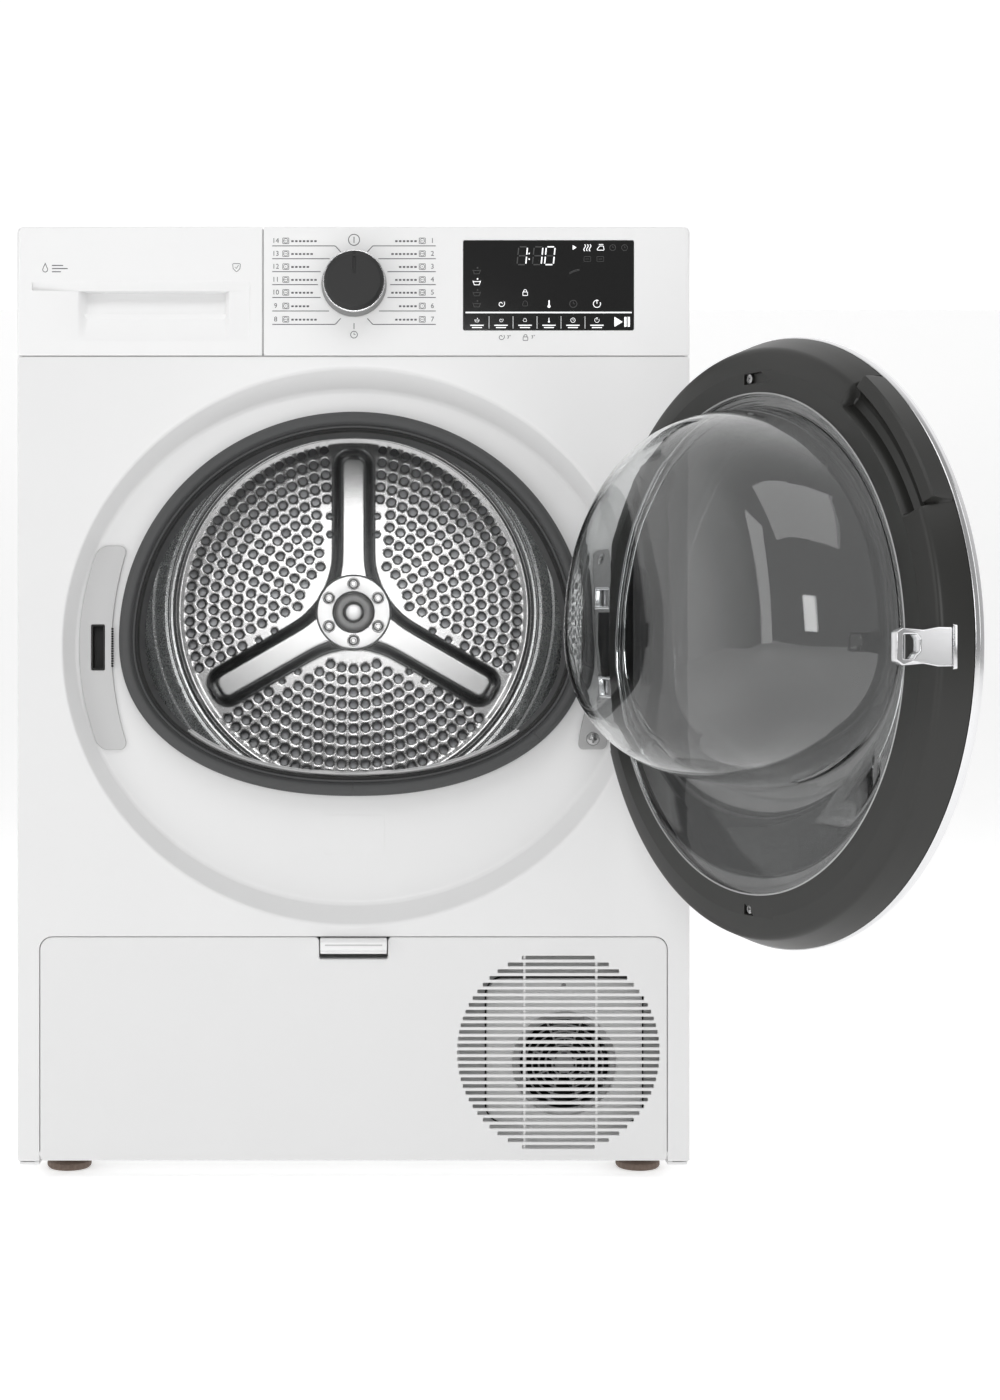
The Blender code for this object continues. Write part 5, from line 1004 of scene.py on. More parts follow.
def makeDisplay():
    # the pane, with lit and unlit signs printed on it
    low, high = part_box("display_window")
    outline = windowOutline(0.0)
    addPiece("window_pane", pillowPatches(outline, front - 0.0002 + 0.0004, high.y, lip=0.0004),
             windowBlack,
             replaces=["display_window"])
    glass = front + 0.0002
    frontAt, backAt = glass - displaySizes["ink"], glass + 0.00002
    lit, dim = [], []
    left, top = low.x, high.z
    for spot, shape, isLit in digitStrokes():
        patches = strokePatches(shape + (left + spot[0], top - spot[1]), 0.0011, frontAt, backAt)
        (lit if isLit else dim).extend(patches)
    for z in (0.0115, 0.0165):
        lit += inkSpot(circleOutline((left + 0.0583, top - z), 0.0007, 12), frontAt, backAt)
    marks = {"play": (0.0985, 0.0062), "steam": (0.1100, 0.0064), "iron": (0.1215, 0.0062)}
    lit += wedge(left + marks["play"][0], top - marks["play"][1], 0.0022, frontAt, backAt)
    lit += steamMark(left + marks["steam"][0], top - marks["steam"][1], 0.0030, frontAt, backAt)
    lit += ironMark(left + marks["iron"][0], top - marks["iron"][1], 0.0034, frontAt, backAt)
    for x in (0.1325, 0.1430):
        dim += clockMark(left + x, top - 0.0063, 0.0026, frontAt, backAt)
    for x in (0.1100, 0.1215):
        dim += strokePatches(boxOutline((left + x - 0.0030, left + x + 0.0030),
                                        (top - 0.0186, top - 0.0142), 0.0005, 2),
                             0.0004, frontAt, backAt, closed=True)
        dim += strokePatches([(left + x - 0.0016, top - 0.0164), (left + x + 0.0016, top - 0.0164)],
                             0.0004, frontAt, backAt)
    dim += featherMark(left + 0.0985, top - 0.0270, 0.0045, frontAt, backAt)
    for k in range(4):
        target = lit if k == 1 else dim
        target += basketMark(left + 0.0118, top - 0.0268 - k * 0.0098, 0.0034, frontAt, backAt)
    for k, x in enumerate((0.0335, 0.0548, 0.0760, 0.0975, 0.1185)):
        target = dim if k in (1, 3) else lit
        shapes = (swirlMark, bellMark, thermometerMark, clockMark, moonMark)
        target += shapes[k](left + x, top - 0.0562, 0.0032, frontAt, backAt)
    lit += lockMark(left + 0.0548, top - 0.0462, 0.0026, frontAt, backAt)
    lineZ = top - 0.0639
    lit += strokePatches([(left + 0.0018, lineZ), (high.x - 0.0018, lineZ)], 0.0012, frontAt, backAt)
    keys = [left + 0.0120 + k * 0.0213 for k in range(6)]
    for k, x in enumerate(keys):
        lit += keyMark(k, x, top - 0.0725, frontAt, backAt)
        if k < 5:
            lit += strokePatches([(x + 0.0107, top - 0.0672), (x + 0.0107, top - 0.0782)], 0.0003,
                                 frontAt, backAt)
    lit += wedge(left + 0.1372, top - 0.0722, 0.0046, frontAt, backAt)
    for x in (0.1438, 0.1468):
        lit += inkSpot(boxOutline((left + x - 0.0010, left + x + 0.0010), (top - 0.0766, top - 0.0678),
                                  0.0002, 2), frontAt, backAt)
    addPiece("display_lit_marks", lit, litWhite)
    addPiece("display_dim_marks", dim, dimGrey)
    under = swirlMark(left + 0.0335, low.z - 0.0062, 0.0030, front - 0.0001, front + 0.00005)
    under += lockMark(left + 0.0550, low.z - 0.0066, 0.0026, front - 0.0001, front + 0.00005)
    for x in (0.0335, 0.0550):
        under += label("3\"", (left + x + 0.0068, low.z - 0.0062), 0.0042, front - 0.0001)
    addPiece("key_hints", under, inkGrey)


def digitStrokes():
    # seven slanted strokes for each digit; the unlit ones stay dark
    high, wide, slant = displaySizes["digitHigh"], displaySizes["digitWide"], displaySizes["slant"]
    gap = 0.0009
    ends = {"a": ((0, 1), (1, 1)), "b": ((1, 1), (1, .5)), "c": ((1, .5), (1, 0)), "d": ((0, 0), (1, 0)),
            "e": ((0, .5), (0, 0)), "f": ((0, 1), (0, .5)), "g": ((0, .5), (1, .5))}
    lit = {"1": "bc", "0": "abcdef"}
    for figure, x in (("1", 0.0475), ("1", 0.0612), ("0", 0.0720)):
        for name, (start, end) in ends.items():
            start, end = np.array(start) * (wide, high), np.array(end) * (wide, high)
            step = (end - start) / np.linalg.norm(end - start) * gap
            path = np.array([start + step, end - step])
            path[:, 0] += path[:, 1] * slant
            path[:, 1] -= high
            yield (x, 0.0056), path, name in lit[figure]


def wedge(x, z, size, frontAt, backAt):
    # a filled triangle that points right
    outline = roundCorners([(x - size * 0.7, z - size), (x + size * 0.9, z), (x - size * 0.7, z + size)],
                           size * 0.08, 2)
    return inkSpot(outline, frontAt, backAt)


def steamMark(x, z, size, frontAt, backAt):
    # three sine waves side by side
    height = np.linspace(-1, 1, 12)
    patches = []
    for shift in (-0.8, 0, 0.8):
        path = np.stack([x + size * (shift + 0.25 * np.sin(height * pi)), z + height * size], 1)
        patches += strokePatches(path, size * 0.24, frontAt, backAt)
    return patches


def ironMark(x, z, size, frontAt, backAt):
    # a soleplate outline with a handle line
    outline = roundCorners([(x - size, z - size * 0.7), (x + size, z - size * 0.7),
                            (x + size * 0.8, z + size * 0.4),
                            (x - size * 0.2, z + size * 0.4)], size * 0.2, 3)
    patches = strokePatches(outline, size * 0.18, frontAt, backAt, closed=True)
    return patches + strokePatches([(x - size * 0.4, z + size * 0.8), (x + size * 0.8, z + size * 0.8)],
                                   size * 0.16,
                                   frontAt, backAt)


def featherMark(x, z, size, frontAt, backAt):
    # two parallel bent lines
    share = np.linspace(0, 1, 10)
    path = np.stack([x - size + 2 * size * share, z - size * 0.6 + size
                     * (1.2 * share - 0.5 * share ** 2)], 1)
    patches = strokePatches(path, size * 0.12, frontAt, backAt)
    return patches + strokePatches(path + (0.0, size * 0.22), size * 0.12, frontAt, backAt)


def basketMark(x, z, size, frontAt, backAt):
    # a tub's outline with a rim line and a dot over it
    tub = np.array([(x - size, z + size * 0.25), (x - size * 0.65, z - size * 0.8),
                    (x + size * 0.65, z - size * 0.8),
                    (x + size, z + size * 0.25)])
    patches = strokePatches(tub, size * 0.2, frontAt, backAt)
    patches += strokePatches([(x - size * 0.9, z + size * 0.05), (x + size * 0.9, z + size * 0.05)],
                             size * 0.18, frontAt, backAt)
    spot = circleOutline((x + size * 0.2, z + size * 0.75), size * 0.22, 10)
    return patches + inkSpot(spot, frontAt, backAt)


def swirlMark(x, z, size, frontAt, backAt):
    # a spiral whose radius grows with its angle
    turn = np.linspace(0, 2.2 * pi, 30)
    reach = size * (0.25 + 0.75 * turn / turn[-1])
    path = np.stack([x + reach * np.cos(turn), z + reach * np.sin(turn)], 1)
    return strokePatches(path, size * 0.18, frontAt, backAt)


def bellMark(x, z, size, frontAt, backAt):
    # a rounded five-cornered outline
    dome = [(x - size * 0.8, z - size * 0.6), (x - size * 0.5, z + size * 0.6), (x, z + size * 0.9),
            (x + size * 0.5, z + size * 0.6), (x + size * 0.8, z - size * 0.6)]
    return strokePatches(roundCorners(dome, size * 0.3, 4), size * 0.16, frontAt, backAt, closed=True)


def thermometerMark(x, z, size, frontAt, backAt):
    # a bulb under a stem
    stem = boxOutline((x - size * 0.18, x + size * 0.18), (z - size * 0.4, z + size * 1.05), size * 0.17, 3)
    bulb = circleOutline((x, z - size * 0.7), size * 0.42, 20)
    return (inkSpot(bulb, frontAt, backAt)
            + inkSpot(stem, frontAt, backAt))


def moonMark(x, z, size, frontAt, backAt):
    # an open ring with a stroke from its middle
    turn = np.linspace(0.35 * pi, 2.15 * pi, 24)
    ring = np.stack([x + size * np.cos(turn), z + size * np.sin(turn)], 1)
    patches = strokePatches(ring, size * 0.2, frontAt, backAt)
    return patches + strokePatches([(x, z + size * 1.15), (x, z)], size * 0.2, frontAt, backAt)


def lockMark(x, z, size, frontAt, backAt):
    # a box under a half ring
    body = boxOutline((x - size * 0.8, x + size * 0.8), (z - size, z + size * 0.2), size * 0.12, 2)
    turn = np.linspace(0, pi, 12)
    arch = np.stack([x + size * 0.5 * np.cos(turn), z + size * (0.55 + 0.45 * np.sin(turn))], 1)
    arch = np.vstack([[(x + size * 0.5, z + size * 0.2)], arch, [(x - size * 0.5, z + size * 0.2)]])
    return (strokePatches(body, size * 0.2, frontAt, backAt, closed=True)
            + strokePatches(arch, size * 0.2, frontAt, backAt))


def keyMark(k, x, z, frontAt, backAt):
    # two short bars of a generic key caption under each key's own sign
    shapes = (basketMark, swirlMark, bellMark, thermometerMark, clockMark, moonMark)
    patches = shapes[k](x, z + 0.0018, 0.0020, frontAt, backAt)
    for row, wide in ((0, 0.0060), (1, 0.0045)):
        bar = boxOutline((x - wide, x + wide), (z - 0.0032 - row * 0.0020, z - 0.0023 - row * 0.0020),
                         0.0003, 2)
        patches += inkSpot(bar, frontAt, backAt)
    return patches


# water tank drawer
drawerSizes = {
    "stripX": (-0.2858, -0.0919), "stripTop": 0.7851, "stripLow": 0.7774, "stripDeep": 0.0050,
    "slitX": (-0.2438, -0.1115), "slitDeep": 0.0185, "bowlLow": 0.7324, "wall": 0.0022,
}


def easedStep(value, start, end):
    # rises from 0 to 1 as three times the square less twice the cube
    share = np.clip((value - start) / (end - start), 0, 1)
    return share * share * (3 - 2 * share)


def makeDrawerFront():
    # depth of the hand recess as a function of x, carried down a profile with a chamfered grip strip over it
    sizes = drawerSizes
    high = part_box("tank_front")[1]
    outline, lip = bandEdge((-side, high.x), high.x)
    x0, x1 = sizes["stripX"]
    left, right = sizes["slitX"]
    x = np.unique(np.concatenate([np.linspace(x0, x0 + 0.0006, 3), np.linspace(x0 + 0.0006, left - 0.004,
                                                                               30),
                                  np.linspace(left - 0.004, left + 0.010, 30),
                                  np.linspace(left + 0.010, right - 0.006, 40),
                                  np.linspace(right - 0.006, right + 0.003, 20),
                                  np.linspace(right + 0.003, x1 - 0.0006, 12),
                                  np.linspace(x1 - 0.0006, x1, 3)]))
    inStrip = easedStep(x, x0, x0 + 0.0006) * (1 - easedStep(x, x1 - 0.0006, x1))
    shallow = sizes["stripDeep"] * easedStep(x, x0, left + 0.004) * (1 - easedStep(x, x1 - 0.0006, x1))
    deep = (sizes["slitDeep"] - sizes["stripDeep"]) * easedStep(x, left - 0.002, left + 0.007)
    deep *= 1 - easedStep(x, right - 0.004, right + 0.0015)
    depth = shallow + deep
    strip = sizes["stripDeep"] * inStrip
    rows, heights = [], []
    top, ledge, foot = sizes["stripTop"], sizes["stripLow"], sizes["bowlLow"]
    rows.append(np.zeros_like(x))
    heights.append(top + 0.0006)
    rows.append(np.zeros_like(x))
    heights.append(top)
    for share in np.linspace(0.12, 1, 5):
        rows.append(strip * share)
        heights.append(top - (top - ledge) * share)
    for share in np.linspace(0.06, 1, 6):
        rows.append(strip + np.maximum(depth - strip, 0) * share)
        heights.append(ledge - 0.00002 * share)
    rows.append(depth)
    heights.append(ledge - 0.0002)
    for share in np.linspace(0.03, 1, 34):
        curve = (1 - share) ** 1.35 * (1 + 0.25 * share)
        soft = depth * curve
        rows.append(soft)
        heights.append(ledge - 0.0002 - (ledge - foot) * share)
    rows.append(np.zeros_like(x))
    heights.append(foot - 0.0008)
    rows = np.array(rows)
    z = np.repeat(np.array(heights)[:, None], len(x), 1)
    surface = lift(np.stack([np.broadcast_to(x, z.shape), z], -1), front + rows)
    border = np.vstack([surface[0], surface[1:, -1], surface[-1, ::-1][1:], surface[1:-1, 0][::-1]])
    rings = lipRings(outline, lip, front, front + 0.0025, steps=5)
    inner = grown(outline, -0.0025)
    patches = [gridPatch(surface, wrapColumns=False), gridPatch(rings),
               fillPatch([rings[0][:, (0, 2)], border[:, (0, 2)]], front)]
    # the back of the shell: a pocket that follows the recess at the wall's thickness
    wall = sizes["wall"]
    pocket = boxOutline((x0 - 0.0004, x1 + wall), (foot - wall * 1.2, top + wall), 0.001, 3)
    floorBox = boxOutline((left - 0.003, right + 0.003), (ledge - 0.020, ledge + wall * 0.6), 0.001, 3)
    rim = np.array([rings[-1], lift(outline, high.y), lift(inner, high.y), lift(inner, front + 0.0027)])
    patches += [gridPatch(rim), fillPatch([inner, pocket], front + 0.0027)]
    sunk = front + sizes["stripDeep"] + wall
    deepest = front + sizes["slitDeep"] + wall
    patches += [gridPatch(np.array([lift(pocket, front + 0.0027), lift(pocket, sunk)]), smooth=False),
                fillPatch([pocket, floorBox], sunk),
                gridPatch(np.array([lift(floorBox, sunk), lift(floorBox, deepest)]), smooth=False),
                fillPatch([floorBox], deepest)]
    addPiece("drawer_front_shell", patches, fasciaWhite, body="tank_drawer", replaces=["tank_front"],
             angle=40)
    dropMarks = dropMark((x0 + 0.012, top + 0.012), 0.0052) + cloudMark((x1 - 0.012, top + 0.013), 0.0050)
    addPiece("drawer_marks", dropMarks, inkGrey, body="tank_drawer")


def dropMark(place, size):
    # a plain water drop for the tank, with a level line beside it
    turn = np.linspace(-0.16 * pi, 1.16 * pi, 22)
    drop = np.stack([place[0] + size * 0.42 * np.cos(turn), place[1] - size * 0.25 - size * 0.42
                     * np.sin(turn)], 1)
    drop = np.vstack([drop, [(place[0], place[1] + size * 0.8)]])
    patches = strokePatches(drop, 0.0006, front - 0.0001, front + 0.00005, closed=True)
    for k, wide in enumerate((0.010, 0.014, 0.008)):
        z = place[1] + size * 0.45 - k * 0.0028
        patches += pillowPatches(boxOutline((place[0] + 0.006, place[0] + 0.006 + wide),
                                            (z - 0.0004, z + 0.0004), 0.0002, 2),
                                 front - 0.0001, front + 0.00005, lip=0.00002, steps=1)
    return patches


def cloudMark(place, size):
    # a shield outline with a tick, for the clean filter
    shield = roundCorners([(place[0] - size * 0.7, place[1] + size * 0.6),
                           (place[0] + size * 0.7, place[1] + size * 0.6),
                           (place[0] + size * 0.6, place[1] - size * 0.3),
                           (place[0], place[1] - size * 0.9),
                           (place[0] - size * 0.6, place[1] - size * 0.3)], size * 0.2, 4)
    patches = strokePatches(shield, 0.0005, front - 0.0001, front + 0.00005, closed=True)
    tick = np.array([(place[0] - size * 0.3, place[1]), (place[0] - size * 0.05, place[1] - size * 0.3),
                     (place[0] + size * 0.35, place[1] + size * 0.3)])
    return patches + strokePatches(tick, 0.0005, front - 0.0001, front + 0.00005)


def makeBandSeams():
    # the shadow gap between drawer and fascia, and the one above the front panel
    split = (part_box("tank_front")[1].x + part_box("control_fascia")[0].x) / 2
    upright = boxOutline((split - 0.0022, split + 0.0022), (bandBase + 0.002, bandTop - 0.002), 0.0003, 2)
    across = boxOutline((-side + 0.004, side - 0.004), (bandBase - 0.0030, bandBase + 0.0010), 0.0003, 2)
    patches = pillowPatches(upright, front + 0.0030, front + 0.0060, lip=0.0002)
    addPiece("band_gap_upright", patches, coverGrey)
    addPiece("band_gap_across", pillowPatches(across, front + 0.0030, front + 0.0045, lip=0.0002),
             coverGrey)


# kick plate and service bay
kickSizes = {"corner": 0.0110, "return": 0.0155, "wall": 0.0025, "grille": (0.1819, 0.1008),
             "radius": 0.0900,
             "slits": 29, "pitch": 0.0060, "slitHigh": 0.0034, "notch": 0.0305, "notchLow": 0.1835}


def slitOutlines():
    # each slit reaches as far as the grille's circle at its height
    sizes = kickSizes
    for k in range(sizes["slits"]):
        z = sizes["grille"][1] + (k - (sizes["slits"] - 1) / 2) * sizes["pitch"]
        half = sqrt(sizes["radius"] ** 2 - (z - sizes["grille"][1]) ** 2)
        yield boxOutline((sizes["grille"][0] - half, sizes["grille"][0] + half),
                         (z - sizes["slitHigh"] / 2, z + sizes["slitHigh"] / 2), 0.0008, 3)


def makeKickPlate():
    # a tray-shaped panel with a notch at the top, a round grille of slits and two pivot pins
    sizes = kickSizes
    low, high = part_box("kick_plate")
    half, top = high.x - 0.0048, high.z
    notch, floor = sizes["notch"], sizes["notchLow"]
    outline = roundCorners([(-half, low.z), (half, low.z), (half, top), (notch, top), (notch, floor),
                            (-notch, floor), (-notch, top), (-half, top)],
                           [0.004, 0.004, sizes["corner"], 0.004, 0.002, 0.002, 0.004, sizes["corner"]], 8)
    holes = list(slitOutlines())
    wall, depth = sizes["wall"], sizes["return"]
    patches = platePatches([outline] + holes, front, front + wall, [0.0012] + [0.0004] * len(holes),
                           backOpen=True)
    inner = grown(outline, -wall)
    rim = np.array([lift(outline, front + wall), lift(outline, front + depth), lift(inner, front + depth),
                    lift(inner, front + wall)])
    patches += [gridPatch(rim), fillPatch([inner] + holes, front + wall)]
    for direction in (-1, 1):
        pin = roundCorners([(0.0022, direction * (half - 0.001)), (0.0022, direction * (half + 0.0046)),
                            (0.0016, direction * (half + 0.0048))], [0, 0.0003, 0], 2, closed=False)
        patches.append(cappedTurn(pin, (front + 0.0025, low.z + 0.0060), "X", 32))
    addPiece("kick_plate_panel", patches, kickWhite, body="kick_plate", replaces=["kick_plate"])
    ribs = []
    for x in (sizes["grille"][0] - 0.030, sizes["grille"][0] + 0.034):
        ribs += pillowPatches(boxOutline((x - 0.0011, x + 0.0011), (0.0150, 0.1870), 0.0005, 2),
                              front + wall,
                              front + wall + 0.0045, lip=0.0003)
    addPiece("kick_plate_ribs", ribs, kickWhite, body="kick_plate")


kickWhite = makeFinish("kickWhite", (0.78, 0.78, 0.78), 0.44, grain=1000, dent=0.012,
                       tint=0.012)


def makeKickTab():
    # a hooked section drawn across the tab's width; a grey strip on its face is painted shade for a groove
    low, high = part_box("kick_plate_latch")
    y0, y1, top = low.y, high.y, high.z
    outline = roundCorners([(y0, top - 0.0105), (y0, top - 0.0030), (y0 + 0.0030, top), (y1, top),
                            (y1, low.z),
                            (front + 0.0005, low.z), (front + 0.0005, top - 0.0105)],
                           [0.0018, 0.0022, 0.0022, 0.0016, 0.0016, 0.0016, 0.0012], 6)
    patches = pillowPatches(outline, low.x, high.x, "X", lip=0.0007)
    addPiece("kick_tab", patches, fasciaWhite, body="kick_latch", replaces=["kick_plate_latch"])
    # the grey strip just in front of the tab's face is painted shade where a groove would be dark
    groove = boxOutline((low.x + 0.004, high.x - 0.004), (top - 0.0062, top - 0.0048), 0.0006, 3)
    addPiece("kick_tab_groove", pillowPatches(groove, y0 - 0.0001, y0 + 0.0010, lip=0.0002), coverGrey,
             body="kick_latch")


guardSizes = {"mouth": 0.0465, "rings": (0.0108, 0.0168, 0.0228, 0.0288, 0.0348, 0.0408), "rod": 0.0009,
              "spokes": 8, "hub": 0.0085}


def makeFanGuard():
    # a plate round concentric rods that straight spokes cross, and a black ring of painted shade round it
    low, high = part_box("fan_guard")
    centre = middleOf("cooling_fan")
    outline = boxOutline((low.x, high.x), (low.z, high.z), 0.015, 12)
    mouth = circleOutline(centre, guardSizes["mouth"], 128)
    pilot = circleOutline(((low.x + high.x) / 2 - 0.0005, high.z - 0.0065), 0.0022, 24)
    patches = platePatches([outline, mouth, pilot], low.y, high.y, [0.0010, 0.0016, 0.0004])
    addPiece("fan_guard_plate", patches, mouldedWhite, replaces=["fan_guard"])
    middle = (low.y + high.y) / 2
    bars = []
    for radius in guardSizes["rings"]:
        bars.append(tubePatch(lift(circleOutline(centre, radius, 96), middle), guardSizes["rod"], 8,
                              closed=True))
    for k in range(guardSizes["spokes"]):
        turn = 2 * pi * (k + 0.5) / guardSizes["spokes"]
        away = np.array([cos(turn), sin(turn)])
        ends = [np.array(centre) + away * r for r in np.linspace(guardSizes["hub"],
                                                                 guardSizes["mouth"] + 0.0006, 6)]
        bars.append(tubePatch(lift(np.array(ends), middle + 0.0004), guardSizes["rod"] * 1.1, 8))
    cap = roundCorners([(guardSizes["hub"], middle + 0.0012), (guardSizes["hub"], middle - 0.0012),
                        (0.0060, middle - 0.0017)], [0.0003, 0.0006, 0.0006], 4, closed=False)
    bars.append(cappedTurn(cap, centre, steps=64))
    addPiece("fan_guard_bars", bars, guardGrey)
    # a black ring round the guard plate is painted shade: it stands in for the shadow in the seam between plate
    # and wall
    edge = boxOutline((low.x - 0.0016, high.x + 0.0016), (low.z - 0.0016, high.z + 0.0016), 0.0166, 12)
    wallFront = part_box("service_front")[0].y
    rows = np.array([lift(grown(edge, g), wallFront - y) for g, y in
                     ((0.0, 0.0001), (0.0, 0.0010), (-0.0014, 0.0010), (-0.0014, 0.0001))])
    addPiece("guard_gasket", [gridPatch(rows, wrapRows=True, smooth=False)], gapBlack)


guardGrey = makeFinish("guardGrey", (0.34, 0.34, 0.34), 0.4, grain=700, tint=0.04)


def makeCoolingFan():
    # pitched blades: each is a sheet whose twist eases off from hub to tip
    low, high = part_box("cooling_fan")
    centre = middleOf("cooling_fan")
    mid, halfDeep = (low.y + high.y) / 2, 0.0075
    patches = []
    hub = roundCorners([(0.0135, mid + halfDeep), (0.0135, mid - halfDeep + 0.002),
                        (0.0105, mid - halfDeep)],
                       [0, 0.0025, 0.0015], 5, closed=False)
    patches.append(cappedTurn(hub, centre, steps=64))
    radius = np.linspace(0.0125, 0.0380, 14)[:, None]
    chord = np.linspace(-1, 1, 12)[None, :]
    for k in range(7):
        pitch = np.radians(48 - 16 * (radius - 0.0125) / 0.0255)
        half = 0.0098
        turn = 2 * pi * k / 7 + chord * half * np.cos(pitch) / radius + 0.35 * (radius - 0.0125) / 0.0255
        y = mid + chord * half * np.sin(pitch) * 0.86
        sheet = lift(np.stack([centre[0] + radius * np.cos(turn), centre[1] + radius * np.sin(turn)],
                              -1), y)
        faces = [gridPatch(sheet - (0, 0.0005, 0), wrapColumns=False), gridPatch(sheet + (0, 0.0005, 0),
                                                                                 wrapColumns=False)]
        border = np.vstack([sheet[0], sheet[1:, -1], sheet[-1, ::-1][1:], sheet[1:-1, 0][::-1]])
        faces.append(gridPatch(np.array([border - (0, 0.0005, 0), border + (0, 0.0005, 0)])))
        patches += faces
    addPiece("cooling_fan_wheel", patches, blackMould, body="cooling_fan", replaces=["cooling_fan"])


def makeServiceParts():
    # the exchanger's lid and the two levers that hold it
    low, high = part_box("exchanger_cover")
    outline = boxOutline((low.x, high.x), (low.z, high.z), 0.012, 10)
    levers = ("cover_lever_left", "cover_lever_right")
    bores = [circleOutline(middleOf(node), 0.0045, 32) for node in levers]
    addPiece("exchanger_cover_lid", platePatches([outline] + bores, low.y, high.y, 0.0012), mouldedWhite,
             replaces=["exchanger_cover"])
    for node in levers:
        low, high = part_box(node)
        middle = middleOf(node)
        bar = boxOutline((low.x, high.x), (low.z, high.z), 0.0055, 10)
        face = low.y
        patches = pillowPatches(bar, face, face + 0.005, lip=0.0012)
        patches += pillowPatches(boxOutline((middle[0] - 0.0012, middle[0] + 0.0012),
                                            (low.z + 0.006, high.z - 0.006), 0.0011, 4),
                                 face, face + 0.0012, lip=0.0003)
        spindle = roundCorners([(0.0041, face + 0.004), (0.0041, high.y)], 0, closed=False)
        patches.append(cappedTurn(spindle, middle, steps=40))
        addPiece(node + "_bar", patches, blackMould, body=node.replace("cover_", ""), replaces=[node])


# drum, hub and filter
drumSizes = {"wall": 0.0012, "mouth": 0.215, "dish": 0.270, "dishDeep": 0.070, "plate": 0.2045,
             "bead": 0.1946,
             "steps": 256}
plateSizes = {"rise": 0.0090, "flat": 0.0115, "foot": 0.0232, "reach": 0.1690, "fillet": 0.030,
              "grid": 0.0022,
              "hole": 0.0042, "chamfer": 0.0050, "holeSides": 14, "rings": 10, "outerRing": 0.1809,
              "pitch": 0.01318, "spot": 0.0030}


def makeDrumShell():
    # the shell's turned profile, with rolled lips, two body beads and soft steps in the dished ring
    low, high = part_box("drum_shell")
    sizes, r = drumSizes, (high.x - low.x) / 2
    y0, y1, wall = low.y, high.y, drumSizes["wall"]
    cone = y1 - sizes["dishDeep"]
    bead = []
    for at in (0.30, 0.62):
        y = y0 + (cone - y0) * at
        bead += [(r - wall, y + 0.010), (r - wall - 0.0030, y + 0.006), (r - wall - 0.0030, y - 0.006),
                 (r - wall, y - 0.010)]
    inner = [(sizes["plate"] - 0.006, y1 - wall), (sizes["plate"] + 0.0030, y1 - wall),
             (0.2170, y1 - 0.0110), (0.2230, y1 - 0.0130), (0.2330, y1 - 0.0290), (0.2385, y1 - 0.0305),
             (0.2500, y1 - 0.0480), (sizes["dish"] - 0.004, cone + 0.006), (r - wall, cone - 0.004)]
    inner += bead[4:] + bead[:4]
    inner += [(r - wall, y0 + 0.0088), (r - 0.0066, y0 + wall), (sizes["mouth"], y0 + wall)]
    outer = [(sizes["mouth"], y0), (r - 0.006, y0), (r, y0 + 0.008), (r, cone),
             (sizes["dish"] + 0.0035, cone + 0.001),
             (sizes["plate"] + 0.0045, y1), (sizes["plate"] - 0.006, y1)]
    radii = [0.0002, 0.0015, 0.004, 0.003, 0.004, 0.003, 0.006, 0.006, 0.006] + [0.003] * 8 + [0.004,
                                                                                               0.003,
                                                                                               0.0004]
    radii += [0.0004, 0.004, 0.004, 0.006, 0.006, 0.003, 0.0003]
    profile = roundCorners(inner + outer, radii, 6)
    addPiece("drum_drum", [turnedPatch(profile, middleOf("drum_shell"), steps=sizes["steps"])], drumSteel,
             body="drum",
             replaces=["drum_shell"], angle=50)


def spokeDistance(x, z, sizes):
    # how far a point lies outside the three spokes' middle lines, drawn smoothly together round the hub
    away = []
    for angle in (90, 210, 330):
        u, v = cos(radians(angle)), sin(radians(angle))
        along, across = x * u + z * v, np.abs(-x * v + z * u)
        over = np.maximum(along - (sizes["reach"] - 0.012), 0)
        back = np.maximum(-along, 0)
        rounded = np.maximum(across, over)
        corner = np.hypot(np.maximum(across - 0.004, 0), np.maximum(over - 0.004, 0)) + 0.004
        isCorner = (over > 0.004) & (across > 0.004)
        away.append(np.where(over > 0, np.maximum(rounded, corner * isCorner), np.hypot(across, back)))
    away = np.array(away)
    fillet = sizes["fillet"] * np.clip(1.6 - np.hypot(x, z) / 0.080, 0.02, 1)
    nearest = away.min(0)
    spread = np.sum(np.exp(-(away - nearest) / (fillet * 0.42)), 0)
    return nearest - np.log(spread) * fillet * 0.42


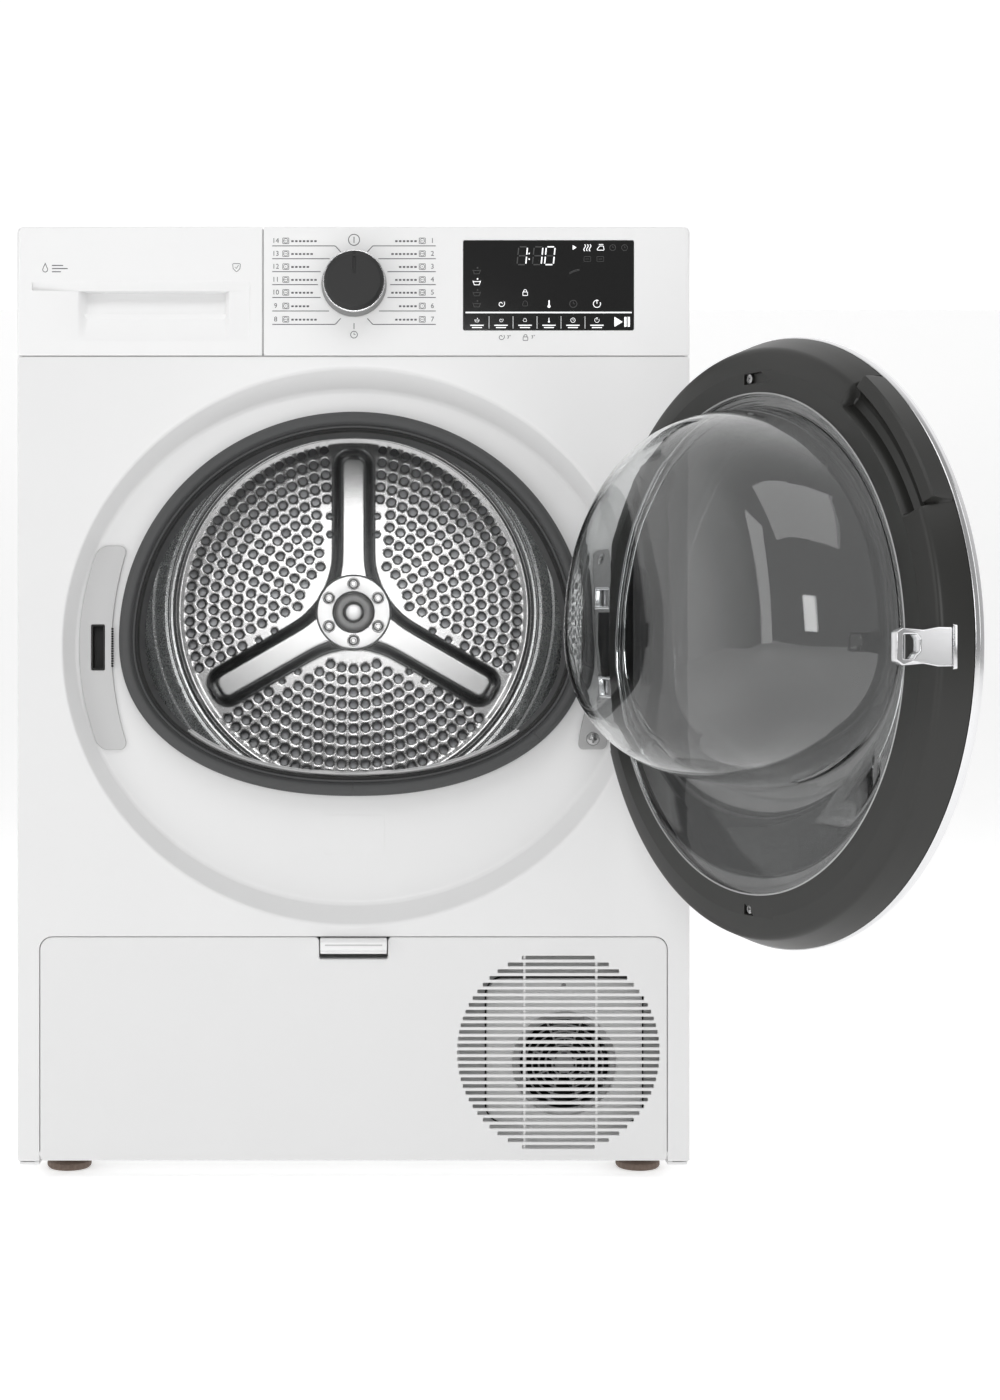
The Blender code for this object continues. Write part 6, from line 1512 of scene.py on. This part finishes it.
def makeBackPlate():
    # a steel sheet: holes on rings in three sectors, spokes raised over a smooth flank, a bead at the edge
    sizes = plateSizes
    cx, cz = middleOf("drum_shell")
    wall = drumSizes["wall"]
    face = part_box("drum_back_plate")[1].y - wall
    outer, beadAt = drumSizes["plate"], drumSizes["bead"]

    def height(x, z):
        x, z = x - cx, z - cz
        radius = np.hypot(x, z)
        raised = sizes["rise"] * (1 - easedStep(spokeDistance(x, z, sizes), sizes["flat"], sizes["foot"]))
        bead = 0.0022 * np.exp(-((radius - beadAt) / 0.0016) ** 2) + 0.0016 * np.exp(-((radius - outer
                                                                                        + 0.002) / 0.0014) ** 2)
        step = 0.0012 * easedStep(radius, beadAt - 0.008, beadAt - 0.004)
        return -np.maximum(raised, bead + step)

    holes = []
    for ring in range(sizes["rings"]):
        radius = sizes["outerRing"] - sizes["pitch"] * ring
        for middle in (30, 150, 270):
            count = int(2 * pi / 3 * radius / sizes["pitch"]) + 2
            for k in range(-count, count + 1):
                turn = radians(middle) + k * sizes["pitch"] * 0.994 / radius
                x, z = radius * cos(turn), radius * sin(turn)
                if abs(k * sizes["pitch"] / radius) > pi / 3:
                    continue
                if spokeDistance(np.array([x]), np.array([z]), sizes)[0] < sizes["foot"] + 0.0058:
                    continue
                holes.append((x, z, sizes["hole"], sizes["chamfer"]))
    for angle in (90, 210, 330):
        for direction in (-1, 1):
            for along in (0.086, 0.106, 0.126):
                turn = radians(angle)
                off = direction * (sizes["foot"] + 0.0028)
                x, z = along * cos(turn) - off * sin(turn), along * sin(turn) + off * cos(turn)
                if min(np.hypot(x - h[0], z - h[1]) for h in holes) > 0.0112:
                    holes.append((x, z, sizes["spot"], sizes["spot"] + 0.0006))
    holes = np.array(holes)
    pitch = sizes["grid"]
    i, j = np.meshgrid(np.arange(-100, 101), np.arange(-115, 116))
    points = np.stack([(i + 0.5 * (j % 2)) * pitch, j * pitch * sqrt(3) / 2], -1).reshape(-1, 2)
    radius = np.hypot(points[:, 0], points[:, 1])
    points = points[(radius < beadAt - 0.006) & (radius > 0.024)]
    for first in range(0, len(holes), 40):
        batch = holes[first:first + 40]
        gap = np.hypot(points[:, :1] - batch[:, 0], points[:, 1:] - batch[:, 1]) - batch[:, 3]
        points = points[(gap > 0.0011).all(1)]
    turn = np.arange(288) * 2 * pi / 288
    for r in np.arange(beadAt - 0.0045, outer - 0.0006, 0.0008):
        points = np.vstack([points, np.stack([r * np.cos(turn), r * np.sin(turn)], 1)])
    centre = np.array([cx, cz])
    rim = circleOutline((cx, cz), outer, 288)
    bore = circleOutline((cx, cz), 0.0225, 96)
    chamfers = [circleOutline(centre + h[:2], h[3], sizes["holeSides"]) for h in holes]
    throats = [circleOutline(centre + h[:2], h[2], sizes["holeSides"]) for h in holes]
    flat, faces = fillTriangles([rim, bore] + chamfers, points + centre)
    rise = height(flat[:, 0], flat[:, 1])
    patches = [(lift(flat, face + rise), faces, True), (lift(flat, face + rise + wall), faces, True)]
    for chamfer, throat in zip(chamfers, throats):
        y = face + height(chamfer[:, 0], chamfer[:, 1])
        rows = [lift(chamfer, y), lift(grown(chamfer, -0.0004), y + 0.0002), lift(throat, y + 0.0007),
                lift(throat, y + wall * 0.9), lift(chamfer, y + wall)]
        patches.append(gridPatch(np.array(rows)))
    for loop in (rim, bore):
        y = face + height(loop[:, 0], loop[:, 1])
        patches.append(gridPatch(np.array([lift(loop, y), lift(loop, y + wall)]), smooth=False))
    print("stage: back plate has", len(holes), "holes")
    addPiece("drum_back_disc", patches, plateSteel, body="drum", replaces=["drum_back_plate"], angle=50)


def makeHub():
    # a turned cap with a sunk ring and six screws at equal angles
    low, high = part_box("drum_hub")
    cx, cz = middleOf("drum_shell")
    face, seat = low.y, high.y - 0.046
    outer = (high.x - low.x) / 2
    profile = roundCorners([(0.0050, face), (0.0094, face + 0.0004), (0.0112, face + 0.0040),
                            (0.0212, face + 0.0044),
                            (0.0226, face + 0.0012), (outer - 0.0022, face + 0.0010),
                            (outer, face + 0.0030),
                            (outer, seat - 0.0002), (0.0120, seat - 0.0002), (0.0120, high.y)],
                           [0.002, 0.0022, 0.0016, 0.0014, 0.0012, 0.0018, 0.0018, 0.0004, 0.0006,
                            0.0004], 6, closed=False)
    addPiece("hub_cap", [cappedTurn(profile, (cx, cz), steps=192)], hubAluminium, body="drum",
             replaces=["drum_hub"],
             angle=50)
    # the thin ring at the floor of the sunk ring is darker metal: painted shade in the recess
    ring = roundCorners([(0.0118, face + 0.0041), (0.0208, face + 0.0045), (0.0208, face + 0.0040),
                         (0.0118, face + 0.0036)],
                        0.0001, 2)
    addPiece("hub_recess", [turnedPatch(ring, (cx, cz), steps=128)], hubPaintedShade, body="drum")
    for k in range(6):
        turn = radians(30 + 60 * k)
        spot = (cx + 0.031 * cos(turn), cz + 0.031 * sin(turn))
        seatRing = roundCorners([(0.0040, face + 0.0012), (0.0064, face + 0.0012), (0.0070, face + 0.0004),
                                 (0.0064, face - 0.0004), (0.0052, face - 0.0002),
                                 (0.0046, face + 0.0008)], 0.0003, 4)
        screw = roundCorners([(0.0022, face + 0.0006), (0.0026, face - 0.0005), (0.0044, face - 0.0003),
                              (0.0046, face + 0.0014)],
                             0.0004, 4, closed=False)
        addPiece("hub_screw_%d" % (k + 1), [turnedPatch(seatRing, spot, steps=64),
                                            cappedTurn(screw, spot, steps=64)],
                 hubScrew, body="drum", angle=45)


# darker metal for the hub's recess ring only, as painted shade
hubPaintedShade = makeFinish("hubPaintedShade", (0.32, 0.32, 0.32), 0.42, 1.0, grain=900, tint=0.05)
hubScrew = makeFinish("hubScrew", (0.62, 0.62, 0.62), 0.30, 1.0, grain=800, tint=0.05)


def makePaddles():
    # a lifter: a rounded ridge whose section is lofted along the drum and closed at both ends
    for k in range(3):
        name = "drum_paddle_%d" % (k + 1)
        low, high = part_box(name)
        turn = radians((90, 210, 330)[k])
        cx, cz = middleOf("drum_shell")
        foot, half, crest, top = 0.2820, 0.0300, 0.0100, 0.2363
        section = roundCorners([(sqrt(foot ** 2 - half ** 2), -half), (foot - 0.0005, 0),
                                (sqrt(foot ** 2 - half ** 2), half),
                                (top, crest), (top, -crest)], [0.0025, 0, 0.0025, 0.009, 0.009], 8)
        u = cx + section[:, 0] * cos(turn) - section[:, 1] * sin(turn)
        v = cz + section[:, 0] * sin(turn) + section[:, 1] * cos(turn)
        addPiece(name + "_lifter", pillowPatches(np.stack([u, v], 1), low.y, high.y, lip=0.0014, steps=6),
                 coverGrey,
                 body="drum", replaces=[name])


filterSizes = {"cell": 0.0052, "strand": 0.00055, "margin": 0.0187, "rod": 0.0010,
               "fingers": (0.0115, 0.0380), "fingerDeep": (0.0060, 0.0240)}


def tunnelFloor(x, margin):
    # the lower half of the opening as a height over x
    half, down, power = openingSizes["half"] - margin, openingSizes["down"] - margin, openingSizes["power"]
    inside = np.clip(1 - np.abs(x / half) ** power, 0, 1)
    return openingSizes["z"] - down * inside ** (1 / power)


def makeFilter():
    # two sets of slanted strands cross over the floor of the opening, inside a rim with two finger slots
    low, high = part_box("lint_filter")
    sizes = filterSizes
    y0, y1 = low.y, high.y
    x0, x1 = low.x, high.x
    margin, rod = sizes["margin"], sizes["rod"]
    x = np.linspace(x0, x1, 121)
    top = tunnelFloor(x, margin) - 0.0030
    outline = np.vstack([np.stack([x, top], 1), [(x1, low.z), (x0, low.z)]])
    addPiece("filter_cassette", pillowPatches(outline, y0, y1, lip=0.0006, steps=3), coverGrey,
             body="lint_filter",
             replaces=["lint_filter"])
    patches = []

    def strand(pathX, pathY, thick, raised):
        z = tunnelFloor(pathX, margin) - 0.0006 + raised
        return tubePatch(np.stack([pathX, pathY, z], 1), thick, 6)

    span = y1 - y0 - 0.0030
    tilt = span * 0.92
    starts = np.arange(x0 - tilt + 0.002, x1 - 0.002, sizes["cell"])
    for direction, over in ((1, 0.0003), (-1, -0.0003)):
        for start in starts:
            share = np.linspace(0, 1, 9)
            pathX = start + tilt * share
            pathY = y0 + 0.0015 + span * (share if direction > 0 else 1 - share)
            keep = (pathX > x0 + 0.0015) & (pathX < x1 - 0.0015)
            if keep.sum() > 2:
                patches.append(strand(pathX[keep], pathY[keep], sizes["strand"], over))
    addPiece("filter_net", patches, filterWhite, body="lint_filter")
    rim = []
    for y in (y0 + 0.0011, y1 - 0.0011):
        rim.append(tubePatch(np.stack([x, np.full_like(x, y), tunnelFloor(x, margin) - 0.0004], 1), rod, 8))
    for end in (x0 + 0.0011, x1 - 0.0011):
        rim.append(tubePatch(np.stack([np.full(4, end), np.linspace(y0 + 0.0011, y1 - 0.0011, 4),
                                       tunnelFloor(np.full(4, end), margin) - 0.0004], 1), rod, 8))
    near, far = sizes["fingers"]
    for direction in (-1, 1):
        edge = boxOutline((direction * (near + far) / 2 - (far - near) / 2,
                           direction * (near + far) / 2 + (far - near) / 2),
                          (y0 + sizes["fingerDeep"][0], y0 + sizes["fingerDeep"][1]), 0.0085, 8)
        path = np.stack([edge[:, 0], edge[:, 1], tunnelFloor(edge[:, 0], margin) + 0.0002], 1)
        rim.append(tubePatch(path, 0.0011, 8, closed=True))
        z = float(tunnelFloor(np.array([direction * (near + far) / 2]), margin)[0])
        # a thin black plate inside each finger slot's rim is painted shade, standing in for the slot's dark
        # hollow
        slotShade = pillowPatches(grown(edge, -0.0006), z - 0.0010, z + 0.0002, "Z", lip=0.0002)
        addPiece("filter_finger_slot_%s" % ("left" if direction < 0 else "right"), slotShade, gapBlack,
                 body="lint_filter")
    addPiece("filter_rim", rim, filterWhite, body="lint_filter")


# tunnel from the opening to the drum
tunnelSizes = {"margin": 0.0137, "wall": 0.0030, "start": 0.0300, "end": 0.0880, "sheetAt": 0.0700,
               "sheet": 0.0015,
               "plate": (0.2963, 0.205, 0.716)}


def makeTunnel():
    # a lined tube that follows the opening's outline, with a flanged sheet behind the front panel
    sizes = tunnelSizes
    turn = np.arange(320) * 2 * pi / 320
    outside, inside = openingOutline(sizes["margin"], turn), openingOutline(sizes["margin"]
                                                                            + sizes["wall"], turn)
    x, low, high = sizes["plate"]
    plate = boxOutline((-x, x), (low, high), 0.004, 4)
    first, second = front + sizes["sheetAt"], front + sizes["sheetAt"] + sizes["sheet"]
    end, start = front + sizes["end"], front + sizes["start"]
    slotX, slotY = (-0.1490, 0.1490), (front + 0.0340, front + 0.0640)
    rows = np.array([lift(outside, first), lift(outside, start), lift(inside, start + 0.0004),
                     *[lift(inside, y) for y in np.linspace(start + 0.0012, slotY[0], 3)]])
    tail = np.array([*[lift(inside, y) for y in np.linspace(slotY[1], end - 0.0012, 4)],
                     lift(grown(inside, 0.0006), end), lift(outside, end), lift(outside, second)])
    middle = np.array([lift(inside, y) for y in (slotY[0], (slotY[0] + slotY[1]) / 2, slotY[1])])
    sides = (np.abs(inside[:, 0]) > slotX[1]) | (inside[:, 1] > openingSizes["z"])
    points, faces, smooth = gridPatch(middle)
    columns = faces[:, 0] % len(turn)
    faces = faces[sides[columns] | sides[(columns + 1) % len(turn)]]
    patches = [gridPatch(rows), gridPatch(tail), (points, faces, smooth)]
    patches += [fillPatch([plate, outside], first), fillPatch([plate, outside], second),
                gridPatch(np.array([lift(plate, first), lift(plate, second)]), smooth=False)]
    covered = np.flatnonzero(~sides)
    strip = inside[np.concatenate([[covered[0] - 1], covered, [covered[-1] + 1]])]
    floor = np.stack([strip[:, 0], np.full(len(strip), 0.2145)], 1)
    for y in slotY:
        patches.append(gridPatch(np.array([lift(strip, y), lift(floor, y)]), wrapColumns=False,
                                 smooth=False))
    ends = np.array([[lift(strip[k], slotY[0]), lift(strip[k], slotY[1])] for k in (0, -1)])
    lows = np.array([[lift(floor[k], slotY[0]), lift(floor[k], slotY[1])] for k in (0, -1)])
    for k in (0, 1):
        patches.append(gridPatch(np.array([ends[k], lows[k]]), wrapColumns=False, smooth=False))
    patches.append(gridPatch(np.array([lift(floor, slotY[0]), lift(floor, slotY[1])]), wrapColumns=False,
                             smooth=False))
    for name in ("support_roller_left", "support_roller_right"):
        low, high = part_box(name)
        axle = roundCorners([(0.005, second - 0.0003), (0.005, high.y + 0.010), (0.004, high.y + 0.011)],
                            0.0004, 3, closed=False)
        patches.append(cappedTurn(axle, middleOf(name), steps=48))
    addPiece("tunnel_wall", patches, tunnelGrey, replaces=["front_bulkhead"])


tunnelGrey = makeFinish("tunnelGrey", (0.075, 0.077, 0.078), 0.5, grain=900, dent=0.02,
                        tint=0.06)


# door: modelled shut, then swung out with its hinge
doorSizes = {"swing": 114.4, "z": 0.4627, "radius": 0.2400, "rimFront": -0.0360, "rimBack": -0.0265,
             "plane": -0.0006, "steps": 360,
             "cut": (0.2080, 0.0920), "grip": (125.0, 155.0)}
frameProfile = [(0.2120, -0.0006), (0.2136, -0.0008), (0.2200, -0.0018), (0.2262, -0.0029),
                (0.2285, -0.0035),
                (0.2302, -0.0047), (0.2312, -0.0066), (0.2330, -0.0110), (0.2352, -0.0165),
                (0.2374, -0.0220),
                (0.2386, -0.0261), (0.2350, -0.0261), (0.2250, -0.0040), (0.1981, -0.0031),
                (0.1981, -0.0111),
                (0.1956, -0.0111), (0.1956, -0.0016), (0.1960, -0.0007)]
gripProfile = [(0.2120, -0.0006), (0.2128, -0.0018), (0.2138, -0.0060), (0.2150, -0.0108),
               (0.2178, -0.0128),
               (0.2225, -0.0128), (0.2262, -0.0112), (0.2284, -0.0078), (0.2298, -0.0062),
               (0.2378, -0.0082),
               (0.2392, -0.0100), (0.2392, -0.0261), (0.2250, -0.0150), (0.1981, -0.0031),
               (0.1981, -0.0111),
               (0.1956, -0.0111), (0.1956, -0.0016), (0.1960, -0.0007)]


def doorMatrix():
    low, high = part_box("hinge_pin")
    place = Matrix.Translation(((low.x + high.x) / 2, (low.y + high.y) / 2, 0))
    return place @ Matrix.Rotation(radians(doorSizes["swing"]), 4, "Z") @ place.inverted()


def addDoorPiece(name, patches, finish, replaces=(), angle=32):
    # a piece modelled shut, turned out to where the door stands
    return addPiece(name, moved(patches, doorMatrix()), finish, "door", replaces, angle)


def makeDoorRim():
    # a turned bright ring with a rounded nose
    r, outside, inside = doorSizes["radius"], doorSizes["rimFront"], doorSizes["rimBack"]
    profile = roundCorners([(r - 0.007, outside + 0.0006), (r - 0.0035, outside - 0.0004),
                            (r - 0.0010, outside + 0.0016),
                            (r, -0.0300), (r - 0.0006, inside), (r - 0.007, inside)],
                           [0.0003, 0.0016, 0.0016, 0.0030, 0.0006, 0.0002], 6)
    addDoorPiece("door_rim_ring", [turnedPatch(profile + (0, front), (0, doorSizes["z"]), steps=360)],
                 brightMetal,
                 ["door_rim"])


def makeOuterPanel():
    # a shallow crown: its height over the rim falls off as the square of the radius
    edge, plane, crown = 0.2324, doorSizes["rimFront"] + 0.0010, 0.0044
    r = np.concatenate([np.linspace(0.004, edge - 0.004, 40), [edge - 0.0015, edge - 0.0005, edge]])
    rise = crown * (1 - (r / edge) ** 2)
    outside = np.stack([r, plane - rise + np.clip(r - edge + 0.0015, 0, 1) ** 2 * 250], 1)
    inside = np.stack([r, plane - rise * 0.95 + 0.0030], 1)[::-1]
    addDoorPiece("door_outer_shell", [cappedTurn(np.vstack([outside, inside]) + (0, front),
                                                 (0, doorSizes["z"]), steps=256)],
                 smokedGlass, ["door_outer_panel"])


def makeInnerFrame():
    # the frame's profile goes round the door; between the grip's ends it changes over to the grip's
    # profile, and beside the hinge every radius is held back to the cut
    low, high = [radians(a) for a in doorSizes["grip"]]
    cutX, cutZ = doorSizes["cut"]
    corner = atan2(cutZ, cutX)
    turn = np.arange(doorSizes["steps"]) * 2 * pi / doorSizes["steps"]
    extra = [low + np.linspace(-0.014, 0.014, 9), high + np.linspace(-0.014, 0.014, 9)]
    extra += [np.array([corner - 0.0004, corner + 0.0004]),
              2 * pi - np.array([corner - 0.0004, corner + 0.0004])]
    turn = np.unique(np.concatenate([turn] + extra))
    isGrip = np.where((turn > low - 0.010) & (turn < high + 0.010),
                      np.minimum(easedStep(turn, low - 0.008, low + 0.008),
                                 1 - easedStep(turn, high - 0.008, high + 0.008)), 0)
    plain, grip = np.array(frameProfile), np.array(gripProfile)
    profile = plain[:, None] * (1 - isGrip[:, None]) + grip[:, None] * isGrip[:, None]
    r, depth = profile[..., 0], profile[..., 1]
    near = np.minimum(turn, 2 * pi - turn) < corner
    limit = cutX - 0.0022 * (np.arange(len(r)) > 10)[:, None]
    r = np.where(near, np.minimum(r, limit / np.maximum(np.cos(turn), 0.1)), r)
    rows = lift(np.stack([r * np.cos(turn), doorSizes["z"] + r * np.sin(turn)], -1), front + depth)
    outerLoop, innerLoop = rows[0][:, (0, 2)], rows[-1][:, (0, 2)]
    pockets = [boxOutline((-0.0360, 0.0020), (doorSizes["z"] + s * 0.2070 - 0.0047,
                                              doorSizes["z"] + s * 0.2070 + 0.0040), 0.0012, 4)
               for s in (-1, 1)]
    patches = [gridPatch(rows), fillPatch([outerLoop, innerLoop] + pockets, front + doorSizes["plane"]),
               gridPatch(np.array([rows[-1], lift(innerLoop, front + doorSizes["plane"])]))]
    for pocket in pockets:
        walls = np.array([lift(pocket, front + doorSizes["plane"]), lift(grown(pocket, -0.0003),
                                                                         front - 0.0009),
                          lift(grown(pocket, -0.0004), front - 0.0050)])
        patches += [gridPatch(walls), fillPatch([grown(pocket, -0.0004)], front - 0.0050)]
    addDoorPiece("door_ring_frame", patches, doorBlack, ["door_inner_frame"], angle=35)
    turnAround = Matrix.Rotation(pi, 4, "Z")
    for name, direction in (("upper", 1), ("lower", -1)):
        place = Matrix.Translation((-0.0050, front - 0.0010, 0))
        makeCrossScrew("frame_screw_" + name, (0.0, doorSizes["z"] + direction * 0.2068), 0.0, 0.0036,
                       hingeScrewMetal,
                       body="door", matrix=doorMatrix() @ place @ turnAround, depth=0.0040)
    trim = lift(circleOutline((0, doorSizes["z"]), 0.1953, 320), front - 0.0009)
    addDoorPiece("glass_trim", [tubePatch(trim, 0.0007, 10, closed=True)], trimGrey)


doorBlack = makeFinish("doorBlack", (0.014, 0.014, 0.0125), 0.40, grain=1400, dent=0.010,
                       tint=0.08, roughSpread=0.05)
trimGrey = makeFinish("trimGrey", (0.42, 0.42, 0.42), 0.3, grain=900, tint=0.02)

bowlSizes = {"margin": 0.0235, "deep": 0.0960, "glass": 0.0030, "centreZ": 0.4950, "flange": 0.1950,
             "reach": 0.19,
             "steps": 256}


def makeBowl():
    # the opening's outline draws in towards the drum as a rounded bowl; a stepped flange joins it to a circle
    sizes = bowlSizes
    turn = np.arange(sizes["steps"]) * 2 * pi / sizes["steps"]
    base = openingOutline(sizes["margin"], turn)
    centre = np.array([0, sizes["centreZ"]])
    flange = np.stack([sizes["flange"] * np.cos(turn), doorSizes["z"] + sizes["flange"] * np.sin(turn)], 1)
    reach = sizes["reach"]
    curve = roundCorners(np.array([(1.0, 0.0), (0.985, 0.22), (0.955, 0.46), (0.895, 0.68), (0.78, 0.86),
                                   (0.56, 0.965),
                                   (0.28, 1.0), (0.0, 1.003)]) * (reach, sizes["deep"]), 1.0, 5,
                         closed=False) / (reach, 1.0)
    plane = front + doorSizes["plane"] - 0.0010
    steps = [(1.0, 0.0), (0.985, 0.0), (0.80, 0.0), (0.78, -0.0010), (0.46, -0.0010), (0.44, -0.0022),
             (0.12, -0.0022),
             (0.05, -0.0018), (0.018, -0.0006)]
    rows = [lift(base + (flange - base) * share, plane + depth) for share, depth in steps]
    rows += [lift(centre + (base - centre) * share, plane + depth) for share, depth in curve]
    inner = []
    thin = sizes["glass"] / reach
    for share, depth in curve[::-1]:
        inner.append(lift(centre + (base - centre) * max(share - thin * min(1, share * 4), 0),
                          plane + depth - sizes["glass"]))
    inner += [lift(base + (flange - base) * share, plane + depth - sizes["glass"]) for share,
              depth in steps[::-1]]
    patches = [gridPatch(np.array(rows)), gridPatch(np.array(inner)),
               gridPatch(np.array([inner[-1], rows[0]]))]
    addDoorPiece("door_glass", patches, clearGlass, ["door_bowl"], angle=60)


def bothFaces(loops, low, high, axis, lip):
    # a plate made of two halves that meet in its middle, each with a rounded face
    middle = (low + high) / 2
    return [patch for face in (low, high) for patch in platePatches(loops, face, middle, lip, axis,
                                                                    backOpen=True)]


def makeLatchHook():
    # a waisted plate with a chamfered end and a window; its outer side leans in over the last few millimetres
    x, z = -0.2290, 0.4603
    tip, half = front + 0.0348, 0.0041
    def hookLoop(points, radius):
        return roundCorners([(front + u, z + v) for u, v in points], radius, 5)
    outline = hookLoop([(-0.0120, -0.0138), (0.0005, -0.0138), (0.0130, -0.0118), (0.0300, -0.0129),
                        (0.0348, -0.0098),
                        (0.0348, 0.0098), (0.0300, 0.0129), (0.0130, 0.0118), (0.0005, 0.0138),
                        (-0.0120, 0.0138)],
                       [0.0015, 0.006, 0.012, 0.003, 0.002, 0.002, 0.003, 0.012, 0.006, 0.0015])
    window = hookLoop([(0.0190, -0.0052), (0.0160, -0.0030), (0.0160, 0.0050), (0.0190, 0.0085),
                       (0.0298, 0.0085),
                       (0.0298, -0.0085), (0.0215, -0.0085)], 0.0012)
    patches = bothFaces([outline, window[::-1]], x - half, x + half, "X", 0.0009)
    leaning = []
    for points, faces, smooth in patches:
        share = np.clip((points[:, 1] - tip + 0.0100) / 0.0100, 0, 1)
        low = x - half + 0.0012 * share
        points = points.copy()
        points[:, 0] = np.where(points[:, 0] < x, low + (points[:, 0] - x + half) * (x - low) / half,
                                points[:, 0])
        leaning.append((points, faces, smooth))
    leaning += pillowPatches(boxOutline((x - 0.0054, x + 0.0054), (z - 0.0158, z + 0.0158), 0.0014, 3),
                             front - 0.0149, front - 0.0116, lip=0.0004)
    addDoorPiece("latch_hook_plate", leaning, brightMetal, ["door_latch_hook"])


def makeHinge():
    # the pin, the knuckles round it and the plate inside the frame
    low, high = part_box("hinge_pin")
    axis = ((low.x + high.x) / 2, (low.y + high.y) / 2)
    pin = roundCorners([(0.0024, low.z), (0.0029, low.z + 0.0005), (0.0029, high.z - 0.0005),
                        (0.0024, high.z)],
                       [0, 0.0004, 0.0004, 0], 3, closed=False)
    addPiece("hinge_pin_rod", [cappedTurn(pin, axis, "Z", 48)], brightMetal, "door", ["hinge_pin"])
    patches = pillowPatches(boxOutline((0.1990, 0.2064), (axis[1] + 0.0046, axis[1] + 0.0119), 0.0014, 3),
                            doorSizes["z"] - 0.0598, doorSizes["z"] + 0.0598, "Z", lip=0.0006)
    for middle in (doorSizes["z"] - 0.0415, doorSizes["z"] + 0.0415):
        bottom, top = middle - 0.0069, middle + 0.0069
        knuckle = roundCorners([(0.0033, bottom), (0.0059, bottom), (0.0059, top), (0.0033, top)],
                               0.0005, 4)
        patches.append(turnedPatch(knuckle, axis, "Z", 64))
        web = roundCorners([(0.2050, axis[1] + 0.0052), (0.2050, axis[1] + 0.0108),
                            (axis[0] - 0.0022, axis[1] + 0.0054),
                            (axis[0] - 0.0040, axis[1] + 0.0004)], 0.0004, 3)
        patches += pillowPatches(web, bottom + 0.0005, top - 0.0005, "Z", lip=0.0005)
    addDoorPiece("hinge_knuckles", patches, brightMetal, ["hinge_bracket"])


# floor
def makeFloor():
    # a broad pale sheet that curls up behind the object
    along = np.concatenate([np.linspace(-4.0, 3.0, 3), 3.0 + 1.5 * np.sin(np.linspace(0, pi / 2, 12)[1:])])
    up = np.concatenate([np.zeros(3), 1.5 * (1 - np.cos(np.linspace(0, pi / 2, 12)[1:]))]) - 0.012
    rows = np.array([[(x, y, z) for x in (-5.0, 5.0)] for y, z in zip(along, up)])
    points, faces, _ = gridPatch(rows, wrapColumns=False)
    mesh = bpy.data.meshes.new("floor")
    mesh.from_pydata(points.tolist(), [], faces[:, ::-1].tolist())
    mesh.polygons.foreach_set("use_smooth", [True] * len(faces))
    mesh.materials.append(paleFloor)
    floor = bpy.data.objects.new("floor", mesh)
    bpy.context.collection.objects.link(floor)


paleFloor = makeFinish("paleFloor", (0.86, 0.86, 0.86), 0.7, grain=40, dent=0.02, tint=0.005,
                       sockets=glow((1.0, 1.0, 1.0), 0.42))
serviceGrey = makeFinish("serviceGrey", (0.50, 0.50, 0.50), 0.5, grain=900, tint=0.02)


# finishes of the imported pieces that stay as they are
carriedOver = {
    "base_tray": mouldedWhite, "control_board": boardGreen, "door_lock": blackMould,
               "rear_bulkhead": zincSteel,
    "drum_bearing": zincSteel, "motor": motorGrey, "fan_scroll": coverGrey, "drive_belt": sealRubber,
    "compressor": compressorBlack, "heat_exchanger": finAluminium, "service_front": serviceGrey,
    "mains_inlet": blackMould, "motor_shaft": zincSteel, "process_fan": blackMould, "idler_arm": zincSteel,
    "idler_pulley": blackMould, "support_roller_left": sealRubber, "support_roller_right": sealRubber,
    "water_tank": mouldedWhite, "door_catch": zincSteel,
}


def finishCarriedOver():
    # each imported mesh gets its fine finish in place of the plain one
    for name, finish in carriedOver.items():
        piece = bpy.data.objects[name]
        for place in piece.material_slots:
            place.material = finish


setCamera()
setLights()
setRoom()
makeFloor()
print("stage: camera, light and floor")
makeFrontPanel()
makeSeal()
makeLatchCover()
makeHingePlate()
makeSides()
makeWorktop()
makeBackPanel()
makeFeet()
print("stage: cabinet")
knobCentre = makeFascia()
makeKnob(knobCentre)
makeDialMarks(knobCentre)
makeDisplay()
makeDrawerFront()
makeBandSeams()
print("stage: controls")
makeKickPlate()
makeKickTab()
makeFanGuard()
makeCoolingFan()
makeServiceParts()
print("stage: service bay")
makeTunnel()
makeDrumShell()
makeBackPlate()
makeHub()
makePaddles()
makeFilter()
print("stage: drum")
makeDoorRim()
makeOuterPanel()
makeInnerFrame()
makeBowl()
makeLatchHook()
makeHinge()
print("stage: door")
finishCarriedOver()
